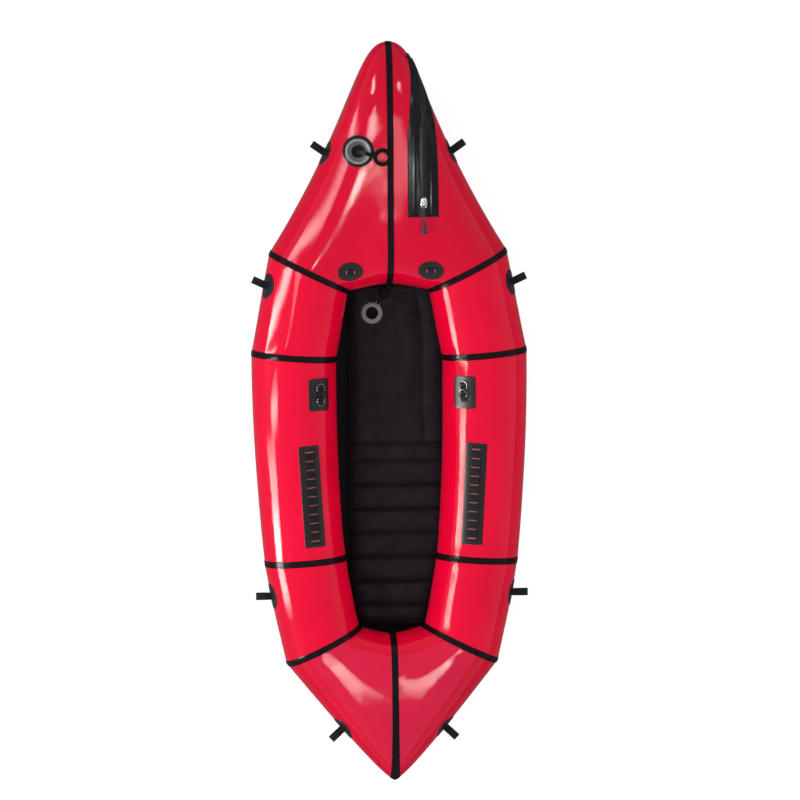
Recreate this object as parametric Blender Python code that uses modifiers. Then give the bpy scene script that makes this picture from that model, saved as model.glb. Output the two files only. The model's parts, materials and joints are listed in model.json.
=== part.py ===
"""Single-seat packraft, bow along +Y, starboard along +X, +Z up, standing on z = 0.

The hull is one inflated ring of ten welded fabric panels. Each panel is lofted
between two cross-sections: upright rings at the eight mitred seams, and at bow
and stern a long section that lies in the boat's centre plane. Everything that is
fastened to the hull takes its place from that same surface.
"""

import math

import bpy
import bmesh
from mathutils import Matrix, Vector
from mathutils.bvhtree import BVHTree

# Driving dimensions of the boat, in metres
LENGTH = 2.500
BEAM = 0.940
TUBE_DIAMETER = 0.285
BOW_HALF_HEIGHT = 0.151
BOW_RISE = 0.100
BOW_TIP_RADIUS = 0.042
STERN_HALF_HEIGHT = 0.142
STERN_RISE = 0.060
STERN_TIP_RADIUS = 0.036

# Fabric, seams and running gaps
PANEL_THICKNESS = 0.0012
FLOOR_THICKNESS = 0.0015
TAPE_WIDTH = 0.022
TAPE_THICKNESS = 0.0009
PATCH_THICKNESS = 0.0012
PATCH_LIFT = 0.0010
LAYER_GAP = 0.0009
CLEARANCE = 0.0003
SEAM_PULLBACK = 0.0006
WELD_MARGIN = 0.001
WEBBING_THICKNESS = 0.0018
OVERRUN = 0.002
RAY_REACH = 0.500
PROBE_STEP = 0.001

# Cockpit ends, as shares of half the length
COCKPIT_BOW_SHARE = 0.34
COCKPIT_STERN_SHARE = -0.606

# Mitred seams: shares of half the length, of the tube centre's limit and of the
# tube's diameter, then the seam's yaw and its mitre in degrees
SHOULDER_SEAM_SHARES = (0.375, 0.8175, 1.0, 26.4, 15.0)
SIDE_SEAM_SHARES = (0.149, 0.9815, 1.0, 4.7, 6.0)
QUARTER_SEAM_SHARES = (-0.406, 0.887, 0.955, -3.9, 5.0)
STERN_SEAM_SHARES = (-0.638, 0.7125, 0.93, -26.2, 14.7)

# How each panel leaves its fore section and arrives at its aft section: headings in
# degrees, strengths as shares of the way between them, each from the outer side of
# the tube to its inner side
BOW_LEAVE_SHARES = (0.4025, 0.9)
BOW_ARRIVE_HEADINGS = (32.0, 80.0)
BOW_ARRIVE_SHARES = (2.07, 1.0)
BOW_CLIMB_SHARES = (1.6, 1.0)
STERN_LEAVE_HEADINGS = (39.4, 80.0)
STERN_LEAVE_SHARES = (1.14, 1.0)
STERN_ARRIVE_SHARES = (0.19, 0.9)
SHOULDER_HEADINGS = (11.4, 11.4)
SIDE_HEADINGS = (0.5, -5.7)
QUARTER_HEADINGS = (-9.0, -13.0)

# Facet counts: round a tube, and rows along each panel between its weld bands
AROUND_COUNT = 20
BOW_ROW_COUNT = 7
SHOULDER_ROW_COUNT = 1
SIDE_ROW_COUNT = 5
QUARTER_ROW_COUNT = 2
STERN_ROW_COUNT = 4
GUIDE_AROUND_COUNT = 80
GUIDE_ROW_COUNT = 40

# Floor sheet and inflatable mat: their ends and the mat's cross seam are shares of half
# the length, and the mat's edges are shares of the cockpit's half width
FLOOR_END_SHARES = (0.48, -0.72)
FLOOR_COLUMN_COUNT = 4
FLOOR_ROW_COUNT = 5
MAT_END_SHARES = (0.344, -0.5936)
MAT_EDGE_SHARES = (-0.692, 1.119)
MAT_CROSS_SEAM_SHARE = -0.0984
MAT_CROWN = 0.052
MAT_SEAM_HEIGHT = 0.034
MAT_EDGE_HEIGHT = 0.016
MAT_CHAMBER_PITCH = 0.082
MAT_FIRST_CHAMBER = 0.062
MAT_CHANNEL_COUNT = 4
MAT_BOW_NARROWING = 0.042
MAT_BOW_TAPER = 0.230
MAT_STARBOARD_NARROWING = 0.087
MAT_STARBOARD_TAPER = 0.362
MAT_PORT_NARROWING = 0.033
MAT_PORT_TAPER = 0.150
MAT_PAD_LENGTH = 0.042
MAT_PAD_BLEND = 0.014
MAT_PAD_WIDTH = 0.056
MAT_END_CROWN_SHARES = ((0.0, 0.0), (0.3, 0.527), (0.89, 0.835))

# Main inflation valve, on the port bow: shares of half the beam and half the length
VALVE_PLACE_SHARES = (-0.2298, 0.7088)
VALVE_FLANGE_RADIUS = 0.054
VALVE_FLANGE_FLAT = 0.046
VALVE_FLANGE_HEIGHT = 0.0022
VALVE_NECK_RADIUS = 0.029
VALVE_RIM_RADIUS = 0.043
VALVE_RIM_HEIGHT = 0.0075
VALVE_RIM_LIP = 0.003
VALVE_DISH_HEIGHT = 0.0018
VALVE_BORE_RADIUS = 0.0215
VALVE_NECK_LENGTH = 0.024
VALVE_SHELF_DEPTH = 0.013
VALVE_SHELF_THICKNESS = 0.002
VALVE_SHELF_RADIUS = 0.015
SPIDER_WIDTH = 0.005
SPIDER_BORE_RADIUS = 0.0022
FLAP_RADIUS = 0.0185
FLAP_THICKNESS = 0.0014
FLAP_STEM_RADIUS = 0.0017
FLAP_BUTTON_RADIUS = 0.0038
FLAP_BUTTON_HEIGHT = 0.0016
FLAP_TRAVEL = 0.004
PLUG_FLANGE_RADIUS = 0.0242
PLUG_FLANGE_THICKNESS = 0.0022
PLUG_SKIRT_RADIUS = 0.0208
PLUG_SKIRT_LENGTH = 0.0085
PLUG_CUP_RADIUS = 0.0175
PLUG_CUP_DEPTH = 0.0066
PULL_BAR_RADIUS = 0.0018
PULL_BAR_HEIGHT = 0.0020

# Pull ring of the main valve
PULL_RING_REACH = 0.081
PULL_RING_SETBACK = 0.021
PULL_RING_RADIUS = 0.031
PULL_RING_HOLE_RADIUS = 0.0165
PULL_RING_THICKNESS = 0.0034
PULL_STRAP_WIDTH = 0.014
PULL_STRAP_THICKNESS = 0.0022
PULL_EYE_WIDTH = 0.010

# Valve of the floor mat: shares of the mat's width and of half the boat's length
MAT_VALVE_PLACE_SHARES = (0.2328, 0.2544)
MAT_VALVE_RADIUS = 0.036
MAT_VALVE_FLAT = 0.031
MAT_VALVE_HEIGHT = 0.0036
MAT_VALVE_EDGE = 0.0016
MAT_VALVE_BORE_RADIUS = 0.0190
MAT_CUP_DEPTH = 0.014
MAT_CUP_WALL = 0.0014
MAT_CUP_LIP = 0.0010
MAT_PLUG_HINGE_REACH = 0.039
MAT_PLUG_YAW = 58.0
MAT_PLUG_RADIUS = 0.0160
MAT_PLUG_HEIGHT = 0.0070
MAT_PLUG_HEAD_RADIUS = 0.0182
MAT_PLUG_HEAD_THICKNESS = 0.0020
MAT_PLUG_TAB_LENGTH = 0.016
MAT_PLUG_TAB_WIDTH = 0.012
MAT_STRAP_WIDTH = 0.010
MAT_STRAP_THICKNESS = 0.0018
HINGE_BAR_RADIUS = 0.0016
HINGE_EYE_RADIUS = 0.0034
HINGE_EAR_WIDTH = 0.0026
HINGE_EAR_RADIUS = 0.0036

# Cargo zip, on the starboard bow: shares of half the beam and, from its aft end over
# the straight stretch to its fore end, of half the length
ZIP_ACROSS_SHARE = 0.23404
ZIP_ALONG_SHARES = (0.528, 0.5408, 0.756, 0.952)
SLIDER_ALONG_SHARE = 0.5696
ZIP_TAPE_OVERLAP = 0.016
ZIP_TAPE_WIDTH = 0.095
ZIP_TAPE_TIP_WIDTH = 0.050
ZIP_TAPE_THICKNESS = 0.0015
ZIP_TAPE_LIFT = 0.0014
ZIP_BED_WIDTH = 0.023
ZIP_BED_HEIGHT = 0.0008
ZIP_BEAD_WIDTH = 0.0070
ZIP_BEAD_HEIGHT = 0.0022
SLIDER_LENGTH = 0.030
SLIDER_WIDTH = 0.025
SLIDER_HEIGHT = 0.0085
SLIDER_TRAVEL = 0.215
SLIDER_BRIDGE_LENGTH = 0.017
SLIDER_BRIDGE_RISE = 0.0055
SLIDER_BRIDGE_RADIUS = 0.0014
ZIP_RING_RADIUS = 0.0095
ZIP_RING_WIRE = 0.0011
TOGGLE_CORD_RADIUS = 0.0015
TOGGLE_CORD_LENGTH = 0.036
TOGGLE_LENGTH = 0.050
TOGGLE_NECK_WIDTH = 0.013
TOGGLE_FLARE_WIDTH = 0.025
TOGGLE_THICKNESS = 0.0070
TOGGLE_EYE_RADIUS = 0.0046

# Zip round the bow: shares of the way from its straight stretch to its fore end,
# and the lean of its place from upright, in degrees
ZIP_LEAN_SHARES = ((0.43, 52.0), (0.71, 62.0), (1.0, 74.0))

# Round lashing patches on the bow: shares of half the beam and half the length
LASHING_PLACE_SHARES = (0.28936, 0.3808)
LASHING_RADIUS = 0.043
LASHING_STRAP_WIDTH = 0.018
LASHING_TACK_PITCH = 0.027
LASHING_STRAP_END = 0.009

# Outer tie-down loops: round patch and folded webbing
TIE_PATCH_RADIUS = 0.043
TIE_WEBBING_WIDTH = 0.025
TIE_REACH = 0.054
TIE_EYE_HEIGHT = 0.0068
TIE_ROOT_REACH = 0.012
TIE_FLAT_LIFT = 0.0004

# Panel of each tie-down, its place as a share of half the length, its angle up from
# the outer side and the turn of its webbing ahead of square
TIE_DOWN_SHARES = {
    "bow": ("bow", 0.7, 10.0, 35.0),
    "fore": ("shoulder", 0.3416, 20.0, 25.0),
    "aft": ("quarter", -0.5, 9.0, 0.0),
    "stern": ("stern", -0.86, 8.0, -43.0),
}

# Paired D-ring patches
D_PATCH_ALONG_SHARE = 0.0504
D_PATCH_ANGLE = 33.0
D_PATCH_WIDTH = 0.082
D_PATCH_LENGTH = 0.110
D_KEEPER_WIDTH = 0.022
D_KEEPER_LENGTH = 0.066
D_KEEPER_THICKNESS = 0.0022
D_BAR_SPACING = 0.026
D_WIRE_RADIUS = 0.0019
D_BORE_RADIUS = 0.0023
D_HUMP_RADIUS = 0.0042
D_RING_WIDTH = 0.030
D_RING_DEPTH = 0.024
D_LEAN_ANGLE = 18.0

# Lashing ladders
LADDER_ALONG_SHARE = -0.224
LADDER_ANGLE = 15.0
LADDER_WIDTH = 0.072
LADDER_LENGTH = 0.344
LADDER_WEBBING_WIDTH = 0.033
LADDER_TACK_PITCH = 0.030
LADDER_TACK_COUNT = 11
LADDER_CROWN = 0.0032
LADDER_TACK_HEIGHT = 0.0016
CORNER_RADIUS = 0.008

# Finishes: base colour, roughness, metallic
RED_FABRIC = ((0.68, 0.012, 0.045), 0.22, 0.0)
BLACK_FABRIC = ((0.012, 0.013, 0.016), 0.45, 0.0)
SEAM_FABRIC = ((0.010, 0.011, 0.014), 0.30, 0.0)
MAT_FABRIC = ((0.018, 0.019, 0.022), 0.55, 0.0)
BLACK_WEBBING = ((0.015, 0.016, 0.018), 0.80, 0.0)
GREY_PLASTIC = ((0.16, 0.16, 0.17), 0.40, 0.0)
PALE_PLASTIC = ((0.30, 0.30, 0.31), 0.45, 0.0)
BLACK_RUBBER = ((0.010, 0.010, 0.012), 0.55, 0.0)
BRIGHT_STEEL = ((0.75, 0.75, 0.76), 0.22, 1.0)

HALF_LENGTH = LENGTH / 2
HALF_BEAM = BEAM / 2
TUBE_CENTRE_LIMIT = (BEAM - TUBE_DIAMETER) / 2
COCKPIT_HALF_WIDTH = HALF_BEAM - TUBE_DIAMETER
FLOOR_TOP = FLOOR_THICKNESS
TUBE_BOTTOM = FLOOR_TOP + CLEARANCE + TAPE_THICKNESS + CLEARANCE
TUBE_AXIS_HEIGHT = TUBE_BOTTOM + TUBE_DIAMETER / 2
MAT_BOTTOM = FLOOR_TOP + CLEARANCE

# Places along and across the boat
FLOOR_BOW_END, FLOOR_STERN_END = (HALF_LENGTH * share for share in FLOOR_END_SHARES)
MAT_BOW_END, MAT_STERN_END = (HALF_LENGTH * share for share in MAT_END_SHARES)
MAT_CROSS_SEAM = HALF_LENGTH * MAT_CROSS_SEAM_SHARE
MAT_PORT_EDGE, MAT_STARBOARD_EDGE = (COCKPIT_HALF_WIDTH * share for share in MAT_EDGE_SHARES)
VALVE_X = HALF_BEAM * VALVE_PLACE_SHARES[0]
VALVE_Y = HALF_LENGTH * VALVE_PLACE_SHARES[1]
PULL_RING_X = VALVE_X + PULL_RING_REACH
PULL_RING_Y = VALVE_Y - PULL_RING_SETBACK
MAT_VALVE_X = MAT_PORT_EDGE + (MAT_STARBOARD_EDGE - MAT_PORT_EDGE) * MAT_VALVE_PLACE_SHARES[0]
MAT_VALVE_Y = HALF_LENGTH * MAT_VALVE_PLACE_SHARES[1]
ZIP_X = HALF_BEAM * ZIP_ACROSS_SHARE
ZIP_AFT_END, ZIP_STRAIGHT_AFT, ZIP_STRAIGHT_FORE, ZIP_FORE_END = (HALF_LENGTH * share for share in ZIP_ALONG_SHARES)
SLIDER_Y = HALF_LENGTH * SLIDER_ALONG_SHARE
LASHING_X = HALF_BEAM * LASHING_PLACE_SHARES[0]
LASHING_Y = HALF_LENGTH * LASHING_PLACE_SHARES[1]
D_PATCH_Y = HALF_LENGTH * D_PATCH_ALONG_SHARE
LADDER_Y = HALF_LENGTH * LADDER_ALONG_SHARE

SIDES = {"starboard": 1, "port": -1}
UP = Vector((0, 0, 1))
FORWARD = Vector((0, 1, 0))

PART = None
CUTTERS = None


# Scene and object helpers


def clear_scene():
    """Remove every object and make the part's and the cutters' collections."""
    global PART, CUTTERS
    for obj in list(bpy.data.objects):
        bpy.data.objects.remove(obj, do_unlink=True)
    PART = bpy.data.collections.new("packraft")
    CUTTERS = bpy.data.collections.new("packraft_cutters")
    bpy.context.scene.collection.children.link(PART)
    bpy.context.scene.collection.children.link(CUTTERS)


def dress(obj, finish):
    """Give an object its own Principled material."""
    colour, roughness, metallic = finish
    material = bpy.data.materials.new(obj.name + "_finish")
    material.use_nodes = True
    shader = material.node_tree.nodes["Principled BSDF"]
    shader.inputs["Base Color"].default_value = (*colour, 1)
    shader.inputs["Roughness"].default_value = roughness
    shader.inputs["Metallic"].default_value = metallic
    obj.data.materials.append(material)


def add_object(name, data, finish=None, matrix=None):
    """Link a piece into the part, or a guide into the cutters if it has no finish."""
    obj = bpy.data.objects.new(name, data)
    if matrix is not None:
        obj.matrix_world = matrix
    if finish is None:
        CUTTERS.objects.link(obj)
        obj.hide_render = True
        obj.display_type = "WIRE"
    else:
        PART.objects.link(obj)
        dress(obj, finish)
    return obj


def mesh_from(name, vertices, faces, smooth=True):
    """Mesh from points and faces."""
    mesh = bpy.data.meshes.new(name)
    mesh.from_pydata([tuple(v) for v in vertices], [], faces)
    mesh.update()
    if smooth:
        mesh.shade_smooth()
        mesh.set_sharp_from_angle(angle=math.radians(35))
    return mesh


def mesh_from_bmesh(name, bm, smooth=True):
    """Mesh from a bmesh, which is freed."""
    bmesh.ops.recalc_face_normals(bm, faces=bm.faces)
    mesh = bpy.data.meshes.new(name)
    bm.to_mesh(mesh)
    bm.free()
    if smooth:
        mesh.shade_smooth()
        mesh.set_sharp_from_angle(angle=math.radians(35))
    return mesh


def skin(rows, wrap_rows=False, wrap_columns=True, reverse=False):
    """Vertices and quads over rows of points, closed round each row or over the rows."""
    width = len(rows[0])
    vertices = [point for row in rows for point in row]
    faces = []
    for i in range(len(rows) if wrap_rows else len(rows) - 1):
        for j in range(width if wrap_columns else width - 1):
            a = i * width + j
            b = i * width + (j + 1) % width
            k = (i + 1) % len(rows)
            c = k * width + (j + 1) % width
            d = k * width + j
            faces.append((d, c, b, a) if reverse else (a, b, c, d))
    return vertices, faces


def loft(sections):
    """Closed body over rings of points, with flat ends."""
    bm = bmesh.new()
    rings = [[bm.verts.new(point) for point in section] for section in sections]
    count = len(sections[0])
    for lower, upper in zip(rings, rings[1:]):
        for j in range(count):
            k = (j + 1) % count
            bm.faces.new((lower[j], lower[k], upper[k], upper[j]))
    bm.faces.new(rings[0])
    bm.faces.new(rings[-1])
    return bm


def thicken(obj, thickness, offset):
    """Solidify an open surface: +1 builds outward, -1 inward."""
    solid = obj.modifiers.new("thickness", "SOLIDIFY")
    solid.thickness = thickness
    solid.offset = offset
    solid.use_even_offset = True
    return obj


def boolean(obj, tool, operation):
    """Cut a piece by a tool, or fuse a tool into it."""
    step = obj.modifiers.new(operation.lower() + "_" + tool.name, "BOOLEAN")
    step.operation = operation
    step.object = tool
    step.solver = "EXACT"


def box(name, low, high, matrix, finish=None):
    """Box between two corners in a frame."""
    low = Vector(low)
    high = Vector(high)
    bm = bmesh.new()
    bmesh.ops.create_cube(bm, size=1)
    size = Matrix.Diagonal(high - low).to_4x4()
    bmesh.ops.transform(bm, matrix=Matrix.Translation((low + high) / 2) @ size, verts=bm.verts)
    return add_object(name, mesh_from_bmesh(name, bm, smooth=False), finish, matrix)


def cylinder(name, radius, start, end, matrix, finish=None, segments=12, end_radius=None):
    """Cylinder or cone between two points in a frame."""
    start = Vector(start)
    end = Vector(end)
    axis = end - start
    bm = bmesh.new()
    top = radius if end_radius is None else end_radius
    bmesh.ops.create_cone(bm, cap_ends=True, segments=segments, radius1=radius, radius2=top, depth=axis.length)
    turn = UP.rotation_difference(axis).to_matrix().to_4x4()
    bmesh.ops.transform(bm, matrix=Matrix.Translation((start + end) / 2) @ turn, verts=bm.verts)
    return add_object(name, mesh_from_bmesh(name, bm), finish, matrix)


def turned(name, profile, matrix, finish, steps=24, closed=True):
    """Turned piece: a profile of radius and height, run down its outer side, and a Screw."""
    mesh = bpy.data.meshes.new(name)
    count = len(profile)
    edges = [(i, i + 1) for i in range(count - 1)]
    if closed:
        edges.append((count - 1, 0))
    mesh.from_pydata([(radius, 0, height) for radius, height in profile], edges, [])
    obj = add_object(name, mesh, finish, matrix)
    screw = obj.modifiers.new("turn", "SCREW")
    screw.steps = steps
    screw.render_steps = steps
    screw.use_merge_vertices = True
    screw.merge_threshold = 0.00001
    screw.use_smooth_shade = True
    return obj


def wire(name, points, radius, matrix, finish, cyclic=False, resolution=2):
    """Round wire or cord along points."""
    curve = bpy.data.curves.new(name, "CURVE")
    curve.dimensions = "3D"
    curve.bevel_depth = radius
    curve.bevel_resolution = resolution
    curve.use_fill_caps = True
    spline = curve.splines.new("POLY")
    spline.points.add(len(points) - 1)
    for target, point in zip(spline.points, points):
        target.co = (*point, 1)
    spline.use_cyclic_u = cyclic
    return add_object(name, curve, finish, matrix)


def wire_mesh(name, points, radius, matrix, finish, cyclic=False, resolution=2):
    """Round wire as a welded mesh, so that it can be cut or fused."""
    raw = wire(name + "_curve", points, radius, matrix, None, cyclic, resolution)
    graph = bpy.context.evaluated_depsgraph_get()
    mesh = bpy.data.meshes.new_from_object(raw.evaluated_get(graph))
    bm = bmesh.new()
    bm.from_mesh(mesh)
    bmesh.ops.remove_doubles(bm, verts=bm.verts, dist=radius / 100)
    bm.to_mesh(mesh)
    bm.free()
    place = raw.matrix_world.copy()
    bpy.data.objects.remove(raw, do_unlink=True)
    mesh.materials.clear()
    mesh.name = name
    return add_object(name, mesh, finish, place)


def arc(radius, start, end, count):
    """Points on an arc of a circle, with angles in degrees, in a plane."""
    step = math.radians(end - start) / (count - 1)
    turn = math.radians(start)
    return [(radius * math.cos(turn + step * i), radius * math.sin(turn + step * i)) for i in range(count)]


def rounded_rectangle(width, length, corner, per_corner=3):
    """Outline of a rectangle with round corners, centred on the origin."""
    points = []
    for k, (sx, sy) in enumerate(((1, 1), (-1, 1), (-1, -1), (1, -1))):
        centre = Vector((sx * (width / 2 - corner), sy * (length / 2 - corner)))
        points += [centre + Vector(p) for p in arc(corner, 90 * k, 90 * k + 90, per_corner)]
    return points


# Hull surface


def mix(low, high, share):
    """Value a share of the way from one to the other."""
    return low + (high - low) * share


def heading(angle):
    """Level direction towards the stern, turned outboard by an angle in degrees."""
    turn = math.radians(angle)
    return Vector((math.sin(turn), -math.cos(turn), 0))


def hermite(start, leave, end, arrive, t):
    """Cubic between two points with a tangent at each."""
    return (
        (2 * t**3 - 3 * t**2 + 1) * start
        + (t**3 - 2 * t**2 + t) * leave
        + (3 * t**2 - 2 * t**3) * end
        + (t**3 - t**2) * arrive
    )


class Ring:
    """Upright section of the tube in a mitred seam, on the starboard side."""

    def __init__(self, shares):
        along, out, diameter, yaw, mitre = shares
        self.half_height = TUBE_DIAMETER * diameter / 2
        self.half_width = self.half_height / math.cos(math.radians(mitre))
        turn = math.radians(yaw)
        self.across = Vector((math.cos(turn), math.sin(turn), 0))
        height = TUBE_BOTTOM + self.half_height
        self.centre = Vector((TUBE_CENTRE_LIMIT * out, HALF_LENGTH * along, height))

    def point(self, theta):
        """Point at an angle from the outer side, over the top."""
        out = self.across * (self.half_width * math.cos(theta))
        return self.centre + out + UP * (self.half_height * math.sin(theta))


class Nose:
    """Section of the bow or stern in the boat's centre plane."""

    def __init__(self, inner_share, direction, half_height, tip_radius, rise):
        self.inner = HALF_LENGTH * inner_share
        self.length = HALF_LENGTH * direction - self.inner
        self.half_height = half_height
        self.tip_radius = tip_radius
        self.rise = rise

    def middle(self, share):
        """Height of the section's middle, which rises towards the tip."""
        return TUBE_BOTTOM + self.half_height + self.rise * share**2

    def thickness(self, share):
        """Half height where the round ends and the level middle run into each other."""
        reach = abs(self.length)
        limits = (
            math.sqrt(2 * self.half_height * reach * share),
            self.half_height,
            math.sqrt(2 * self.tip_radius * reach * (1 - share)),
        )
        if min(limits) <= 0:
            return 0
        return sum(limit**-5 for limit in limits) ** (-1 / 5)

    def point(self, theta):
        """Point at an angle from the tip, over the top to the cockpit end."""
        share = min(max((1 + math.cos(theta)) / 2, 0), 1)
        half = math.copysign(self.thickness(share), math.sin(theta))
        return Vector((0, self.inner + self.length * share, self.middle(share) + half))


SHOULDER_RING = Ring(SHOULDER_SEAM_SHARES)
SIDE_RING = Ring(SIDE_SEAM_SHARES)
QUARTER_RING = Ring(QUARTER_SEAM_SHARES)
STERN_RING = Ring(STERN_SEAM_SHARES)
BOW_NOSE = Nose(COCKPIT_BOW_SHARE, 1, BOW_HALF_HEIGHT, BOW_TIP_RADIUS, BOW_RISE)
STERN_NOSE = Nose(COCKPIT_STERN_SHARE, -1, STERN_HALF_HEIGHT, STERN_TIP_RADIUS, STERN_RISE)


def bow_surface(theta, t):
    """Bow panel from the centre plane to the shoulder seam."""
    start = BOW_NOSE.point(theta)
    end = SHOULDER_RING.point(theta)
    reach = (end - start).length
    inward = (1 - math.cos(theta)) / 2
    leave = Vector((reach * mix(*BOW_LEAVE_SHARES, inward), 0, 0))
    strength = mix(*BOW_ARRIVE_SHARES, math.sqrt(inward))
    arrive = heading(mix(*BOW_ARRIVE_HEADINGS, inward**3)) * reach * strength
    arrive.z = (end.z - start.z) * mix(*BOW_CLIMB_SHARES, math.sqrt(inward))
    return hermite(start, leave, end, arrive, t)


def stern_surface(theta, t):
    """Stern panel from the stern seam to the centre plane."""
    start = STERN_RING.point(theta)
    end = STERN_NOSE.point(theta)
    reach = (end - start).length
    inward = (1 - math.cos(theta)) / 2
    leave = heading(-mix(*STERN_LEAVE_HEADINGS, inward**2)) * reach * mix(*STERN_LEAVE_SHARES, inward)
    leave.z = end.z - start.z
    arrive = Vector((-reach * mix(*STERN_ARRIVE_SHARES, inward), 0, 0))
    return hermite(start, leave, end, arrive, t)


def tube_surface(fore, aft, leave_angle, arrive_angle):
    """Tube panel between two seams, leaving and arriving at a heading."""

    def surface(theta, t):
        start = fore.point(theta)
        end = aft.point(theta)
        reach = (end - start).length
        return hermite(start, heading(leave_angle) * reach, end, heading(arrive_angle) * reach, t)

    return surface


SURFACES = {
    "bow": bow_surface,
    "shoulder": tube_surface(SHOULDER_RING, SIDE_RING, *SHOULDER_HEADINGS),
    "side": tube_surface(SIDE_RING, QUARTER_RING, *SIDE_HEADINGS),
    "quarter": tube_surface(QUARTER_RING, STERN_RING, *QUARTER_HEADINGS),
    "stern": stern_surface,
}
PANEL_ORDER = list(SURFACES)
PANEL_ROW_COUNTS = dict(
    zip(PANEL_ORDER, (BOW_ROW_COUNT, SHOULDER_ROW_COUNT, SIDE_ROW_COUNT, QUARTER_ROW_COUNT, STERN_ROW_COUNT))
)
SEAMS = {"shoulder": ("bow", "shoulder"), "side": ("shoulder", "side")}
SEAMS.update({"quarter": ("side", "quarter"), "stern": ("quarter", "stern")})


def angles(count):
    """Angles round a section."""
    return [2 * math.pi * j / count for j in range(count)]


def surface_normal(surface, theta, t):
    """Outward normal of a starboard panel."""
    step = 0.001
    low = max(t - step, 0)
    high = min(t + step, 1)
    along = surface(theta, high) - surface(theta, low)
    around = surface(theta + step, t) - surface(theta - step, t)
    return around.cross(along).normalized()


def share_at(surface, theta, distance, from_end):
    """Panel parameter at a distance from its fore end, or from its aft end."""
    step = 0.001
    if from_end:
        return 1 - step * distance / (surface(theta, 1) - surface(theta, 1 - step)).length
    return step * distance / (surface(theta, step) - surface(theta, 0)).length


def mirrored(point, side):
    """Point on the side that is asked for."""
    return Vector((point.x * side, point.y, point.z))


def panel_grid(name, side):
    """Rows of points of one panel, with a narrow band under each seam tape."""
    surface = SURFACES[name]
    band = TAPE_WIDTH / 2 + WELD_MARGIN
    rows = [[] for _ in range(PANEL_ROW_COUNTS[name] + 3)]
    for theta in angles(AROUND_COUNT):
        first = share_at(surface, theta, band, False)
        last = share_at(surface, theta, band, True)
        inner = [mix(first, last, i / PANEL_ROW_COUNTS[name]) for i in range(PANEL_ROW_COUNTS[name] + 1)]
        ends = [share_at(surface, theta, SEAM_PULLBACK, False), share_at(surface, theta, SEAM_PULLBACK, True)]
        for row, t in zip(rows, [ends[0], *inner, ends[1]]):
            row.append(mirrored(surface(theta, t), side))
    return rows


def make_panels():
    """Ten hull panels, open at both ends."""
    for side_name, side in SIDES.items():
        for name in PANEL_ORDER:
            vertices, faces = skin(panel_grid(name, side), reverse=side < 0)
            label = f"{name}_panel_{side_name}"
            panel = add_object(label, mesh_from(label, vertices, faces), RED_FABRIC)
            thicken(panel, PANEL_THICKNESS, -1)


def mitre_offset(first, second, distance):
    """Offset that keeps a distance to two planes that meet."""
    return (first + second) * (distance / (1 + first.dot(second)))


def make_seam_tapes():
    """A tape round each mitred seam, folded at the seam line."""
    reach = TAPE_WIDTH / 2
    for seam, (fore, aft) in SEAMS.items():
        for side_name, side in SIDES.items():
            rows = [[], [], []]
            for theta in angles(AROUND_COUNT):
                t_fore = share_at(SURFACES[fore], theta, reach, True)
                t_aft = share_at(SURFACES[aft], theta, reach, False)
                n_fore = surface_normal(SURFACES[fore], theta, t_fore)
                n_aft = surface_normal(SURFACES[aft], theta, t_aft)
                middle = SURFACES[aft](theta, 0) + mitre_offset(n_fore, n_aft, CLEARANCE)
                points = (
                    SURFACES[fore](theta, t_fore) + n_fore * CLEARANCE,
                    middle,
                    SURFACES[aft](theta, t_aft) + n_aft * CLEARANCE,
                )
                for row, point in zip(rows, points):
                    row.append(mirrored(point, side))
            vertices, faces = skin(rows, reverse=side < 0)
            label = f"{seam}_seam_tape_{side_name}"
            tape = add_object(label, mesh_from(label, vertices, faces), SEAM_FABRIC)
            thicken(tape, TAPE_THICKNESS, 1)


def make_centre_tapes():
    """The tapes that close bow and stern in the centre plane."""
    reach = TAPE_WIDTH / 2
    for name, nose, at_end in (("bow", BOW_NOSE, False), ("stern", STERN_NOSE, True)):
        surface = SURFACES[name]
        rows = [[], [], []]
        for theta in angles(AROUND_COUNT):
            t = share_at(surface, theta, reach, at_end)
            normal = surface_normal(surface, theta, t)
            outer = surface(theta, t) + normal * CLEARANCE
            middle = nose.point(theta) + mitre_offset(normal, mirrored(normal, -1), CLEARANCE)
            for row, point in zip(rows, (mirrored(outer, -1), middle, outer)):
                row.append(point)
        vertices, faces = skin(rows, reverse=at_end)
        label = f"{name}_centre_tape"
        tape = add_object(label, mesh_from(label, vertices, faces), SEAM_FABRIC)
        thicken(tape, TAPE_THICKNESS, 1)


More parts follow.
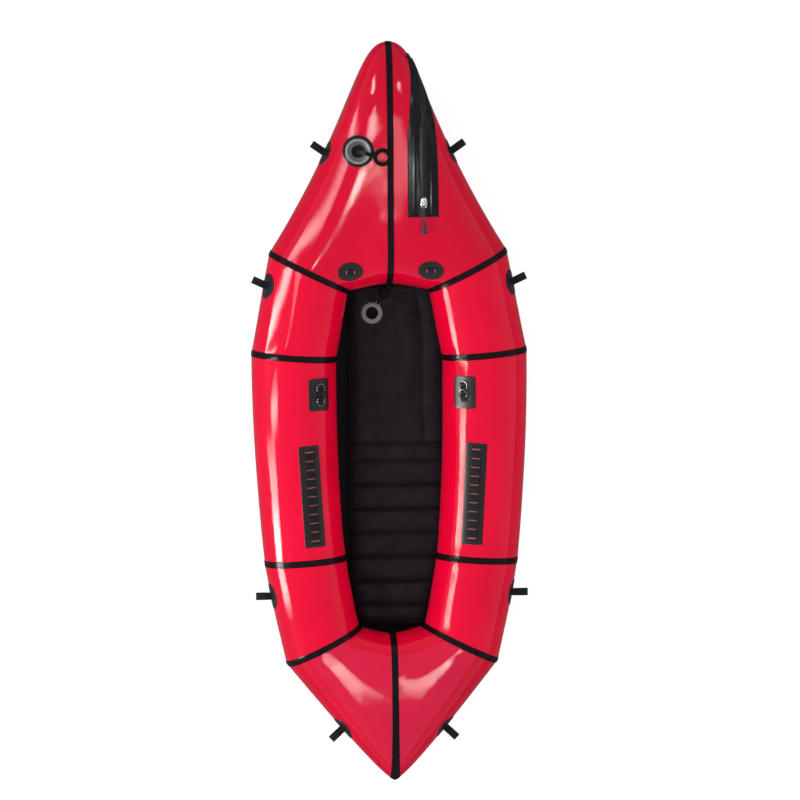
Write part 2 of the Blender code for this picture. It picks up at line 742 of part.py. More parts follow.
class Guide:
    """Outermost skin of the hull, which fittings are seated on."""

    def __init__(self):
        vertices = []
        faces = []
        for side in SIDES.values():
            for name in PANEL_ORDER:
                fine = [
                    [mirrored(SURFACES[name](theta, i / GUIDE_ROW_COUNT), side) for theta in angles(GUIDE_AROUND_COUNT)]
                    for i in range(GUIDE_ROW_COUNT + 1)
                ]
                for grid in (fine, panel_grid(name, side)):
                    points, quads = skin(grid, reverse=side < 0)
                    base = len(vertices)
                    vertices += points
                    faces += [tuple(base + index for index in quad) for quad in quads]
        self.tree = BVHTree.FromPolygons(vertices, faces)

    def hit(self, point, direction):
        """First point of the skin from far outside along a direction, and its normal."""
        direction = direction.normalized()
        place, normal, _, _ = self.tree.ray_cast(point - direction * RAY_REACH, direction)
        return place, normal

    def seat(self, x, y, ahead=FORWARD):
        """Frame on the upper skin: its Z is the normal and its Y points ahead."""
        return self.seat_toward(Vector((x, y, 0)), UP, ahead)

    def seat_toward(self, point, outward, ahead=FORWARD):
        """Frame where a line out of the hull leaves its skin, with the mean normal there."""
        across = ahead.cross(outward).normalized()
        steps = [(i * PROBE_STEP, j * PROBE_STEP) for i in (-8, 0, 8) for j in (-8, 0, 8)]
        places = [self.hit(point + across * i + ahead * j, -outward) for i, j in steps]
        normal = sum((n for _, n in places if n is not None), Vector()).normalized()
        return frame_at(places[4][0], normal, ahead)

    def drape(self, frame, x, y, lift):
        """Local point above a frame's x and y, a lift over the skin."""
        point = frame @ Vector((x, y, 0))
        normal = frame.to_3x3() @ UP
        place, skin_normal = self.hit(point, -normal)
        if skin_normal.dot(normal) < 0:
            skin_normal = -skin_normal
        return frame.inverted() @ (place + skin_normal * lift)


def frame_at(origin, normal, ahead):
    """Frame with Z along a normal and Y as near as possible to a direction."""
    z_axis = normal.normalized()
    y_axis = (ahead - z_axis * ahead.dot(z_axis)).normalized()
    x_axis = y_axis.cross(z_axis)
    frame = Matrix((x_axis, y_axis, z_axis)).transposed().to_4x4()
    frame.translation = origin
    return frame


def hull_frame(panel, angle, y, side):
    """Frame on a panel at an angle from its crown, inboard positive, with Y to the bow."""
    surface = SURFACES[panel]
    theta = math.pi / 2 + math.radians(angle)
    low, high = 0.0, 1.0
    for _ in range(40):
        middle = (low + high) / 2
        if surface(theta, middle).y > y:
            low = middle
        else:
            high = middle
    normal = surface_normal(surface, theta, low)
    along = (surface(theta, low - 0.01) - surface(theta, low + 0.01)).normalized()
    return frame_at(mirrored(surface(theta, low), side), mirrored(normal, side), mirrored(along, side))


# Floor sheet and mat


def bottom_line():
    """Outline of the floor: the line on which each tube rests, from bow to stern."""
    theta = -math.pi / 2
    line = []
    for name in PANEL_ORDER:
        line += [SURFACES[name](theta, i / GUIDE_ROW_COUNT) for i in range(GUIDE_ROW_COUNT)]
    return line


def width_at(line, y):
    """Half width of the floor at a place along the boat."""
    for fore, aft in zip(line, line[1:]):
        if aft.y <= y <= fore.y:
            return mix(aft.x, fore.x, (y - aft.y) / (fore.y - aft.y))
    return line[-1].x


def floor_rise(guide, y, half_width):
    """Height of the hull's underside over its level part, at its lowest across the boat."""
    if STERN_RING.centre.y <= y <= SHOULDER_RING.centre.y:
        return 0
    stations = [half_width * i / 8 for i in range(9)]
    hits = [guide.hit(Vector((x, y, 0)), UP)[0] for x in stations]
    return max(min(place.z for place in hits if place is not None) - TUBE_BOTTOM, 0)


def make_floor(guide):
    """Floor sheet under the tubes, turned up with the hull at both ends."""
    line = bottom_line()
    fore_part = [mix(FLOOR_BOW_END, SHOULDER_RING.centre.y, i / FLOOR_ROW_COUNT) for i in range(FLOOR_ROW_COUNT)]
    seams = [SHOULDER_RING.centre.y, SIDE_RING.centre.y, QUARTER_RING.centre.y, STERN_RING.centre.y]
    middle = [mix(a, b, i / 2) for a, b in zip(seams, seams[1:]) for i in range(2)]
    aft_part = [mix(STERN_RING.centre.y, FLOOR_STERN_END, i / FLOOR_ROW_COUNT) for i in range(FLOOR_ROW_COUNT + 1)]
    rows = []
    for y in fore_part + middle + aft_part:
        half = width_at(line, y)
        level = min(max(y, STERN_RING.centre.y), SHOULDER_RING.centre.y)
        top = FLOOR_TOP + floor_rise(guide, mix(y, level, 1 / FLOOR_ROW_COUNT), half)
        rows.append([Vector((mix(-half, half, j / FLOOR_COLUMN_COUNT), y, top)) for j in range(FLOOR_COLUMN_COUNT + 1)])
    vertices, faces = skin(rows, wrap_columns=False, reverse=True)
    floor = add_object("floor_sheet", mesh_from("floor_sheet", vertices, faces), BLACK_FABRIC)
    thicken(floor, FLOOR_THICKNESS, -1)


def swell(share):
    """Crown of one channel, from 0 at its seams to 1 in its middle."""
    return math.sqrt(max(1 - (2 * share - 1) ** 2, 0))


def mat_edges(y):
    """Port and starboard edge of the mat at a place along the boat."""
    bow = max((y - (MAT_BOW_END - MAT_BOW_TAPER)) / MAT_BOW_TAPER, 0)
    starboard = max((MAT_STERN_END + MAT_STARBOARD_TAPER - y) / MAT_STARBOARD_TAPER, 0)
    port = max((MAT_STERN_END + MAT_PORT_TAPER - y) / MAT_PORT_TAPER, 0)
    narrowing = MAT_BOW_NARROWING * bow**2 + MAT_STARBOARD_NARROWING * starboard**1.3
    return MAT_PORT_EDGE + MAT_PORT_NARROWING * port**1.5, MAT_STARBOARD_EDGE - narrowing


def chamber_seams():
    """Places of the cross seams in the mat's rear part, from its fore seam to its end."""
    seams = [MAT_CROSS_SEAM, MAT_CROSS_SEAM - MAT_FIRST_CHAMBER]
    while seams[-1] - MAT_CHAMBER_PITCH > MAT_STERN_END + MAT_CHAMBER_PITCH / 3:
        seams.append(seams[-1] - MAT_CHAMBER_PITCH)
    return [*seams, MAT_STERN_END]


def mat_rows():
    """Rows of the mat: place along the boat, share of the crown, and along or cross channels."""
    length = MAT_BOW_END - MAT_CROSS_SEAM
    pad = (MAT_PAD_LENGTH + MAT_PAD_BLEND, MAT_PAD_LENGTH, -MAT_PAD_LENGTH, -MAT_PAD_LENGTH - MAT_PAD_BLEND)
    ahead = MAT_BOW_END - MAT_VALVE_Y - pad[0]
    rows = [(MAT_BOW_END - ahead * s, crown, True) for s, crown in MAT_END_CROWN_SHARES]
    rows += [(MAT_VALVE_Y + place, 1, True) for place in pad]
    rows += [(MAT_BOW_END - length * s, 1, True) for s in (0.60, 0.91)]
    rows += [(MAT_BOW_END - length * 0.97, 0.72, True)]
    seams = chamber_seams()
    for fore, aft in zip(seams, seams[1:]):
        rows += [(mix(fore, aft, s), swell(s), False) for s in (0, 0.15, 0.5, 0.85)]
    return [*rows, (MAT_STERN_END, 0, False)]


def mat_columns():
    """Shares across the mat: its side, and each channel from seam to seam."""
    inside = (0, 0.15, 0.5, 0.85)
    columns = [(k + s) / MAT_CHANNEL_COUNT for k in range(MAT_CHANNEL_COUNT) for s in inside]
    return [*columns, 1.0]


def make_mat():
    """Inflatable floor mat: long channels ahead, cross chambers aft, in one skin."""
    columns = mat_columns()
    rows = mat_rows()
    grid = []
    for row, (y, crown, along) in enumerate(rows):
        port, starboard = mat_edges(y)
        line = []
        for column in columns:
            channel = (column * MAT_CHANNEL_COUNT) % 1
            side = min(swell(min(column, 1 - column) * 2.6 if min(column, 1 - column) < 0.19 else 0.5), 1)
            full = swell(channel) * crown if along else crown
            top = MAT_SEAM_HEIGHT + (MAT_CROWN - MAT_SEAM_HEIGHT) * full
            height = mix(MAT_EDGE_HEIGHT, top, side)
            x = mix(port, starboard, column)
            if abs(x - MAT_VALVE_X) < MAT_PAD_WIDTH and abs(y - MAT_VALVE_Y) < MAT_PAD_LENGTH + CLEARANCE:
                height = MAT_CROWN
            if row in (0, len(rows) - 1):
                height = MAT_EDGE_HEIGHT
            line.append(Vector((x, y, MAT_BOTTOM + height)))
        grid.append(line)
    bm = bmesh.new()
    top = [[bm.verts.new(point) for point in line] for line in grid]
    for fore, aft in zip(top, top[1:]):
        for j in range(len(columns) - 1):
            bm.faces.new((fore[j], fore[j + 1], aft[j + 1], aft[j]))
    rim = top[0] + [line[-1] for line in top[1:]] + top[-1][-2::-1] + [line[0] for line in top[-2:0:-1]]
    base = [bm.verts.new((vert.co.x, vert.co.y, MAT_BOTTOM)) for vert in rim]
    for j in range(len(rim)):
        k = (j + 1) % len(rim)
        bm.faces.new((rim[j], rim[k], base[k], base[j]))
    bm.faces.new(base)
    bmesh.ops.triangulate(bm, faces=[face for face in bm.faces if len(face.verts) > 4])
    return add_object("floor_mat", mesh_from_bmesh("floor_mat", bm), MAT_FABRIC)


# Round fittings that are seated on a curved skin


def strap_sections(path, width, thickness):
    """Rectangles along a path of local points, square to it and level across X."""
    sections = []
    for i, point in enumerate(path):
        before = path[max(i - 1, 0)]
        after = path[min(i + 1, len(path) - 1)]
        along = (after - before).normalized()
        across = Vector((1, 0, 0))
        up = across.cross(along).normalized()
        half = across * (width / 2)
        rise = up * (thickness / 2)
        sections.append([point - half - rise, point + half - rise, point + half + rise, point - half + rise])
    return sections


# Main valve


def make_valve(guide):
    """Inflation valve: flange, body, check flap, plug and its pull ring."""
    frame = guide.seat(VALVE_X, VALVE_Y)
    ring_frame = guide.seat(PULL_RING_X, PULL_RING_Y)
    toward = ring_frame.translation - frame.translation
    normal = frame.to_3x3() @ UP
    frame = frame_at(frame.translation, normal, toward)

    hole = cylinder(
        "valve_hole",
        VALVE_NECK_RADIUS + OVERRUN / 2,
        (0, 0, -VALVE_NECK_LENGTH),
        (0, 0, VALVE_NECK_LENGTH),
        frame,
        segments=28,
    )
    boolean(bpy.data.objects["bow_panel_port"], hole, "DIFFERENCE")

    rings = (mix(VALVE_NECK_RADIUS, VALVE_FLANGE_FLAT, 0.5), VALVE_FLANGE_FLAT, VALVE_FLANGE_RADIUS)
    bm = seated_flange(guide, frame, rings)
    add_object("valve_flange", mesh_from_bmesh("valve_flange", bm), GREY_PLASTIC, frame)

    base = VALVE_FLANGE_HEIGHT + CLEARANCE
    rim = base + VALVE_RIM_HEIGHT
    dish = base + VALVE_DISH_HEIGHT
    neck = -VALVE_NECK_LENGTH
    shelf = -VALVE_SHELF_DEPTH
    body_profile = (
        (PLUG_FLANGE_RADIUS + OVERRUN, dish),
        (VALVE_RIM_RADIUS - 2 * VALVE_RIM_LIP, rim - VALVE_RIM_LIP / 2),
        (VALVE_RIM_RADIUS - VALVE_RIM_LIP, rim),
        (VALVE_RIM_RADIUS - VALVE_RIM_LIP / 2, rim),
        (VALVE_RIM_RADIUS, rim - VALVE_RIM_LIP),
        (VALVE_RIM_RADIUS, base),
        (VALVE_NECK_RADIUS, base),
        (VALVE_NECK_RADIUS, neck),
        (VALVE_BORE_RADIUS, neck),
        (VALVE_BORE_RADIUS, shelf - VALVE_SHELF_THICKNESS),
        (VALVE_SHELF_RADIUS, shelf - VALVE_SHELF_THICKNESS),
        (VALVE_SHELF_RADIUS, shelf),
        (VALVE_BORE_RADIUS, shelf),
        (VALVE_BORE_RADIUS, dish),
    )
    body = turned("valve_body", body_profile, frame, GREY_PLASTIC)
    low = (-SPIDER_WIDTH / 2, -VALVE_SHELF_RADIUS - OVERRUN, shelf - VALVE_SHELF_THICKNESS)
    high = (SPIDER_WIDTH / 2, VALVE_SHELF_RADIUS + OVERRUN, shelf)
    boolean(body, box("valve_spider", low, high, frame), "UNION")
    spider_bore = cylinder(
        "valve_spider_bore",
        SPIDER_BORE_RADIUS,
        (0, 0, shelf - VALVE_SHELF_THICKNESS - OVERRUN),
        (0, 0, shelf + OVERRUN),
        frame,
    )
    boolean(body, spider_bore, "DIFFERENCE")

    seat = shelf - VALVE_SHELF_THICKNESS - CLEARANCE
    button = shelf + CLEARANCE + FLAP_TRAVEL
    flap_profile = (
        (0, button + FLAP_BUTTON_HEIGHT),
        (FLAP_BUTTON_RADIUS, button + FLAP_BUTTON_HEIGHT),
        (FLAP_BUTTON_RADIUS, button),
        (FLAP_STEM_RADIUS, button),
        (FLAP_STEM_RADIUS, seat),
        (FLAP_RADIUS, seat),
        (FLAP_RADIUS, seat - FLAP_THICKNESS),
        (0, seat - FLAP_THICKNESS),
    )
    turned("valve_flap", flap_profile, frame, BLACK_RUBBER, steps=16, closed=False)

    plug_base = dish + CLEARANCE
    plug_top = plug_base + PLUG_FLANGE_THICKNESS
    cup = plug_top - PLUG_CUP_DEPTH
    plug_profile = (
        (0, cup),
        (PLUG_CUP_RADIUS - OVERRUN, cup),
        (PLUG_CUP_RADIUS, plug_top),
        (PLUG_FLANGE_RADIUS, plug_top),
        (PLUG_FLANGE_RADIUS, plug_base),
        (PLUG_SKIRT_RADIUS, plug_base),
        (PLUG_SKIRT_RADIUS - CLEARANCE, plug_base - PLUG_SKIRT_LENGTH),
        (0, plug_base - PLUG_SKIRT_LENGTH),
    )
    plug = turned("valve_plug", plug_profile, frame, BLACK_RUBBER, closed=False)
    bar_height = plug_top - PULL_BAR_HEIGHT
    reach = PLUG_CUP_RADIUS
    pull_bar = cylinder("valve_pull_bar", PULL_BAR_RADIUS, (-reach, 0, bar_height), (reach, 0, bar_height), frame)
    boolean(plug, pull_bar, "UNION")
    make_pull_ring(guide, frame, ring_frame, bar_height, rim)


def seated_flange(guide, frame, rings):
    """Moulded flange: it follows the hull below and is flat on top inside its bevel."""

    def seat(x, y):
        return guide.drape(frame, x, y, CLEARANCE)

    bm = bmesh.new()
    bore = VALVE_NECK_RADIUS + CLEARANCE
    sections = []
    for turn in angles(24):
        x, y = math.cos(turn), math.sin(turn)
        section = [seat(x * radius, y * radius) for radius in (bore, *rings)]
        section.append(guide.drape(frame, x * rings[-1], y * rings[-1], CLEARANCE + PATCH_THICKNESS))
        flat = VALVE_FLANGE_FLAT
        section += [Vector((x * flat, y * flat, VALVE_FLANGE_HEIGHT)), Vector((x * bore, y * bore, VALVE_FLANGE_HEIGHT))]
        sections.append([bm.verts.new(point) for point in section])
    count = len(sections[0])
    for i, section in enumerate(sections):
        after = sections[(i + 1) % len(sections)]
        for j in range(count):
            k = (j + 1) % count
            bm.faces.new((section[j], section[k], after[k], after[j]))
    return bm


def make_pull_ring(guide, frame, ring_frame, bar_height, rim):
    """Finger ring on a strap, whose eye turns on the plug's bar."""
    hinge = frame @ Matrix.Translation((0, 0, bar_height))
    to_hinge = hinge.inverted()
    seat_height = CLEARANCE + TAPE_THICKNESS + CLEARANCE + PULL_RING_THICKNESS / 2
    centre = to_hinge @ (ring_frame @ Vector((0, 0, seat_height + OVERRUN / 2)))
    level = to_hinge.to_3x3() @ (ring_frame.to_3x3() @ UP)
    inner = PULL_RING_HOLE_RADIUS
    outer = PULL_RING_RADIUS
    half = PULL_RING_THICKNESS / 2
    tilt = Matrix.Translation(centre) @ UP.rotation_difference(level).to_matrix().to_4x4()
    ring_profile = ((inner, half), (outer - half, half), (outer, half / 3), (outer, -half), (inner, -half))
    ring = turned("pull_ring_disc", ring_profile, hinge @ tilt, None, steps=20)

    eye_outer = PULL_BAR_RADIUS + CLEARANCE + PULL_STRAP_THICKNESS
    start = Vector((0, PULL_BAR_RADIUS + CLEARANCE + PULL_STRAP_THICKNESS / 2, PULL_STRAP_THICKNESS))
    crest = rim - bar_height + CLEARANCE + PULL_STRAP_THICKNESS
    ring_start = tilt @ Vector((0, -(inner + outer) / 2, 0))
    path = [
        start,
        Vector((0, PLUG_CUP_RADIUS, crest * 0.72)),
        Vector((0, PLUG_FLANGE_RADIUS + OVERRUN, crest)),
        Vector((0, VALVE_RIM_RADIUS, crest)),
        Vector((0, mix(VALVE_RIM_RADIUS, ring_start.y, 0.45), mix(crest, ring_start.z, 0.35))),
        ring_start,
    ]
    sections = strap_sections(path, PULL_STRAP_WIDTH, PULL_STRAP_THICKNESS)
    bm = loft(sections)
    label = "valve_pull_ring"
    strap = add_object(label, mesh_from_bmesh(label, bm), BLACK_RUBBER, hinge)
    half_eye = PULL_EYE_WIDTH / 2
    eye = cylinder("pull_ring_eye", eye_outer, (-half_eye, 0, 0), (half_eye, 0, 0), hinge, segments=16)
    bore = cylinder(
        "pull_ring_eye_bore",
        PULL_BAR_RADIUS + CLEARANCE,
        (-half_eye - OVERRUN, 0, 0),
        (half_eye + OVERRUN, 0, 0),
        hinge,
    )
    boolean(strap, eye, "UNION")
    boolean(strap, ring, "UNION")
    boolean(strap, bore, "DIFFERENCE")


# Valve of the mat


def make_mat_valve(mat):
    """Mat valve: flange with a hinge for its plug, a cup, and the plug laid open."""
    turn = math.radians(MAT_PLUG_YAW)
    ahead = Vector((math.cos(turn), math.sin(turn), 0))
    frame = frame_at(Vector((MAT_VALVE_X, MAT_VALVE_Y, MAT_BOTTOM + MAT_CROWN)), UP, ahead)
    bore = MAT_VALVE_BORE_RADIUS + CLEARANCE
    flange_profile = (
        (bore, MAT_VALVE_HEIGHT),
        (MAT_VALVE_FLAT, MAT_VALVE_HEIGHT),
        (MAT_VALVE_RADIUS, MAT_VALVE_EDGE),
        (MAT_VALVE_RADIUS, CLEARANCE),
        (bore, CLEARANCE),
    )
    flange = turned("mat_valve_flange", flange_profile, frame, PALE_PLASTIC, steps=24)

    depth = MAT_VALVE_HEIGHT - MAT_CUP_DEPTH
    lip = MAT_VALVE_HEIGHT + CLEARANCE
    inner = MAT_VALVE_BORE_RADIUS - MAT_CUP_WALL
    cup_profile = (
        (0, depth + MAT_CUP_WALL),
        (inner, depth + MAT_CUP_WALL),
        (inner, lip + MAT_CUP_LIP),
        (MAT_VALVE_BORE_RADIUS + OVERRUN, lip + MAT_CUP_LIP),
        (MAT_VALVE_BORE_RADIUS + OVERRUN, lip),
        (MAT_VALVE_BORE_RADIUS, lip),
        (MAT_VALVE_BORE_RADIUS, depth),
        (0, depth),
    )
    turned("mat_valve_cup", cup_profile, frame, BLACK_RUBBER, steps=20, closed=False)
    well = cylinder(
        "mat_valve_well",
        MAT_VALVE_BORE_RADIUS + OVERRUN / 2,
        (0, 0, depth - OVERRUN),
        (0, 0, MAT_CUP_DEPTH),
        frame,
        segments=20,
    )
    boolean(mat, well, "DIFFERENCE")

    hinge_height = MAT_VALVE_EDGE + HINGE_EAR_RADIUS
    hinge = frame @ Matrix.Translation((0, MAT_PLUG_HINGE_REACH, hinge_height))
    ear_inner = MAT_STRAP_WIDTH / 2 + CLEARANCE
    root = MAT_VALVE_FLAT - MAT_PLUG_HINGE_REACH
    for name, side in (("left", -1), ("right", 1)):
        low = (min(side * ear_inner, side * (ear_inner + HINGE_EAR_WIDTH)), root, -HINGE_EAR_RADIUS)
        high = (max(side * ear_inner, side * (ear_inner + HINGE_EAR_WIDTH)), HINGE_EAR_RADIUS / 2, HINGE_EAR_RADIUS / 2)
        boolean(flange, box("mat_ear_" + name, low, high, hinge), "UNION")
    reach = ear_inner + HINGE_EAR_WIDTH / 2
    hinge_bar = cylinder("mat_hinge_bar", HINGE_BAR_RADIUS, (-reach, 0, 0), (reach, 0, 0), hinge, segments=10)
    boolean(flange, hinge_bar, "UNION")
    make_mat_plug(hinge, hinge_height)


def make_mat_plug(hinge, hinge_height):
    """Plug that lies open ahead of its valve, on a strap with an eye round the hinge bar."""
    label = "mat_valve_plug"
    half = MAT_STRAP_WIDTH / 2
    eye = cylinder(label, HINGE_EYE_RADIUS, (-half, 0, 0), (half, 0, 0), hinge, BLACK_RUBBER, segments=14)
    reach = MAT_PLUG_HINGE_REACH
    plug_height = MAT_VALVE_HEIGHT + CLEARANCE + MAT_CUP_LIP + CLEARANCE - hinge_height
    low = (-half, HINGE_BAR_RADIUS, -plug_height - MAT_PLUG_HEAD_THICKNESS)
    high = (half, reach, -plug_height - MAT_PLUG_HEAD_THICKNESS + MAT_STRAP_THICKNESS)
    strap = box("mat_plug_strap", low, high, hinge)
    head_low = -plug_height - MAT_PLUG_HEAD_THICKNESS
    head = cylinder(
        "mat_plug_head", MAT_PLUG_HEAD_RADIUS, (0, reach, head_low), (0, reach, -plug_height), hinge, segments=20
    )
    plug_top = -plug_height + MAT_PLUG_HEIGHT
    stem = cylinder(
        "mat_plug_stem",
        MAT_PLUG_RADIUS,
        (0, reach, -plug_height - MAT_PLUG_HEAD_THICKNESS / 2),
        (0, reach, plug_top),
        hinge,
        segments=20,
        end_radius=MAT_PLUG_RADIUS - OVERRUN / 2,
    )
    tab_half = MAT_PLUG_TAB_WIDTH / 2
    tab_start = reach + MAT_PLUG_RADIUS
    tab_end = reach + MAT_PLUG_HEAD_RADIUS + MAT_PLUG_TAB_LENGTH
    tab = box("mat_plug_tab", (-tab_half, tab_start, head_low), (tab_half, tab_end, -plug_height), hinge)
    bore = cylinder(
        "mat_plug_eye_bore",
        HINGE_BAR_RADIUS + CLEARANCE,
        (-half - OVERRUN, 0, 0),
        (half + OVERRUN, 0, 0),
        hinge,
        segments=10,
    )
    for tool in (strap, head, stem, tab):
        boolean(eye, tool, "UNION")
    boolean(eye, bore, "DIFFERENCE")


# Cargo zip


class ZipLine:
    """Centre line of the zip: straight over the crown, then round the bow's side."""

    def __init__(self, guide):
        self.guide = guide
        self.low = guide.seat(ZIP_X, ZIP_STRAIGHT_AFT).translation
        self.high = guide.seat(ZIP_X, ZIP_STRAIGHT_FORE).translation
        self.axis = (self.high - self.low).normalized()
        level = guide.seat(ZIP_X, mix(ZIP_STRAIGHT_AFT, ZIP_STRAIGHT_FORE, 0.5)).to_3x3() @ UP
        self.level = (level - self.axis * level.dot(self.axis)).normalized()
        shares = [i / 20 for i in range(21)]
        skins = [guide.seat(ZIP_X, mix(ZIP_STRAIGHT_AFT, ZIP_STRAIGHT_FORE, s)).translation for s in shares]
        bulge = max((skin - mix(self.low, self.high, s)).dot(self.level) for skin, s in zip(skins, shares))
        self.tape_top = ZIP_TAPE_LIFT + ZIP_TAPE_THICKNESS + 2 * CLEARANCE
        self.standoff = self.tape_top + bulge + ZIP_BED_HEIGHT
        crown = self.high.z - self.middle(ZIP_STRAIGHT_FORE).z
        start = (0.0, math.degrees(math.atan2(ZIP_X, crown)))
        self.leans = (start, *ZIP_LEAN_SHARES)

    def middle(self, y):
        """Point in the centre plane half way up the bow."""
        return Vector((0, y, BOW_NOSE.middle((y - BOW_NOSE.inner) / BOW_NOSE.length)))

    def lean(self, share):
        """Angle from upright at a share of the way round the bow."""
        for (low, first), (high, last) in zip(self.leans, self.leans[1:]):
            if share <= high:
                return math.radians(mix(first, last, (share - low) / (high - low)))
        return math.radians(self.leans[-1][1])

    def round_share(self, y):
        """Share of the way from the straight stretch to the fore end."""
        return max((y - ZIP_STRAIGHT_FORE) / (ZIP_FORE_END - ZIP_STRAIGHT_FORE), 0)

    def seat(self, y, ahead=FORWARD):
        """Frame on the hull under the zip."""
        share = self.round_share(y)
        if share == 0:
            return self.guide.seat(ZIP_X, y, ahead)
        lean = self.lean(share)
        outward = Vector((math.sin(lean), 0, math.cos(lean)))
        return self.guide.seat_toward(self.middle(y), outward, ahead)

    def skin_frame(self, y):
        """Frame on the hull with its Y along the zip."""
        before = self.seat(y - 5 * PROBE_STEP).translation
        seat = self.seat(y)
        ahead = self.seat(y + 5 * PROBE_STEP).translation - before
        return frame_at(seat.translation, seat.to_3x3() @ UP, ahead)

    def frame(self, y):
        """Frame on the top of the zip's bed: Y along the zip and Z out of the hull."""
        if y <= ZIP_STRAIGHT_FORE:
            share = (y - ZIP_STRAIGHT_AFT) / (ZIP_STRAIGHT_FORE - ZIP_STRAIGHT_AFT)
            origin = mix(self.low, self.high, share) + self.level * self.standoff
            return frame_at(origin, self.level, self.axis)
        frame = self.skin_frame(y)
        turn = min(self.round_share(y) * 3, 1)
        normal = mix(self.level, frame.to_3x3() @ UP, turn).normalized()
        standoff = mix(self.standoff, self.tape_top + ZIP_BED_HEIGHT * 2, turn)
        return frame_at(frame.translation + normal * standoff, normal, frame.to_3x3() @ FORWARD)


def make_zip(guide):
    """Coated zip tape, chain, slider, ring and toggle."""
    line = ZipLine(guide)
    columns = 6
    grid = []
    places = [mix(ZIP_AFT_END, ZIP_STRAIGHT_FORE, i / 6) for i in range(6)]
    places += [mix(ZIP_STRAIGHT_FORE, ZIP_FORE_END + ZIP_TAPE_OVERLAP, i / 12) for i in range(13)]
    for y in places:
        frame = line.skin_frame(y)
        width = mix(ZIP_TAPE_WIDTH, ZIP_TAPE_TIP_WIDTH, min(line.round_share(y), 1) ** 3)
        across = [mix(-width, width, j / columns) / 2 for j in range(columns + 1)]
        points = [guide.drape(frame, x, 0, ZIP_TAPE_LIFT) for x in across]
        grid.append([frame @ point for point in points])
    vertices, faces = skin(grid, wrap_columns=False)
    tape = add_object("zip_tape", mesh_from("zip_tape", vertices, faces), SEAM_FABRIC)
    thicken(tape, ZIP_TAPE_THICKNESS, 1)

    sections = []
    for y in [ZIP_AFT_END + OVERRUN, *places[1:-1]]:
        frame = line.frame(y)
        bed = ZIP_BED_WIDTH / 2
        bead = ZIP_BEAD_WIDTH / 2
        under = [guide.drape(frame, x, 0, line.tape_top) for x in (bed, 0, -bed)]
        outline = [Vector((-bed, 0, 0)), Vector((-bead, 0, 0)), Vector((-bead * 0.7, 0, ZIP_BEAD_HEIGHT))]
        outline += [Vector((bead * 0.7, 0, ZIP_BEAD_HEIGHT)), Vector((bead, 0, 0)), Vector((bed, 0, 0))]
        sections.append([frame @ point for point in outline + under])
    add_object("zip_chain", mesh_from_bmesh("zip_chain", loft(sections)), BLACK_RUBBER)
    make_slider(line)


def make_slider(line):
    """Slider over the chain, its ring and the flared toggle on a cord."""
    frame = line.frame(SLIDER_Y)
    base = CLEARANCE
    bm = bmesh.new()
    bmesh.ops.create_cone(bm, cap_ends=True, segments=16, radius1=0.5, radius2=0.5, depth=1)
    shape = Matrix.Translation((0, 0, base + SLIDER_HEIGHT / 2)) @ Matrix.Diagonal(
        (SLIDER_WIDTH, SLIDER_LENGTH, SLIDER_HEIGHT, 1)
    )
    bmesh.ops.transform(bm, matrix=shape, verts=bm.verts)
    slider = add_object("zip_slider", mesh_from_bmesh("zip_slider", bm), BRIGHT_STEEL, frame)
    edge = slider.modifiers.new("edge", "BEVEL")
    edge.width = SLIDER_HEIGHT / 5
    edge.segments = 1
    edge.limit_method = "ANGLE"
    half = ZIP_BEAD_WIDTH / 2 + CLEARANCE
    low = (-half, -SLIDER_LENGTH, base - OVERRUN)
    high = (half, SLIDER_LENGTH, ZIP_BEAD_HEIGHT + CLEARANCE)
    boolean(slider, box("slider_channel", low, high, frame), "DIFFERENCE")
    top = base + SLIDER_HEIGHT
    span = SLIDER_BRIDGE_LENGTH / 2
    rise = SLIDER_BRIDGE_RISE
    arch = [Vector((0, span * math.cos(a), top + rise * math.sin(a) - OVERRUN / 2)) for a in angles(14)[:8]]
    bridge = wire_mesh("slider_bridge", arch, SLIDER_BRIDGE_RADIUS, frame, None)
    boolean(slider, bridge, "UNION")

    hinge_height = top + ZIP_RING_WIRE + CLEARANCE
    hinge = frame @ Matrix.Translation((0, 0, hinge_height))
    radius = ZIP_RING_RADIUS
    loop = [Vector((x, y - radius, 0)) for x, y in arc(radius, 0, 360 - 360 / 18, 18)]
    wire("zip_pull_ring", loop, ZIP_RING_WIRE, hinge, BRIGHT_STEEL, cyclic=True, resolution=1)

    end = -2 * radius
    toggle_hinge = hinge @ Matrix.Translation((0, end, 0))
    eye_radius = TOGGLE_EYE_RADIUS - TOGGLE_CORD_RADIUS
    eye = [Vector((0, y, z)) for y, z in arc(eye_radius, 0, 360 - 360 / 12, 12)]
    label = "zip_toggle"
    toggle = wire_mesh(label, eye, TOGGLE_CORD_RADIUS, toggle_hinge, BLACK_RUBBER, cyclic=True, resolution=1)
    start = -eye_radius
    neck = start - TOGGLE_CORD_LENGTH
    cord = cylinder("toggle_cord", TOGGLE_CORD_RADIUS, (0, start, 0), (0, neck - OVERRUN, 0), toggle_hinge, segments=8)
    stations = ((0, TOGGLE_NECK_WIDTH * 0.7), (0.1, TOGGLE_NECK_WIDTH), (0.94, TOGGLE_FLARE_WIDTH), (1, TOGGLE_FLARE_WIDTH * 0.9))
    sections = []
    for share, width in stations:
        y = neck - TOGGLE_LENGTH * share
        outline = rounded_rectangle(width, TOGGLE_THICKNESS, TOGGLE_THICKNESS * 0.4, 2)
        sections.append([Vector((point.x, y, point.y)) for point in outline])
    flare = add_object("toggle_flare", mesh_from_bmesh("toggle_flare", loft(sections)), None, toggle_hinge)
    boolean(toggle, cord, "UNION")
    boolean(toggle, flare, "UNION")


# Webbing and patches


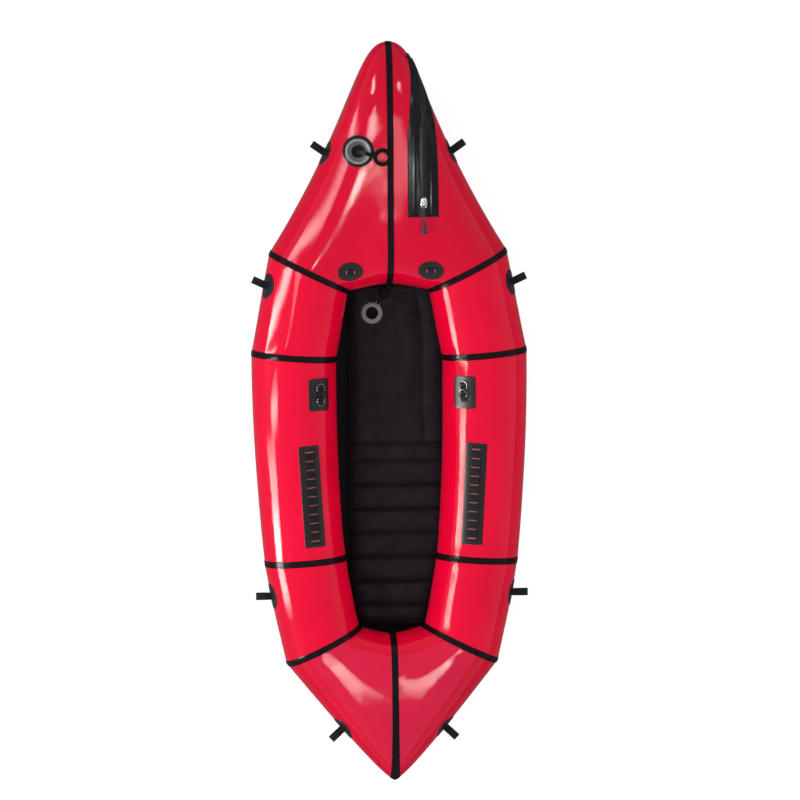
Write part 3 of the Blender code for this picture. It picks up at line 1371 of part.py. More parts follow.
def draped_sheet(name, outline, frame, guide, thickness, finish, lift=PATCH_LIFT):
    """Patch cut to an outline and laid on the hull."""
    bm = bmesh.new()
    rim = [bm.verts.new((point[0], point[1], 0)) for point in outline]
    centre = bm.verts.new((0, 0, 0))
    middle = [bm.verts.new((point[0] * 0.55, point[1] * 0.55, 0)) for point in outline]
    count = len(rim)
    for j in range(count):
        k = (j + 1) % count
        bm.faces.new((rim[j], rim[k], middle[k], middle[j]))
        bm.faces.new((middle[j], middle[k], centre))
    for vert in bm.verts:
        vert.co = guide.drape(frame, vert.co.x, vert.co.y, lift)
    sheet = add_object(name, mesh_from_bmesh(name, bm), finish, frame)
    thicken(sheet, thickness, 1)
    return sheet


def draped_rectangle(name, width, length, columns, rows, frame, guide, finish):
    """Rectangular patch on the hull, with cut corners."""
    half_width = width / 2
    half_length = length / 2
    bm = bmesh.new()
    grid = []
    xs = [-half_width, -half_width + CORNER_RADIUS / 3]
    xs += [mix(-half_width + CORNER_RADIUS, half_width - CORNER_RADIUS, j / columns) for j in range(columns + 1)]
    xs += [half_width - CORNER_RADIUS / 3, half_width]
    ys = [-half_length, -half_length + CORNER_RADIUS / 3]
    ys += [mix(-half_length + CORNER_RADIUS, half_length - CORNER_RADIUS, j / rows) for j in range(rows + 1)]
    ys += [half_length - CORNER_RADIUS / 3, half_length]
    for y in ys:
        grid.append([bm.verts.new(guide.drape(frame, x, y, PATCH_LIFT)) for x in xs])
    last_row = len(ys) - 2
    last_column = len(xs) - 2
    for i in range(len(ys) - 1):
        for j in range(len(xs) - 1):
            ends = (i in (0, last_row)) + (j in (0, last_column))
            if ends < 2:
                bm.faces.new((grid[i][j], grid[i][j + 1], grid[i + 1][j + 1], grid[i + 1][j]))
    loose = [vert for vert in bm.verts if not vert.link_faces]
    bmesh.ops.delete(bm, geom=loose, context="VERTS")
    sheet = add_object(name, mesh_from_bmesh(name, bm), finish, frame)
    thicken(sheet, PATCH_THICKNESS, 1)
    return sheet


def webbing_on(name, stations, width, frame, guide, finish, along_y=True):
    """Webbing sewn down flat: stations of place along it and height over its underside."""
    lift = PATCH_LIFT + PATCH_THICKNESS + LAYER_GAP
    half = width / 2
    sections = []
    for place, height in stations:
        section = []
        for side, extra in ((-1, 0), (0, 0), (1, 0), (1, height), (0, height), (-1, height)):
            x, y = (side * half, place) if along_y else (place, side * half)
            section.append(guide.drape(frame, x, y, lift + extra))
        sections.append(section)
    return add_object(name, mesh_from_bmesh(name, loft(sections)), finish, frame)


def make_lashings(guide):
    """Round patches with a flat webbing loop, on the bow beside the cockpit."""
    for side_name, side in SIDES.items():
        frame = guide.seat(side * LASHING_X, LASHING_Y)
        outline = arc(LASHING_RADIUS, 0, 360 - 360 / 24, 24)
        draped_sheet(f"bow_lashing_patch_{side_name}", outline, frame, guide, PATCH_THICKNESS, BLACK_FABRIC)
        tack = LASHING_TACK_PITCH / 2
        end = tack + LASHING_STRAP_END
        high = WEBBING_THICKNESS * 2
        profile = [(-end, WEBBING_THICKNESS), (-tack, WEBBING_THICKNESS), (-tack / 2, high), (tack / 2, high)]
        profile += [(tack, WEBBING_THICKNESS), (end, WEBBING_THICKNESS)]
        name = f"bow_lashing_webbing_{side_name}"
        webbing_on(name, profile, LASHING_STRAP_WIDTH, frame, guide, BLACK_WEBBING, along_y=False)


def make_tie_downs(guide):
    """Outer patches, each with a folded webbing loop that stands out level."""
    for place, (panel, along, lift, turn) in TIE_DOWN_SHARES.items():
        for side_name, side in SIDES.items():
            seat = hull_frame(panel, lift - 90, HALF_LENGTH * along, side)
            origin = seat.translation
            normal = seat.to_3x3() @ UP
            angle = math.radians(turn)
            out = Vector((side * math.cos(angle), math.sin(angle), 0))
            frame = frame_at(origin, normal, UP)
            name = f"tie_down_{place}_{side_name}"
            outline = arc(TIE_PATCH_RADIUS, 0, 360 - 360 / 16, 16)
            rest = TIE_FLAT_LIFT if place == "aft" else PATCH_LIFT
            patch = draped_sheet(name, outline, frame, guide, PATCH_THICKNESS, BLACK_FABRIC, rest)
            boolean(patch, tie_loop(name + "_webbing", origin, out, normal, rest), "UNION")


def tie_loop(name, origin, out, normal, rest):
    """Folded webbing with an open eye, level and pointing out, rooted in its patch."""
    across = UP.cross(out).normalized()
    frame = Matrix((out, across, UP)).transposed().to_4x4()
    frame.translation = origin
    wall = WEBBING_THICKNESS
    half_eye = TIE_EYE_HEIGHT / 2
    top = half_eye + wall
    neck = TIE_ROOT_REACH
    end = TIE_REACH
    outer = [(neck, wall), (neck + top, top), (end - top, top), (end - top / 3, top * 0.7), (end, 0)]
    inner = [(neck + wall, 0), (neck + wall + half_eye, half_eye), (end - top, half_eye)]
    inner += [(end - wall - half_eye / 3, half_eye * 0.7), (end - wall, 0)]
    outline = outer + [(x, -z) for x, z in reversed(outer[:-1])]
    hole = inner + [(x, -z) for x, z in reversed(inner[1:-1])]
    seat = rest + PATCH_THICKNESS / 4

    def root(y, z):
        return Vector(((seat - y * across.dot(normal) - z * normal.z) / out.dot(normal), y, z))

    half = TIE_WEBBING_WIDTH / 2
    sections = [[root(y, wall), *(Vector((x, y, z)) for x, z in outline), root(y, -wall)] for y in (-half, half)]
    loop = add_object(name, mesh_from_bmesh(name, loft(sections)), None, frame)
    reach = half + OVERRUN
    void = loft([[Vector((x, y, z)) for x, z in hole] for y in (-reach, reach)])
    boolean(loop, add_object(name + "_eye", mesh_from_bmesh(name + "_eye", void), None, frame), "DIFFERENCE")
    return loop


def d_ring_points():
    """Wire line of a D-ring: straight bar on the X axis and a bow ahead of it."""
    half = D_RING_WIDTH / 2
    depth = D_RING_DEPTH
    bow = [Vector((half * math.cos(a), depth * 0.35 + depth * 0.65 * math.sin(a), 0)) for a in angles(20)[:11]]
    corner = D_WIRE_RADIUS
    return [Vector((half - corner, 0, 0)), Vector((half, corner, 0)), *bow, Vector((-half, corner, 0)), Vector((corner - half, 0, 0))]


def make_d_rings(guide):
    """A patch on each side tube with a webbing keeper that holds two D-rings."""
    for side_name, side in SIDES.items():
        frame = hull_frame("side", D_PATCH_ANGLE, D_PATCH_Y, side)
        name = f"d_ring_patch_{side_name}"
        draped_rectangle(name, D_PATCH_WIDTH, D_PATCH_LENGTH, 3, 1, frame, guide, BLACK_FABRIC)
        base = PATCH_LIFT + PATCH_THICKNESS + LAYER_GAP
        half_length = D_KEEPER_LENGTH / 2
        half_width = D_KEEPER_WIDTH / 2
        name = f"d_ring_keeper_{side_name}"
        stations = [(mix(-half_length, half_length, i / 4), D_KEEPER_THICKNESS) for i in range(5)]
        keeper = webbing_on(name, stations, D_KEEPER_WIDTH, frame, guide, BLACK_WEBBING)
        bar_height = base + D_KEEPER_THICKNESS + D_BORE_RADIUS
        bars = (("fore", D_BAR_SPACING / 2), ("aft", -D_BAR_SPACING / 2))
        for place, y in bars:
            ends = ((-half_width, y, bar_height), (half_width, y, bar_height))
            hump = cylinder(f"{name}_{place}_hump", D_HUMP_RADIUS, *ends, frame, segments=14)
            boolean(keeper, hump, "UNION")
        for place, y in bars:
            start = (-half_width - OVERRUN, y, bar_height)
            end = (half_width + OVERRUN, y, bar_height)
            boolean(keeper, cylinder(f"{name}_{place}_bore", D_BORE_RADIUS, start, end, frame, segments=12), "DIFFERENCE")
            hinge = frame @ Matrix.Translation((0, y, bar_height)) @ d_ring_turn(place, side)
            wire(f"d_ring_{place}_{side_name}", d_ring_points(), D_WIRE_RADIUS, hinge, BRIGHT_STEEL, True, 1)


def d_ring_turn(place, side):
    """How a D-ring lies: flat ahead or astern, or leaning ahead over the other's hump."""
    if place == "fore":
        return Matrix.Identity(4)
    if side > 0:
        return Matrix.Rotation(math.radians(D_LEAN_ANGLE), 4, "X")
    return Matrix.Rotation(math.pi, 4, "Z")


def make_ladders(guide):
    """Lashing ladder on each side tube: a patch and webbing tacked into ten loops."""
    for side_name, side in SIDES.items():
        frame = hull_frame("side", LADDER_ANGLE, LADDER_Y, side)
        name = f"ladder_patch_{side_name}"
        draped_rectangle(name, LADDER_WIDTH, LADDER_LENGTH, 3, 5, frame, guide, BLACK_FABRIC)
        reach = LADDER_TACK_PITCH * (LADDER_TACK_COUNT - 1) / 2
        end = reach + LADDER_TACK_PITCH / 3
        stations = [(-end, LADDER_TACK_HEIGHT)]
        for k in range(LADDER_TACK_COUNT - 1):
            start = -reach + LADDER_TACK_PITCH * k
            heights = (LADDER_TACK_HEIGHT, LADDER_CROWN, LADDER_CROWN)
            places = (0, LADDER_TACK_PITCH * 0.3, LADDER_TACK_PITCH * 0.7)
            stations += [(start + place, height) for place, height in zip(places, heights)]
        stations += [(reach, LADDER_TACK_HEIGHT), (end, LADDER_TACK_HEIGHT)]
        webbing_on(f"ladder_webbing_{side_name}", stations, LADDER_WEBBING_WIDTH, frame, guide, BLACK_WEBBING)


def main():
    """Build the boat from the hull outward."""
    clear_scene()
    make_panels()
    make_seam_tapes()
    make_centre_tapes()
    guide = Guide()
    make_floor(guide)
    make_mat_valve(make_mat())
    make_valve(guide)
    make_zip(guide)
    make_lashings(guide)
    make_tie_downs(guide)
    make_d_rings(guide)
    make_ladders(guide)


if __name__ == "__main__":
    main()
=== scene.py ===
"""Looks of a single-seat packraft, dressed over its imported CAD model.

The hull's surface is worked out from the same sizes as the CAD model's, at a finer
pitch, and every patch, tape and strap is laid on that surface. Moulded and metal
fittings take their places from the joints and from the hull's surface.
"""

import json
import logging
import math
from contextlib import contextmanager
from dataclasses import dataclass, field
from enum import Enum
from typing import Callable, Iterator, Optional, Sequence

import bmesh
import bpy
import numpy as np
from mathutils import Matrix, Vector
from mathutils.bvhtree import BVHTree

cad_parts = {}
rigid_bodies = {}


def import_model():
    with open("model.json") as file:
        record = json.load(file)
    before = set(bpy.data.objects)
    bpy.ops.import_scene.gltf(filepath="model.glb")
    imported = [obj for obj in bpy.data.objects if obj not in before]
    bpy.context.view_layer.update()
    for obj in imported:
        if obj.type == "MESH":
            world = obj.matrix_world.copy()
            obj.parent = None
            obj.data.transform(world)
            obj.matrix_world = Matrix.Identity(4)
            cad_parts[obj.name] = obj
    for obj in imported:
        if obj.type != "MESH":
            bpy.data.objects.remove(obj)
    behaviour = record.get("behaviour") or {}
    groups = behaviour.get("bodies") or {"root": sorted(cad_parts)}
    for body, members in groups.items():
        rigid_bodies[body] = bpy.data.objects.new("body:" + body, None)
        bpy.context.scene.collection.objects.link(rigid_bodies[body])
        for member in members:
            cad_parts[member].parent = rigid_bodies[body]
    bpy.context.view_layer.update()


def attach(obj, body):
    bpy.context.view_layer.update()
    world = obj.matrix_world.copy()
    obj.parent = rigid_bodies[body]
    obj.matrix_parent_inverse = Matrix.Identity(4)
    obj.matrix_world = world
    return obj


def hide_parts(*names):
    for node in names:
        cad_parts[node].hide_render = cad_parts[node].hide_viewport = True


LOG = logging.getLogger("packraft")
WHITE = (1.0, 1.0, 1.0)
WARM = (1.0, 0.98, 0.93)
UP = Vector((0, 0, 1))
FORWARD = Vector((0, 1, 0))
MM = 0.001
SAME_POINT = 0.02 * MM
MOULDED_EDGE = 40.0
LAY_GAP = 0.2 * MM
SIDES = ("side_panel", "shoulder_panel", "quarter_panel")


class Side(Enum):
    """Side of the boat, with the sign of its X."""

    STARBOARD = 1
    PORT = -1

    @property
    def label(self) -> str:
        """Name of the side as it stands in piece names."""
        return self.name.lower()


class Panel(Enum):
    """Fabric panel of the hull, from bow to stern."""

    BOW = "bow"
    SHOULDER = "shoulder"
    SIDE = "side"
    QUARTER = "quarter"
    STERN = "stern"


# Node graphs


class Graph:
    """Node graph of one material, with short calls for its nodes."""

    def __init__(self, name: str) -> None:
        """Start a material with its Principled shader."""
        self.material = bpy.data.materials.new(name)
        self.material.use_nodes = True
        self.tree = self.material.node_tree
        self.shader = self.tree.nodes["Principled BSDF"]
        self._places: dict[str, bpy.types.NodeSocket] = {}

    def add(self, kind: str, settings: Optional[dict] = None, **inputs: object) -> bpy.types.Node:
        """Add a node.

        Args:
            kind: Node type without its ShaderNode prefix.
            settings: Values of the node's own properties.
            **inputs: Values or sockets for its inputs, with _ for a space in a name.

        Returns:
            The new node.
        """
        node = self.tree.nodes.new("ShaderNode" + kind)
        for key, value in (settings or {}).items():
            setattr(node, key, value)
        for key, value in inputs.items():
            self.plug(node.inputs[key.replace("_", " ")], value)
        return node

    def plug(self, socket: bpy.types.NodeSocket, value: object) -> None:
        """Link a socket into another, or set its value."""
        if isinstance(value, bpy.types.NodeSocket):
            self.tree.links.new(value, socket)
        else:
            socket.default_value = value

    def math(self, operation: str, first: object, second: object = 0.0, third: object = 0.0) -> bpy.types.NodeSocket:
        """Result of a Math node.

        Args:
            operation: Name of the operation.
            first: First value or socket.
            second: Second value or socket.
            third: Third value or socket.

        Returns:
            The result's socket.
        """
        node = self.add("Math", {"operation": operation})
        for socket, value in zip(node.inputs, (first, second, third)):
            self.plug(socket, value)
        return node.outputs[0]

    def place(self, kind: str = "Object") -> bpy.types.NodeSocket:
        """Texture coordinates of a kind, from one shared node."""
        if "node" not in self._places:
            self._places["node"] = self.add("TexCoord")
        return self._places["node"].outputs[kind]

    def noise(self, scale: float, detail: float = 2.0) -> bpy.types.NodeSocket:
        """Value of a noise texture over the piece, in features for each metre."""
        return self.add("TexNoise", None, Vector=self.place(), Scale=scale, Detail=detail).outputs[0]

    def remap(self, value: object, low: float, high: float, to_low: float, to_high: float) -> bpy.types.NodeSocket:
        """Value moved from one range into another."""
        node = self.add("MapRange", None, Value=value, From_Min=low, From_Max=high, To_Min=to_low, To_Max=to_high)
        return node.outputs[0]

    def blend(self, factor: object, first: Sequence[float], second: Sequence[float]) -> bpy.types.NodeSocket:
        """Colour between two others."""
        node = self.add("Mix", {"data_type": "RGBA"})
        self.plug(node.inputs[0], factor)
        self.plug(node.inputs[6], (*first, 1) if not isinstance(first, bpy.types.NodeSocket) else first)
        self.plug(node.inputs[7], (*second, 1) if not isinstance(second, bpy.types.NodeSocket) else second)
        return node.outputs[2]

    def bump(
        self, height: object, distance: float, strength: float, under: Optional[object] = None
    ) -> bpy.types.NodeSocket:
        """Normal of a height field of that depth in metres."""
        node = self.add("Bump", None, Height=height, Distance=distance, Strength=strength)
        if under is not None:
            self.plug(node.inputs["Normal"], under)
        return node.outputs[0]

    def cloth(self) -> Sequence[bpy.types.NodeSocket]:
        """Place across and along the cloth, in metres, from the UV map."""
        return self.add("SeparateXYZ", None, Vector=self.place("UV")).outputs

    def wave(self, length: object, period: float) -> bpy.types.NodeSocket:
        """Sine of a length, from -1 to 1."""
        return self.math("SINE", self.math("MULTIPLY", length, 2 * math.pi / period))

    def weave(self, pitch: float) -> bpy.types.NodeSocket:
        """Height of a plain weave from 0 to 1, for a distance between threads."""
        across, along, _ = self.cloth()
        product = self.math("MULTIPLY", self.wave(across, 2 * pitch), self.wave(along, 2 * pitch))
        return self.math("MULTIPLY_ADD", product, 0.5, 0.5)

    def finish(self, **inputs: object) -> bpy.types.Material:
        """Set the shader's sockets and give the material back."""
        for key, value in inputs.items():
            self.plug(self.shader.inputs[key.replace("_", " ")], value)
        return self.material


@dataclass(frozen=True)
class Finish:
    """Surface finish that is built once and shared, with the record's slot that it stands for."""

    name: str
    slot: str = ""

    def build(self) -> bpy.types.Material:
        """Make the material."""
        raise NotImplementedError

    def material(self) -> bpy.types.Material:
        """The finish's material, made at its first use."""
        return bpy.data.materials.get(self.name) or self.build()


@dataclass(frozen=True)
class HullFabric(Finish):
    """Red fabric under a thick clear coating: deep colour, sharp streaks and a soft glow."""

    light: tuple = (0.79, 0.002, 0.038)
    dark: tuple = (0.71, 0.001, 0.029)

    def build(self) -> bpy.types.Material:
        """Red with slow drift of tone, faint weave and a slightly uneven coating."""
        graph = Graph(self.name)
        drift = graph.remap(graph.noise(5.0, 3.0), 0.3, 0.7, 0.0, 1.0)
        colour = graph.blend(drift, self.dark, self.light)
        weave = graph.bump(graph.weave(0.0007), 0.00003, 0.35)
        uneven = graph.bump(graph.noise(55.0, 2.0), 0.0004, 0.09, weave)
        broad = graph.bump(graph.noise(14.0, 1.0), 0.0012, 0.09, uneven)
        rough = graph.remap(graph.noise(26.0, 4.0), 0.3, 0.7, 0.36, 0.46)
        return graph.finish(
            Base_Color=colour,
            Roughness=rough,
            Normal=broad,
            Coat_Weight=1.0,
            Coat_Roughness=0.055,
            Coat_IOR=1.30,
            Coat_Normal=broad,
            Specular_IOR_Level=0.0,
        )


@dataclass(frozen=True)
class CoatedTape(Finish):
    """Black coated fabric of seam tapes, patches and the zip's band."""

    colour: tuple = (0.007, 0.004, 0.006)
    lift: tuple = (0.015, 0.008, 0.011)
    roughness: float = 0.34
    specular: float = 0.02
    coat: float = 0.18
    coat_roughness: float = 0.12
    pitch: float = 0.0006
    depth: float = 0.00005

    def build(self) -> bpy.types.Material:
        """Black with lint-like drift, weave and a soft gloss."""
        graph = Graph(self.name)
        drift = graph.remap(graph.noise(60.0, 4.0), 0.35, 0.75, 0.0, 1.0)
        weave = graph.weave(self.pitch)
        colour = graph.blend(drift, self.colour, self.lift)
        normal = graph.bump(weave, self.depth, 0.7)
        normal = graph.bump(graph.noise(160.0, 2.0), 0.0001, 0.15, normal)
        rough = graph.remap(graph.noise(90.0, 3.0), 0.3, 0.7, self.roughness - 0.04, self.roughness + 0.06)
        return graph.finish(
            Base_Color=colour,
            Roughness=rough,
            Normal=normal,
            Coat_Weight=self.coat,
            Coat_Roughness=self.coat_roughness,
            Specular_IOR_Level=self.specular,
        )


@dataclass(frozen=True)
class MatNylon(Finish):
    """Blue-black coated nylon of the mat, matte with a fine cross weave."""

    colour: tuple = (0.012, 0.0115, 0.016)
    light: tuple = (0.021, 0.020, 0.026)
    # Darker tone along the welds: partly dark weld lines, partly painted shade in the creases beside them.
    weld: tuple = (0.004, 0.0035, 0.005)

    def build(self) -> bpy.types.Material:
        """Blue-black, with ripstop lines and sheen, darker along the welds: dark weld lines with painted shade in the
        creases beside them.
        """
        graph = Graph(self.name)
        drift = graph.remap(graph.noise(18.0, 4.0), 0.3, 0.75, 0.0, 1.0)
        weave = graph.weave(0.0005)
        weld = graph.add("Attribute", {"attribute_name": "weld"}).outputs["Fac"]
        cloth = graph.blend(drift, self.colour, self.light)
        # Welds and the creases next to them are painted darker: weld lines plus painted crease shade.
        colour = graph.blend(graph.remap(weld, 0.25, 0.8, 0.0, 1.0), cloth, self.weld)
        normal = graph.bump(weave, 0.00005, 0.5)
        normal = graph.bump(graph.noise(70.0, 3.0), 0.0006, 0.20, normal)
        return graph.finish(
            Base_Color=colour,
            Roughness=graph.remap(drift, 0.0, 1.0, 0.52, 0.44),
            Normal=normal,
            Sheen_Weight=0.05,
            Sheen_Roughness=0.5,
            Specular_IOR_Level=0.12,
        )


@dataclass(frozen=True)
class Webbing(Finish):
    """Woven webbing, with ribs across its length."""

    colour: tuple = (0.004, 0.004, 0.005)
    light: tuple = (0.014, 0.013, 0.015)
    pitch: float = 0.0017

    def build(self) -> bpy.types.Material:
        """Black with raised ribs, painted lighter on their crowns as a painted highlight."""
        graph = Graph(self.name)
        across, along, _ = graph.cloth()
        rib = graph.wave(along, self.pitch)
        cross = graph.wave(across, self.pitch)
        height = graph.math("MULTIPLY_ADD", graph.math("MULTIPLY_ADD", cross, 0.35, rib), 0.37, 0.5)
        fuzz = graph.noise(420.0, 3.0)
        # Painted highlight: the colour turns lighter on the ribs' crowns, mixed with random fuzz.
        colour = graph.blend(graph.math("MULTIPLY", height, fuzz), self.colour, self.light)
        normal = graph.bump(height, 0.00028, 0.8)
        normal = graph.bump(fuzz, 0.0002, 0.35, normal)
        return graph.finish(
            Base_Color=colour,
            Roughness=graph.remap(height, 0.0, 1.0, 0.80, 0.58),
            Normal=normal,
            Sheen_Weight=0.06,
            Sheen_Roughness=0.45,
            Specular_IOR_Level=0.3,
        )


@dataclass(frozen=True)
class Thread(Finish):
    """Bonded thread of the bar tacks."""

    colour: tuple = (0.50, 0.090, 0.150)
    dark: tuple = (0.26, 0.040, 0.070)
    pitch: float = 0.0009

    def build(self) -> bpy.types.Material:
        """Dull, with twisted strands, painted darker in the grooves between them."""
        graph = Graph(self.name)
        across, along, _ = graph.cloth()
        strand = graph.wave(graph.math("MULTIPLY_ADD", along, 0.6, across), self.pitch)
        share = graph.math("MULTIPLY_ADD", strand, 0.5, 0.5)
        # Painted shade: darker where the strands dip, in the grooves between them, with random tone on top.
        colour = graph.blend(graph.math("MULTIPLY", share, graph.noise(300.0, 3.0)), self.dark, self.colour)
        return graph.finish(
            Base_Color=colour,
            Roughness=0.55,
            Normal=graph.bump(share, 0.0002, 0.8),
            Sheen_Weight=0.3,
        )


@dataclass(frozen=True)
class Moulded(Finish):
    """Moulded plastic or rubber, with a fine grain and paler edges."""

    colour: tuple = (0.16, 0.16, 0.17)
    light: tuple = (0.22, 0.22, 0.23)
    roughness: float = 0.38
    grain: float = 0.0001
    specular: float = 0.5

    def build(self) -> bpy.types.Material:
        """Body colour, paler on its edges, with a fine grain."""
        graph = Graph(self.name)
        edges = graph.remap(graph.add("NewGeometry").outputs["Pointiness"], 0.50, 0.56, 0.0, 1.0)
        drift = graph.remap(graph.noise(120.0, 4.0), 0.3, 0.7, 0.0, 0.6)
        colour = graph.blend(graph.math("MAXIMUM", edges, drift), self.colour, self.light)
        normal = graph.bump(graph.noise(1400.0, 2.0), self.grain, 0.35)
        rough = graph.remap(graph.noise(200.0, 3.0), 0.3, 0.7, self.roughness - 0.05, self.roughness + 0.07)
        return graph.finish(Base_Color=colour, Roughness=rough, Normal=normal, Specular_IOR_Level=self.specular)


@dataclass(frozen=True)
class PolishedSteel(Finish):
    """Stainless wire and castings, polished with fine draw marks."""

    colour: tuple = (0.80, 0.80, 0.81)
    dark: tuple = (0.52, 0.51, 0.55)

    def build(self) -> bpy.types.Material:
        """Bright metal with fine scratches."""
        graph = Graph(self.name)
        marks = graph.noise(700.0, 3.0)
        colour = graph.blend(graph.remap(graph.noise(220.0, 3.0), 0.35, 0.7, 0.0, 1.0), self.colour, self.dark)
        return graph.finish(
            Base_Color=colour,
            Metallic=1.0,
            Roughness=graph.remap(marks, 0.3, 0.7, 0.12, 0.26),
            Normal=graph.bump(marks, 0.00005, 0.2),
        )


@dataclass(frozen=True)
class StudioFloor(Finish):
    """Pale floor: white to the camera, and it keeps the boat's shadow."""

    colour: tuple = (0.26, 0.26, 0.26)
    light: tuple = (0.30, 0.30, 0.30)
    glow: float = 0.86

    def build(self) -> bpy.types.Material:
        """White floor with an even lift for seen rays only."""
        graph = Graph(self.name)
        path = graph.add("LightPath")
        seen = graph.math("MAXIMUM", path.outputs["Is Camera Ray"], path.outputs["Is Transmission Ray"])
        grain = graph.noise(300.0, 2.0)
        return graph.finish(
            Base_Color=graph.blend(grain, self.colour, self.light),
            Roughness=0.9,
            Specular_IOR_Level=0.1,
            Emission_Color=(1, 1, 1, 1),
            Emission_Strength=graph.math("MULTIPLY", seen, self.glow),
        )


RED_FABRIC = HullFabric("hull_fabric_coated", "hull_fabric")
SEAM_TAPE = CoatedTape("seam_tape_coated", "seam_fabric")
PATCH_FABRIC = CoatedTape(
    "patch_fabric_coated",
    "floor_fabric",
    colour=(0.012, 0.008, 0.010),
    lift=(0.022, 0.015, 0.018),
    roughness=0.45,
    specular=0.0,
    coat=0.8,
    coat_roughness=0.33,
    pitch=0.0009,
    depth=0.0001,
)
FLOOR_FABRIC = CoatedTape(
    "floor_fabric_coated",
    "floor_fabric",
    colour=(0.008, 0.007, 0.009),
    lift=(0.013, 0.012, 0.015),
    roughness=0.60,
    specular=0.1,
    coat=0.0,
    pitch=0.0012,
    depth=0.0002,
)
ZIP_COATING = CoatedTape(
    "zip_band_coated",
    "seam_fabric",
    colour=(0.006, 0.006, 0.008),
    lift=(0.013, 0.013, 0.016),
    roughness=0.26,
    coat=0.30,
)
MAT_NYLON = MatNylon("mat_nylon", "mat_fabric")
BLACK_WEBBING = Webbing("webbing_black", "webbing")
RED_THREAD = Thread("thread_red", "webbing")
BLACK_THREAD = Thread("thread_black", "webbing", colour=(0.010, 0.009, 0.010), dark=(0.004, 0.004, 0.004))
GREY_PLASTIC = Moulded(
    "plastic_grey",
    "grey_plastic",
    colour=(0.075, 0.075, 0.080),
    light=(0.16, 0.16, 0.17),
    roughness=0.30,
    specular=0.4,
)
DARK_PLASTIC = Moulded(
    "plastic_dark",
    "grey_plastic",
    colour=(0.007, 0.007, 0.009),
    light=(0.024, 0.024, 0.028),
    roughness=0.24,
    specular=0.22,
)
PALE_PLASTIC = Moulded(
    "plastic_pale",
    "pale_plastic",
    colour=(0.22, 0.25, 0.27),
    light=(0.34, 0.38, 0.40),
    roughness=0.36,
)
BLACK_RUBBER = Moulded(
    "rubber_black",
    "black_rubber",
    colour=(0.003, 0.003, 0.004),
    light=(0.010, 0.010, 0.012),
    roughness=0.34,
    specular=0.10,
)
GLOSSY_RUBBER = Moulded(
    "rubber_glossy",
    "black_rubber",
    colour=(0.003, 0.003, 0.004),
    light=(0.012, 0.012, 0.014),
    roughness=0.16,
    specular=0.25,
)
CHAIN_RUBBER = Moulded(
    "rubber_chain",
    "black_rubber",
    colour=(0.010, 0.010, 0.013),
    light=(0.030, 0.030, 0.034),
    roughness=0.28,
    specular=0.15,
)
# Purplish pale tone: partly the rubber's own colour, partly a painted reflection of the sheen that lies on the black
# toggle.
TOGGLE_RUBBER = Moulded(
    "rubber_toggle",
    "black_rubber",
    colour=(0.030, 0.010, 0.017),
    light=(0.17, 0.075, 0.11),
    roughness=0.18,
    specular=0.16,
)
TOGGLE_CORD = Moulded(
    "cord_toggle",
    "black_rubber",
    colour=(0.020, 0.018, 0.020),
    light=(0.060, 0.055, 0.058),
    roughness=0.60,
)
BRIGHT_PLASTIC = Moulded(
    "plastic_bright",
    "grey_plastic",
    colour=(0.23, 0.23, 0.24),
    light=(0.42, 0.42, 0.43),
    roughness=0.20,
)
STEEL = PolishedSteel("steel_polished", "steel")
RING_STEEL = PolishedSteel("steel_rings", "steel", colour=(0.34, 0.34, 0.36), dark=(0.10, 0.10, 0.12))
FLOOR_WHITE = StudioFloor("studio_floor_white")


# Mesh helpers


def mesh_object(name: str, vertices: Sequence, faces: Sequence, finish: Finish) -> bpy.types.Object:
    """Object from points and faces, smooth, with its finish.

    Args:
        name: Name of the piece.
        vertices: Points in the boat's frame.
        faces: Corner indices of each face.
        finish: Its finish.

    Returns:
        The linked object.
    """
    mesh = bpy.data.meshes.new(name)
    mesh.from_pydata([tuple(v) for v in vertices], [], [tuple(f) for f in faces])
    mesh.update()
    return object_from(name, mesh, finish)


@contextmanager
def edited(obj: bpy.types.Object) -> Iterator[bmesh.types.BMesh]:
    """Mesh of an object, open for edits that are written back at the end."""
    mesh = bmesh.new()
    mesh.from_mesh(obj.data)
    yield mesh
    mesh.to_mesh(obj.data)
    mesh.free()


def face_outward(obj: bpy.types.Object, sharp: float = 50.0) -> None:
    """Turn the faces of a closed piece outward, and keep edges over an angle in degrees sharp."""
    with edited(obj) as mesh:
        bmesh.ops.recalc_face_normals(mesh, faces=mesh.faces)
    obj.data.shade_smooth()
    obj.data.set_sharp_from_angle(angle=math.radians(sharp))


def lay_flat(obj: bpy.types.Object, flat: np.ndarray, faces: Optional[Sequence] = None) -> None:
    """Give a piece the UV map of its cloth, in metres.

    Args:
        obj: The piece.
        flat: Flat place of each face corner, or of each point where faces are given.
        faces: Corner indices of each face.
    """
    places = flat.reshape(-1, 2)
    if faces is not None:
        places = places[np.concatenate([np.asarray(face) for face in faces])]
    layer = obj.data.uv_layers.new(name="weave")
    layer.data.foreach_set("uv", places.astype(np.float32).reshape(-1))


def full_turn(count: int) -> np.ndarray:
    """Angles round a full turn, evenly spaced from 0."""
    return np.arange(count) * 2 * math.pi / count


def object_from(name: str, mesh: bpy.types.Mesh, finish: Finish) -> bpy.types.Object:
    """Object of a mesh, smooth, with its finish."""
    mesh.shade_smooth()
    obj = bpy.data.objects.new(name, mesh)
    bpy.context.scene.collection.objects.link(obj)
    obj.data.materials.append(finish.material())
    return obj


def grid_faces(rows: int, columns: int, wrap: bool = False, flip: bool = False) -> np.ndarray:
    """Quads over a grid of points.

    Args:
        rows: Number of rows.
        columns: Points in each row.
        wrap: Whether each row closes on itself.
        flip: Whether the faces look the other way.

    Returns:
        Array of corner indices, four for each face.
    """
    i, j = np.meshgrid(np.arange(rows - 1), np.arange(columns if wrap else columns - 1), indexing="ij")
    k = (j + 1) % columns
    quads = np.stack([i * columns + j, i * columns + k, (i + 1) * columns + k, (i + 1) * columns + j], axis=-1)
    quads = quads.reshape(-1, 4)
    return quads[:, ::-1] if flip else quads


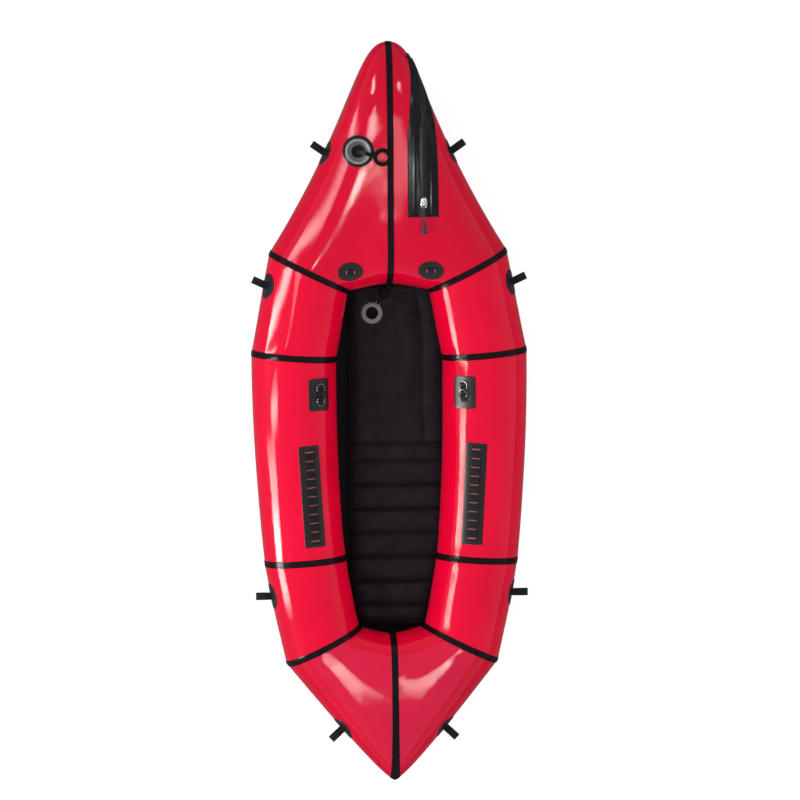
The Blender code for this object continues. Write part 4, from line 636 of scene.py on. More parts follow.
def grid_object(
    name: str,
    points: np.ndarray,
    finish: Finish,
    wrap: bool = False,
    flip: bool = False,
    weave: Optional[np.ndarray] = None,
) -> bpy.types.Object:
    """Object over a grid of points, with a UV map in metres.

    Args:
        name: Name of the piece.
        points: Points by row and column.
        finish: Its finish.
        wrap: Whether each row closes on itself.
        flip: Whether the faces look the other way.
        weave: Flat place of each point, by row and column, or None to measure it.

    Returns:
        The linked object.
    """
    rows, columns = points.shape[:2]
    faces = grid_faces(rows, columns, wrap, flip)
    obj = mesh_object(name, points.reshape(-1, 3), faces, finish)
    if weave is None:
        weave = measured_weave(points)
    flat = weave.reshape(-1, 2)[faces.reshape(-1)]
    if wrap:
        corners = flat.reshape(-1, 4, 2)
        low = corners[:, :, 0].max(axis=1) - corners[:, :, 0].min(axis=1)
        girth = weave[:, :, 0].max() + np.linalg.norm(points[:, 0] - points[:, -1], axis=1).mean()
        around = low > girth / 2
        places = corners[around, :, 0]
        corners[around, :, 0] = np.where(places < girth / 2, places + girth, places)
        flat = corners
    lay_flat(obj, flat)
    return obj


def measured_weave(points: np.ndarray) -> np.ndarray:
    """Flat place of each point of a grid: distance along its row and along its column."""
    across = np.zeros(points.shape[:2])
    across[:, 1:] = np.cumsum(np.linalg.norm(np.diff(points, axis=1), axis=2), axis=1)
    along = np.zeros(points.shape[:2])
    along[1:, :] = np.cumsum(np.linalg.norm(np.diff(points, axis=0), axis=2), axis=0).mean(axis=1, keepdims=True)
    return np.stack([across, along], axis=-1)


def round_row(frame: Matrix, radius: float, height: float, steps: int) -> list[Vector]:
    """Points round the axis of a frame, at a height in it."""
    return [frame @ Vector((radius * math.cos(a), radius * math.sin(a), height)) for a in full_turn(steps)]


def turned_object(
    name: str, profile: Sequence[tuple], frame: Matrix, finish: Finish, corner: float, steps: int
) -> bpy.types.Object:
    """Turned piece from a profile of radius and height, with its corners rounded.

    Args:
        name: Name of the piece.
        profile: Points from the axis or inner side, over the top, to the outer side.
        frame: Frame whose Z is the axis.
        finish: Its finish.
        corner: Rounding of the profile's corners.
        steps: Segments round the axis.

    Returns:
        The linked object.
    """
    rows = [round_row(frame, radius, height, steps) for radius, height in rounded(profile, corner)]
    obj = grid_object(name, np.array(rows), finish, wrap=True)
    with edited(obj) as mesh:
        bmesh.ops.remove_doubles(mesh, verts=mesh.verts, dist=SAME_POINT)
    face_outward(obj, MOULDED_EDGE)
    return obj


def rounded(profile: Sequence[tuple], radius: float, steps: int = 3) -> list[tuple]:
    """Profile with each inner corner rounded.

    Args:
        profile: Corner points.
        radius: Size of the rounding, cut down where an edge is short.
        steps: Points in each rounding.

    Returns:
        The rounded profile.
    """
    points = [Vector(p) for p in profile]
    result = [tuple(points[0])]
    for before, corner, after in zip(points, points[1:], points[2:]):
        back = before - corner
        ahead = after - corner
        reach = min(radius, back.length * 0.45, ahead.length * 0.45)
        start = corner + back.normalized() * reach
        end = corner + ahead.normalized() * reach
        for i in range(steps + 1):
            t = i / steps
            result.append(tuple(start * (1 - t) ** 2 + corner * 2 * t * (1 - t) + end * t**2))
    return [*result, tuple(points[-1])]


def wire_object(
    name: str,
    points: Sequence[Vector],
    radius: float,
    frame: Matrix,
    finish: Finish,
    cyclic: bool = False,
    sides: int = 14,
) -> bpy.types.Object:
    """Round wire or cord swept along points.

    Args:
        name: Name of the piece.
        points: Line of its centre, in the frame.
        radius: Radius of the wire.
        frame: Frame of the points.
        finish: Its finish.
        cyclic: Whether the wire closes on itself.
        sides: Segments round the wire.

    Returns:
        The linked object.
    """
    line = [frame @ Vector(p) for p in points]
    count = len(line)
    rows = []
    normal = None
    for i, point in enumerate(line):
        before = line[i - 1] if i or cyclic else point
        after = line[(i + 1) % count] if i < count - 1 or cyclic else point
        tangent = (after - before).normalized()
        if normal is None:
            normal = tangent.orthogonal().normalized()
        normal = (normal - tangent * normal.dot(tangent)).normalized()
        other = tangent.cross(normal)
        rows.append([point + (normal * math.cos(a) + other * math.sin(a)) * radius for a in full_turn(sides)])
    faces = grid_faces(count, sides, True).tolist()
    if cyclic:
        twist = min(range(sides), key=lambda s: (rows[0][s] - rows[-1][0]).length)
        last = (count - 1) * sides
        ends = [(j, (j + 1) % sides) for j in range(sides)]
        faces += [(last + j, last + k, (j + 1 + twist) % sides, (j + twist) % sides) for j, k in ends]
    else:
        faces += [tuple(range(sides))[::-1], tuple(range((count - 1) * sides, count * sides))]
    vertices = [point for row in rows for point in row]
    obj = mesh_object(name, vertices, faces, finish)
    with edited(obj) as mesh:
        bmesh.ops.recalc_face_normals(mesh, faces=mesh.faces)
    return obj


def joined(name: str, objects: Sequence[bpy.types.Object]) -> bpy.types.Object:
    """One object out of several, under a name."""
    first = objects[0]
    with bpy.context.temp_override(active_object=first, selected_editable_objects=list(objects)):
        bpy.ops.object.join()
    first.name = name
    first.data.name = name
    return first


def frame_at(origin: Vector, normal: Vector, ahead: Vector) -> Matrix:
    """Frame with Z along a normal and Y as near as possible to a direction."""
    z_axis = normal.normalized()
    y_axis = (ahead - z_axis * ahead.dot(z_axis)).normalized()
    x_axis = y_axis.cross(z_axis)
    frame = Matrix((x_axis, y_axis, z_axis)).transposed().to_4x4()
    frame.translation = origin
    return frame


def open_round(obj: bpy.types.Object, centre: Vector, radius: float) -> None:
    """Take out the faces that reach into a ball, for a fitting that goes through them."""
    with edited(obj) as mesh:
        faces = [face for face in mesh.faces if any((vertex.co - centre).length < radius for vertex in face.verts)]
        bmesh.ops.delete(mesh, geom=faces, context="FACES")


def squared(value: object, power: float) -> object:
    """Sine or cosine raised to a power with its sign kept, which gives an oval squarer corners."""
    return np.copysign(np.abs(value) ** power, value)


def circle(radius: float, count: int) -> np.ndarray:
    """Points round a circle, in a plane."""
    turns = full_turn(count)
    return np.stack([radius * np.cos(turns), radius * np.sin(turns)], axis=-1)


def ripple(u: np.ndarray, v: np.ndarray, wavelength: float, seed: int, stretch: float = 1.0) -> np.ndarray:
    """Smooth irregular waves over two lengths, from about -1 to 1.

    Args:
        u: First length of each point.
        v: Second length of each point.
        wavelength: Typical distance between crests along u.
        seed: Choice of pattern.
        stretch: How much longer the waves are along v.

    Returns:
        Height of each point.
    """
    draw = np.random.default_rng(seed)
    total = np.zeros(np.broadcast(u, v).shape)
    for _ in range(7):
        turn = draw.uniform(0, math.pi)
        length = wavelength * draw.uniform(0.7, 1.5)
        phase = draw.uniform(0, 2 * math.pi)
        wave = 2 * math.pi / length
        total += np.sin(wave * (u * math.cos(turn) + v * math.sin(turn) / stretch) + phase)
    return total / 4


# Hull surface


def mix(low: object, high: object, share: object) -> object:
    """Value a share of the way from one to the other."""
    return low + (high - low) * share


def heading(angle: np.ndarray) -> np.ndarray:
    """Level directions towards the stern, turned outboard by angles in degrees."""
    turn = np.radians(np.asarray(angle, float))
    return np.stack([np.sin(turn), -np.cos(turn), np.zeros_like(turn)], axis=-1)


def hermite(start: np.ndarray, leave: np.ndarray, end: np.ndarray, arrive: np.ndarray, t: np.ndarray) -> np.ndarray:
    """Cubics between points with a tangent at each, at parameters by row and column."""
    t = t[..., None]
    return (
        (2 * t**3 - 3 * t**2 + 1) * start
        + (t**3 - 2 * t**2 + t) * leave
        + (3 * t**2 - 2 * t**3) * end
        + (t**3 - t**2) * arrive
    )


@dataclass(frozen=True)
class Ring:
    """Upright section of the tube in a mitred seam, on the starboard side."""

    along: float
    out: float
    diameter: float
    yaw: float
    mitre: float

    def half_height(self, hull: "HullForm") -> float:
        """Half the tube's height there."""
        return hull.tube_diameter * self.diameter / 2

    def centre(self, hull: "HullForm") -> np.ndarray:
        """Middle of the section."""
        limit = (hull.beam - hull.tube_diameter) / 2
        return np.array([limit * self.out, hull.length / 2 * self.along, hull.tube_bottom + self.half_height(hull)])

    def points(self, hull: "HullForm", theta: np.ndarray) -> np.ndarray:
        """Points at angles from the outer side, over the top."""
        half = self.half_height(hull)
        width = half / math.cos(math.radians(self.mitre))
        turn = math.radians(self.yaw)
        across = np.array([math.cos(turn), math.sin(turn), 0])
        upward = np.array([0, 0, 1.0])
        return self.centre(hull) + np.cos(theta)[:, None] * width * across + np.sin(theta)[:, None] * half * upward


@dataclass(frozen=True)
class Nose:
    """Section of the bow or stern in the boat's centre plane."""

    inner: float
    length: float
    half_height: float
    tip_radius: float
    rise: float
    bottom: float

    def middle(self, share: np.ndarray) -> np.ndarray:
        """Height of the section's middle, which rises towards the tip."""
        return self.bottom + self.half_height + self.rise * share**2

    def points(self, theta: np.ndarray) -> np.ndarray:
        """Points at angles from the tip, over the top to the cockpit end."""
        share = np.clip((1 + np.cos(theta)) / 2, 1e-9, 1 - 1e-9)
        reach = abs(self.length)
        limits = (
            np.sqrt(2 * self.half_height * reach * share),
            np.full_like(share, self.half_height),
            np.sqrt(2 * self.tip_radius * reach * (1 - share)),
        )
        half = np.copysign(sum(limit**-5 for limit in limits) ** -0.2, np.sin(theta))
        return np.stack([np.zeros_like(share), self.inner + self.length * share, self.middle(share) + half], axis=-1)


@dataclass
class HullForm:
    """Surface of the inflated hull, bow along +Y and starboard along +X.

    Pairs such as bow_leave go from the outer side of the tube to its cockpit side.
    """

    length: float = 2.500
    beam: float = 0.940
    tube_diameter: float = 0.285
    tube_bottom: float = 0.003
    bow_inner_share: float = 0.34
    bow_half_height: float = 0.151
    bow_rise: float = 0.100
    bow_tip_radius: float = 0.042
    stern_inner_share: float = -0.606
    stern_half_height: float = 0.142
    stern_rise: float = 0.060
    stern_tip_radius: float = 0.036
    shoulder: Ring = Ring(0.375, 0.8175, 1.0, 26.4, 15.0)
    side: Ring = Ring(0.149, 0.9815, 1.0, 4.7, 6.0)
    quarter: Ring = Ring(-0.406, 0.887, 0.955, -3.9, 5.0)
    stern: Ring = Ring(-0.638, 0.7125, 0.93, -26.2, 14.7)
    bow_leave: tuple = (0.4025, 0.9)
    bow_arrive: tuple = (2.07, 1.0)
    bow_heading: tuple = (32, 80)
    bow_climb: tuple = (1.6, 1.0)
    stern_leave: tuple = (1.14, 1.0)
    stern_arrive: tuple = (0.19, 0.9)
    stern_heading: tuple = (39.4, 80)
    gather_depth: float = 0.0011
    gather_reach: float = 0.016
    gather_length: float = 0.042
    sag_depth: float = 0.0005
    sag_length: float = 0.16

    def __post_init__(self) -> None:
        """Work out the two end sections."""
        half = self.length / 2
        inner = half * self.bow_inner_share
        self.bow_nose = Nose(
            inner, half - inner, self.bow_half_height, self.bow_tip_radius, self.bow_rise, self.tube_bottom
        )
        inner = half * self.stern_inner_share
        self.stern_nose = Nose(
            inner, -half - inner, self.stern_half_height, self.stern_tip_radius, self.stern_rise, self.tube_bottom
        )
        self.tubes = {
            Panel.SHOULDER: (self.shoulder, self.side, 11.4, 11.4),
            Panel.SIDE: (self.side, self.quarter, 0.5, -5.7),
            Panel.QUARTER: (self.quarter, self.stern, -9.0, -13.0),
        }

    def smooth(self, panel: Panel, theta: np.ndarray, t: np.ndarray) -> np.ndarray:
        """Points of a starboard panel without its gathers.

        Args:
            panel: The panel.
            theta: Angle of each column.
            t: Parameter from its fore seam to its aft seam, by row and column.

        Returns:
            Points by row and column.
        """
        inward = (1 - np.cos(theta)) / 2
        if panel is Panel.BOW:
            start, end = self.bow_nose.points(theta), self.shoulder.points(self, theta)
            reach = np.linalg.norm(end - start, axis=1)
            leave = np.stack([reach * mix(*self.bow_leave, inward), 0 * reach, 0 * reach], axis=-1)
            strength = reach * mix(*self.bow_arrive, np.sqrt(inward))
            arrive = heading(mix(*self.bow_heading, inward**3)) * strength[:, None]
            arrive[:, 2] = (end - start)[:, 2] * mix(*self.bow_climb, np.sqrt(inward))
        elif panel is Panel.STERN:
            start, end = self.stern.points(self, theta), self.stern_nose.points(theta)
            reach = np.linalg.norm(end - start, axis=1)
            leave = heading(-mix(*self.stern_heading, inward**2)) * (reach * mix(*self.stern_leave, inward))[:, None]
            leave[:, 2] = (end - start)[:, 2]
            arrive = np.stack([-reach * mix(*self.stern_arrive, inward), 0 * reach, 0 * reach], axis=-1)
        else:
            fore, aft, first, last = self.tubes[panel]
            start, end = fore.points(self, theta), aft.points(self, theta)
            reach = np.linalg.norm(end - start, axis=1)[:, None]
            leave = heading(first) * reach
            arrive = heading(last) * reach
        return hermite(start, leave, end, arrive, t)

    def normals(self, panel: Panel, theta: np.ndarray, t: np.ndarray) -> np.ndarray:
        """Outward normals of a starboard panel."""
        step = 0.001
        along = self.smooth(panel, theta, np.minimum(t + step, 1)) - self.smooth(panel, theta, np.maximum(t - step, 0))
        around = self.smooth(panel, theta + step, t) - self.smooth(panel, theta - step, t)
        normal = np.cross(around, along)
        return normal / np.linalg.norm(normal, axis=-1, keepdims=True)

    def share_at(self, panel: Panel, theta: np.ndarray, distance: float, from_end: bool) -> np.ndarray:
        """Parameter at a distance from the fore seam, or from the aft seam, for each angle."""
        step = 0.001
        zero = np.full((1, len(theta)), 1.0 if from_end else 0.0)
        near = zero - step if from_end else zero + step
        speed = np.linalg.norm(self.smooth(panel, theta, near) - self.smooth(panel, theta, zero), axis=-1)[0] / step
        return 1 - distance / speed if from_end else distance / speed

    def length_of(self, panel: Panel, theta: np.ndarray) -> np.ndarray:
        """Length of a panel along each angle."""
        t = np.repeat(np.linspace(0, 1, 25)[:, None], len(theta), axis=1)
        return np.linalg.norm(np.diff(self.smooth(panel, theta, t), axis=0), axis=-1).sum(axis=0)

    def points(self, panel: Panel, theta: np.ndarray, t: np.ndarray) -> np.ndarray:
        """Points of a starboard panel with the gathers that its welded seams leave.

        Args:
            panel: The panel.
            theta: Angle of each column.
            t: Parameter by row and column.

        Returns:
            Points by row and column.
        """
        flat = self.smooth(panel, theta, t)
        normal = self.normals(panel, theta, t)
        reach = self.length_of(panel, theta)[None, :]
        girth = theta[None, :] * self.tube_diameter / 2
        seed = 10 * list(Panel).index(panel)
        lift = np.zeros(t.shape)
        for number, distance in enumerate((t * reach, (1 - t) * reach)):
            ends = (panel is Panel.BOW and number == 0) or (panel is Panel.STERN and number == 1)
            near = distance / self.gather_reach
            fade = near * np.exp(1 - near)
            inside = 0.35 + 0.65 * ((1 - np.cos(theta)) / 2)[None, :]
            waves = ripple(girth, distance, self.gather_length, seed + number, 3.0)
            lift += fade * inside * waves * self.gather_depth * (0.5 if ends else 1.0)
        lift += self.sag_depth * ripple(girth, t * reach, self.sag_length, seed + 5, 2.5)
        return flat + normal * lift[..., None]


def mirrored(points: np.ndarray, side: Side) -> np.ndarray:
    """Points on the side that is asked for."""
    return points * np.array([side.value, 1, 1])


class Skin:
    """Outer skin of the dressed hull, which everything is laid on."""

    OUTSIDE = 0.5
    SEAT_SPREAD = 8 * MM

    def __init__(self, hull: HullForm) -> None:
        """Take the hull form, with no faces yet."""
        self.hull = hull
        self.vertices: list = []
        self.faces: list = []
        self.tree: Optional[BVHTree] = None

    def take(self, points: np.ndarray, flip: bool) -> None:
        """Add a grid of points that closes round its rows."""
        base = len(self.vertices)
        self.vertices += points.reshape(-1, 3).tolist()
        self.faces += (grid_faces(points.shape[0], points.shape[1], True, flip) + base).tolist()

    def close(self) -> None:
        """Build the search tree."""
        self.tree = BVHTree.FromPolygons(self.vertices, self.faces)

    def hit(self, point: Vector, direction: Vector) -> tuple:
        """First point of the skin from far outside along a direction, and its normal."""
        direction = direction.normalized()
        place, normal, _, _ = self.tree.ray_cast(point - direction * self.OUTSIDE, direction)
        return place, normal

    def seat(self, x: float, y: float, ahead: Vector = FORWARD) -> Matrix:
        """Frame on the upper skin, with its Z along the normal."""
        return self.seat_toward(Vector((x, y, 0)), UP, ahead)

    def seat_toward(self, point: Vector, outward: Vector, ahead: Vector = FORWARD) -> Matrix:
        """Frame where a line out of the hull leaves its skin, with the mean normal there.

        Args:
            point: A point on the line.
            outward: Direction of the line.
            ahead: Direction for the frame's Y.

        Returns:
            The frame.
        """
        across = ahead.cross(outward).normalized()
        spread = (-self.SEAT_SPREAD, 0, self.SEAT_SPREAD)
        steps = [(i, j) for i in spread for j in spread]
        places = [self.hit(point + across * i + ahead * j, -outward) for i, j in steps]
        normal = sum((n for _, n in places if n is not None), Vector()).normalized()
        return frame_at(places[4][0], normal, ahead)

    def drape(self, frame: Matrix, x: float, y: float, lift: float) -> Vector:
        """Point above a frame's x and y, a lift over the skin, in the boat's frame."""
        point = frame @ Vector((x, y, 0))
        normal = frame.to_3x3() @ UP
        place, skin_normal = self.hit(point, -normal)
        if place is None:
            return point + normal * lift
        if skin_normal.dot(normal) < 0:
            skin_normal = -skin_normal
        return place + skin_normal * lift

    def on_panel(self, panel: Panel, angle: float, y: float, side: Side) -> Matrix:
        """Frame on a panel at an angle inboard from its crown, with Y to the bow."""
        theta = np.array([math.pi / 2 + math.radians(angle)])
        low, high = 0.0, 1.0
        for _ in range(40):
            middle = (low + high) / 2
            if self.hull.smooth(panel, theta, np.array([[middle]]))[0, 0, 1] > y:
                low = middle
            else:
                high = middle
        t = np.array([[low]])
        place = mirrored(self.hull.smooth(panel, theta, t)[0, 0], side)
        normal = mirrored(self.hull.normals(panel, theta, t)[0, 0], side)
        along = self.hull.smooth(panel, theta, t - 0.01) - self.hull.smooth(panel, theta, t + 0.01)
        return frame_at(Vector(place), Vector(normal), Vector(mirrored(along[0, 0], side)))


# Hull pieces


@dataclass
class HullPanels:
    """Ten welded panels of glossy red fabric."""

    skin: Skin
    around: int = 168
    row_pitch: float = 0.012
    bands: tuple = (0.0006, 0.004, 0.008, 0.012, 0.018, 0.026)
    valve_panel: str = "bow_panel_port"
    valve_place: tuple = (-0.108, 0.886, 0.319)
    valve_hole: float = 0.0295

    def rows(self, panel: Panel, theta: np.ndarray) -> np.ndarray:
        """Parameters of a panel's rows: close together at its seams."""
        hull = self.skin.hull
        first = [hull.share_at(panel, theta, d, False) for d in self.bands]
        last = [hull.share_at(panel, theta, d, True) for d in reversed(self.bands)]
        count = max(int(hull.length_of(panel, theta).max() / self.row_pitch), 2)
        inner = [mix(first[-1], last[0], i / count) for i in range(1, count)]
        return np.array([*first, *inner, *last])

    def make(self) -> None:
        """Build each panel and give its points to the skin."""
        hull = self.skin.hull
        theta = full_turn(self.around)
        for panel in Panel:
            t = self.rows(panel, theta)
            points = hull.points(panel, theta, t)
            girth = np.repeat(theta[None, :] * hull.tube_diameter / 2, len(t), axis=0)
            weave = np.stack([girth, t * hull.length_of(panel, theta).mean()], axis=-1)
            for side in Side:
                name = f"{panel.value}_panel_{side.label}"
                own = mirrored(points, side)
                obj = grid_object(
                    name + "_skin", own, RED_FABRIC, True, side is Side.PORT, weave
                )
                if name == self.valve_panel:
                    open_round(obj, Vector(self.valve_place), self.valve_hole)
                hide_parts(name)
                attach(obj, "hull")
                self.skin.take(own, side is Side.PORT)
                LOG.info("panel %s", name)
        self.skin.close()


@dataclass
class SeamTapes:
    """Black tapes over the mitred seams and over the seams in the centre plane."""

    skin: Skin
    width: float = 0.022
    lift: float = 0.0004
    thickness: float = 0.0009
    around: int = 168
    shares: tuple = (-1.0, -1.0, -0.96, -0.75, -0.5, -0.25, 0.0, 0.25, 0.5, 0.75, 0.96, 1.0, 1.0)

    def heights(self) -> list[float]:
        """Height of each line of the tape over the skin."""
        return [-0.0006, *[self.lift + self.thickness * (1 - 0.4 * s**8) for s in self.shares[1:-1]], -0.0006]

    def line(self, panel: Panel, theta: np.ndarray, distance: float, from_end: bool) -> tuple:
        """Points and normals along a panel at a distance from one of its seams."""
        hull = self.skin.hull
        t = hull.share_at(panel, theta, max(distance, 0.0006), from_end)[None, :]
        return hull.points(panel, theta, t)[0], hull.normals(panel, theta, t)[0]

    def make(self) -> None:
        """Build the eight seam tapes and the two centre tapes."""
        theta = full_turn(self.around)
        order = list(Panel)
        for fore, aft in zip(order, order[1:]):
            rows = []
            for share, height in zip(self.shares, self.heights()):
                panel, from_end = (fore, True) if share < 0 else (aft, False)
                place, normal = self.line(panel, theta, abs(share) * self.width / 2, from_end)
                if share == 0:
                    other, second = self.line(fore, theta, 0, True)
                    place, normal = (place + other) / 2, normal + second
                    normal /= np.linalg.norm(normal, axis=-1, keepdims=True)
                rows.append(place + normal * height)
            points = np.array(rows)
            seam = aft.value
            for side in Side:
                name = f"{seam}_seam_tape_{side.label}"
                self.finish(name, mirrored(points, side), side is Side.PORT)
        for panel, from_end in ((Panel.BOW, False), (Panel.STERN, True)):
            rows = []
            for share, height in zip(self.shares, self.heights()):
                place, normal = self.line(panel, theta, abs(share) * self.width / 2, from_end)
                if share == 0:
                    place = place * np.array([0, 1, 1])
                    normal = normal * np.array([0, 1, 1])
                    normal /= np.linalg.norm(normal, axis=-1, keepdims=True)
                row = place + normal * height
                rows.append(mirrored(row, Side.PORT) if share < 0 else row)
            self.finish(f"{panel.value}_centre_tape", np.array(rows), from_end)

    def finish(self, name: str, points: np.ndarray, flip: bool) -> None:
        """Dress one tape."""
        obj = grid_object(name + "_cloth", points, SEAM_TAPE, True, flip)
        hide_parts(name)
        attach(obj, "hull")
        LOG.info("tape %s", name)


# Cloth laid on the hull


def grids_object(name: str, grids: Sequence[np.ndarray], finish: Finish) -> bpy.types.Object:
    """One object over several open grids of points, each with its own UV in metres.

    Args:
        name: Name of the piece.
        grids: Grids of points by row and column.
        finish: Its finish.

    Returns:
        The linked object.
    """
    vertices: list = []
    faces: list = []
    flat: list = []
    for points in grids:
        quads = grid_faces(*points.shape[:2])
        faces += (quads + len(vertices)).tolist()
        vertices += points.reshape(-1, 3).tolist()
        flat.append(measured_weave(points).reshape(-1, 2)[quads.reshape(-1)])
    obj = mesh_object(name, vertices, faces, finish)
    lay_flat(obj, np.concatenate(flat))
    return obj


def round_outline(radius: float, count: int = 72) -> Callable[[float], np.ndarray]:
    """Outline of a disc as a function of its inset."""
    return lambda inset: circle(max(radius - inset, radius * 0.02), count)


def oval_outline(width: float, length: float, count: int = 72) -> Callable[[float], np.ndarray]:
    """Outline of an oval of that width and length as a function of its inset."""
    half = np.array([width, length]) / 2
    return lambda inset: circle(1, count) * np.maximum(half - inset, half * 0.02)


def box_outline(width: float, length: float, corner: float, pitch: float = 0.006) -> Callable[[float], np.ndarray]:
    """Outline of a rectangle with round corners as a function of its inset.

    Args:
        width: Width along X.
        length: Length along Y.
        corner: Radius of its corners.
        pitch: Distance between points on its sides.

    Returns:
        Function from an inset to the outline's points.
    """
    per_side = (max(round(width / pitch), 3), max(round(length / pitch), 3))

    def outline(inset: float) -> np.ndarray:
        """Points of the outline at an inset."""
        half = np.array([max(width / 2 - inset, 0.0004), max(length / 2 - inset, 0.0004)])
        bend = max(min(corner - inset, *half), 0.0002)
        points = []
        for quarter in range(4):
            sx, sy = ((1, 1), (-1, 1), (-1, -1), (1, -1))[quarter]
            centre = np.array([sx, sy]) * (half - bend)
            turns = math.pi / 2 * (quarter + np.linspace(0, 1, 6))
            bow = centre + bend * np.stack([np.cos(turns), np.sin(turns)], axis=-1)
            points += list(bow)
            sx, sy = ((-1, 1), (-1, -1), (1, -1), (1, 1))[quarter]
            turn = math.pi / 2 * (quarter + 1)
            start = np.array([sx, sy]) * (half - bend) + bend * np.array([math.cos(turn), math.sin(turn)])
            steps = per_side[quarter % 2]
            points += [bow[-1] + (start - bow[-1]) * i / steps for i in range(1, steps)]
        return np.array(points)

    return outline


@dataclass
class Patch:
    """Patch of coated fabric welded to the hull, with a thin rolled edge."""

    skin: Skin
    frame: Matrix
    outline: Callable[[float], np.ndarray]
    depth: float
    thickness: float = 0.0012
    lift: float = 0.0006
    border: float = 0.0045
    pitch: float = 0.006

    def top(self) -> float:
        """Height of its face over the skin."""
        return self.lift + self.thickness

    def make(self, name: str, replaces: Sequence[str]) -> None:
        """Build the patch, under a name, for the CAD nodes that it stands for."""
        edge = self.thickness
        insets = [
            (0.0, -0.0008), (0.0, self.lift + edge * 0.35), (edge * 0.25, self.lift + edge * 0.8),
            (edge * 0.7, self.top()), (0.0035, self.top() - 0.00012), (self.border, self.top()),
        ]
        steps = max(int(self.depth / self.pitch), 3)
        inner = self.depth * 0.97 - self.border
        insets += [(self.border + inner * i / steps, self.top()) for i in range(1, steps + 1)]
        rows = []
        flat = []
        for inset, height in insets:
            ring = self.outline(inset)
            rows.append([self.skin.drape(self.frame, x, y, height) for x, y in ring])
            flat.append(ring)
        points = np.array(rows)
        count = points.shape[1]
        faces = grid_faces(len(rows), count, True).tolist()
        faces.append(list(range((len(rows) - 1) * count, len(rows) * count)))
        obj = mesh_object(name, points.reshape(-1, 3), faces, PATCH_FABRIC)
        lay_flat(obj, np.array(flat), faces)
        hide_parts(*replaces)
        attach(obj, "hull")


def lofted(name: str, points: np.ndarray, finish: Finish) -> bpy.types.Object:
    """Closed piece over rings of points, capped at both ends, with a UV map in metres.

    Args:
        name: Name of the piece.
        points: Points by ring and place in the ring.
        finish: Its finish.

    Returns:
        The linked piece.
    """
    count = points.shape[1]
    faces = grid_faces(len(points), count, True).tolist()
    faces += [list(range(count))[::-1], list(range((len(points) - 1) * count, len(points) * count))]
    obj = mesh_object(name, points.reshape(-1, 3), faces, finish)
    lay_flat(obj, measured_weave(points), faces)
    face_outward(obj)
    return obj


@dataclass
class LaidStrap:
    """Webbing that lies on the hull along a frame's Y or X, sewn down in places."""

    skin: Skin
    frame: Matrix
    width: float
    thickness: float = 0.0014
    along_y: bool = True
    across: int = 8
    stitch_pitch: float = 0.00045
    stitch_height: float = 0.00025
    tack_height: float = 0.0011

    def over(self, patch: Patch) -> float:
        """Height of its upper face where it lies on a patch."""
        return patch.top() + self.thickness + LAY_GAP

    def place(self, along: float, aside: float, height: float) -> Vector:
        """Point on the strap in the boat's frame."""
        x, y = (aside, along) if self.along_y else (along, -aside)
        return self.skin.drape(self.frame, x, y, height)

    def section(self, along: float, top: float) -> list[Vector]:
        """Ring of points round the strap at a place along it."""
        half = self.width / 2
        bottom = top - self.thickness
        inner = half - self.thickness * 0.35
        asides = np.linspace(-inner, inner, self.across)
        ring = [(-half, (top + bottom) / 2)]
        ring += [(a, top) for a in asides]
        ring += [(half, (top + bottom) / 2)]
        ring += [(a, bottom) for a in asides[::-1]]
        return [self.place(along, a, h) for a, h in ring]

    def make(self, name: str, stations: Sequence[tuple], replaces: Sequence[str] = ()) -> None:
        """Build the strap.

        Args:
            name: Name of the piece.
            stations: Place along it and height of its upper face over the skin.
            replaces: CAD nodes that it stands for.
        """
        obj = lofted(name, np.array([self.section(*station) for station in stations]), BLACK_WEBBING)
        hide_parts(*replaces)
        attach(obj, "hull")

    def tack(self, along: float, top: float, size: float = 0.0075, margin: float = 0.0018) -> np.ndarray:
        """Raised bar of satin stitch across the strap.

        Args:
            along: Place along the strap.
            top: Height of the strap's upper face there.
            size: Length of the stitches, along the strap.
            margin: Bare webbing at each end of the bar.

        Returns:
            Grid of its points.
        """
        half = self.width / 2 - margin
        count = int(2 * half / self.stitch_pitch)
        shares = np.linspace(-1, 1, 7)
        rows = []
        for share in shares:
            crown = self.tack_height * (1 - abs(share) ** 2.4)
            row = []
            for j in range(count + 1):
                aside = -half + 2 * half * j / count
                thread = self.stitch_height * math.sin(math.pi * j + share)
                end = min(1.0, (half - abs(aside)) / 0.001 + 0.1)
                lean = 0.0004 * share
                row.append(self.place(along + share * size / 2, aside + lean, top - 0.0002 + (crown + thread) * end))
            rows.append(row)
        return np.array(rows)[:, ::1 if self.along_y else -1]


def swept_strap(
    name: str, path: Sequence[Vector], across: Vector, width: float, thickness: float, finish: Finish
) -> bpy.types.Object:
    """Strap that follows a path in a plane.

    Args:
        name: Name of the piece.
        path: Line of its middle.
        across: Direction of its width.
        width: Its width.
        thickness: Its thickness.
        finish: Its finish.

    Returns:
        The linked piece.
    """
    half = width / 2
    asides = np.linspace(-half + thickness * 0.35, half - thickness * 0.35, 8)
    ring = [(-half, 0.0), *[(a, 0.5) for a in asides], (half, 0.0), *[(a, -0.5) for a in asides[::-1]]]
    rows = []
    for i, point in enumerate(path):
        along = (path[min(i + 1, len(path) - 1)] - path[max(i - 1, 0)]).normalized()
        up = across.cross(along).normalized()
        rows.append([point + across * a + up * (h * thickness) for a, h in ring])
    return lofted(name, np.array(rows), finish)


def smooth_path(points: Sequence[Vector], steps: int = 5) -> list[Vector]:
    """Curve through points, with steps between each two."""
    line = [points[0], *points, points[-1]]
    result = []
    for a, b, c, d in zip(line, line[1:], line[2:], line[3:]):
        for i in range(steps):
            t = i / steps
            result.append(
                0.5 * ((2 * b) + (c - a) * t + (2 * a - 5 * b + 4 * c - d) * t**2 + (3 * b - a - 3 * c + d) * t**3)
            )
    return [*result, points[-1]]


# Fabric and webbing fittings


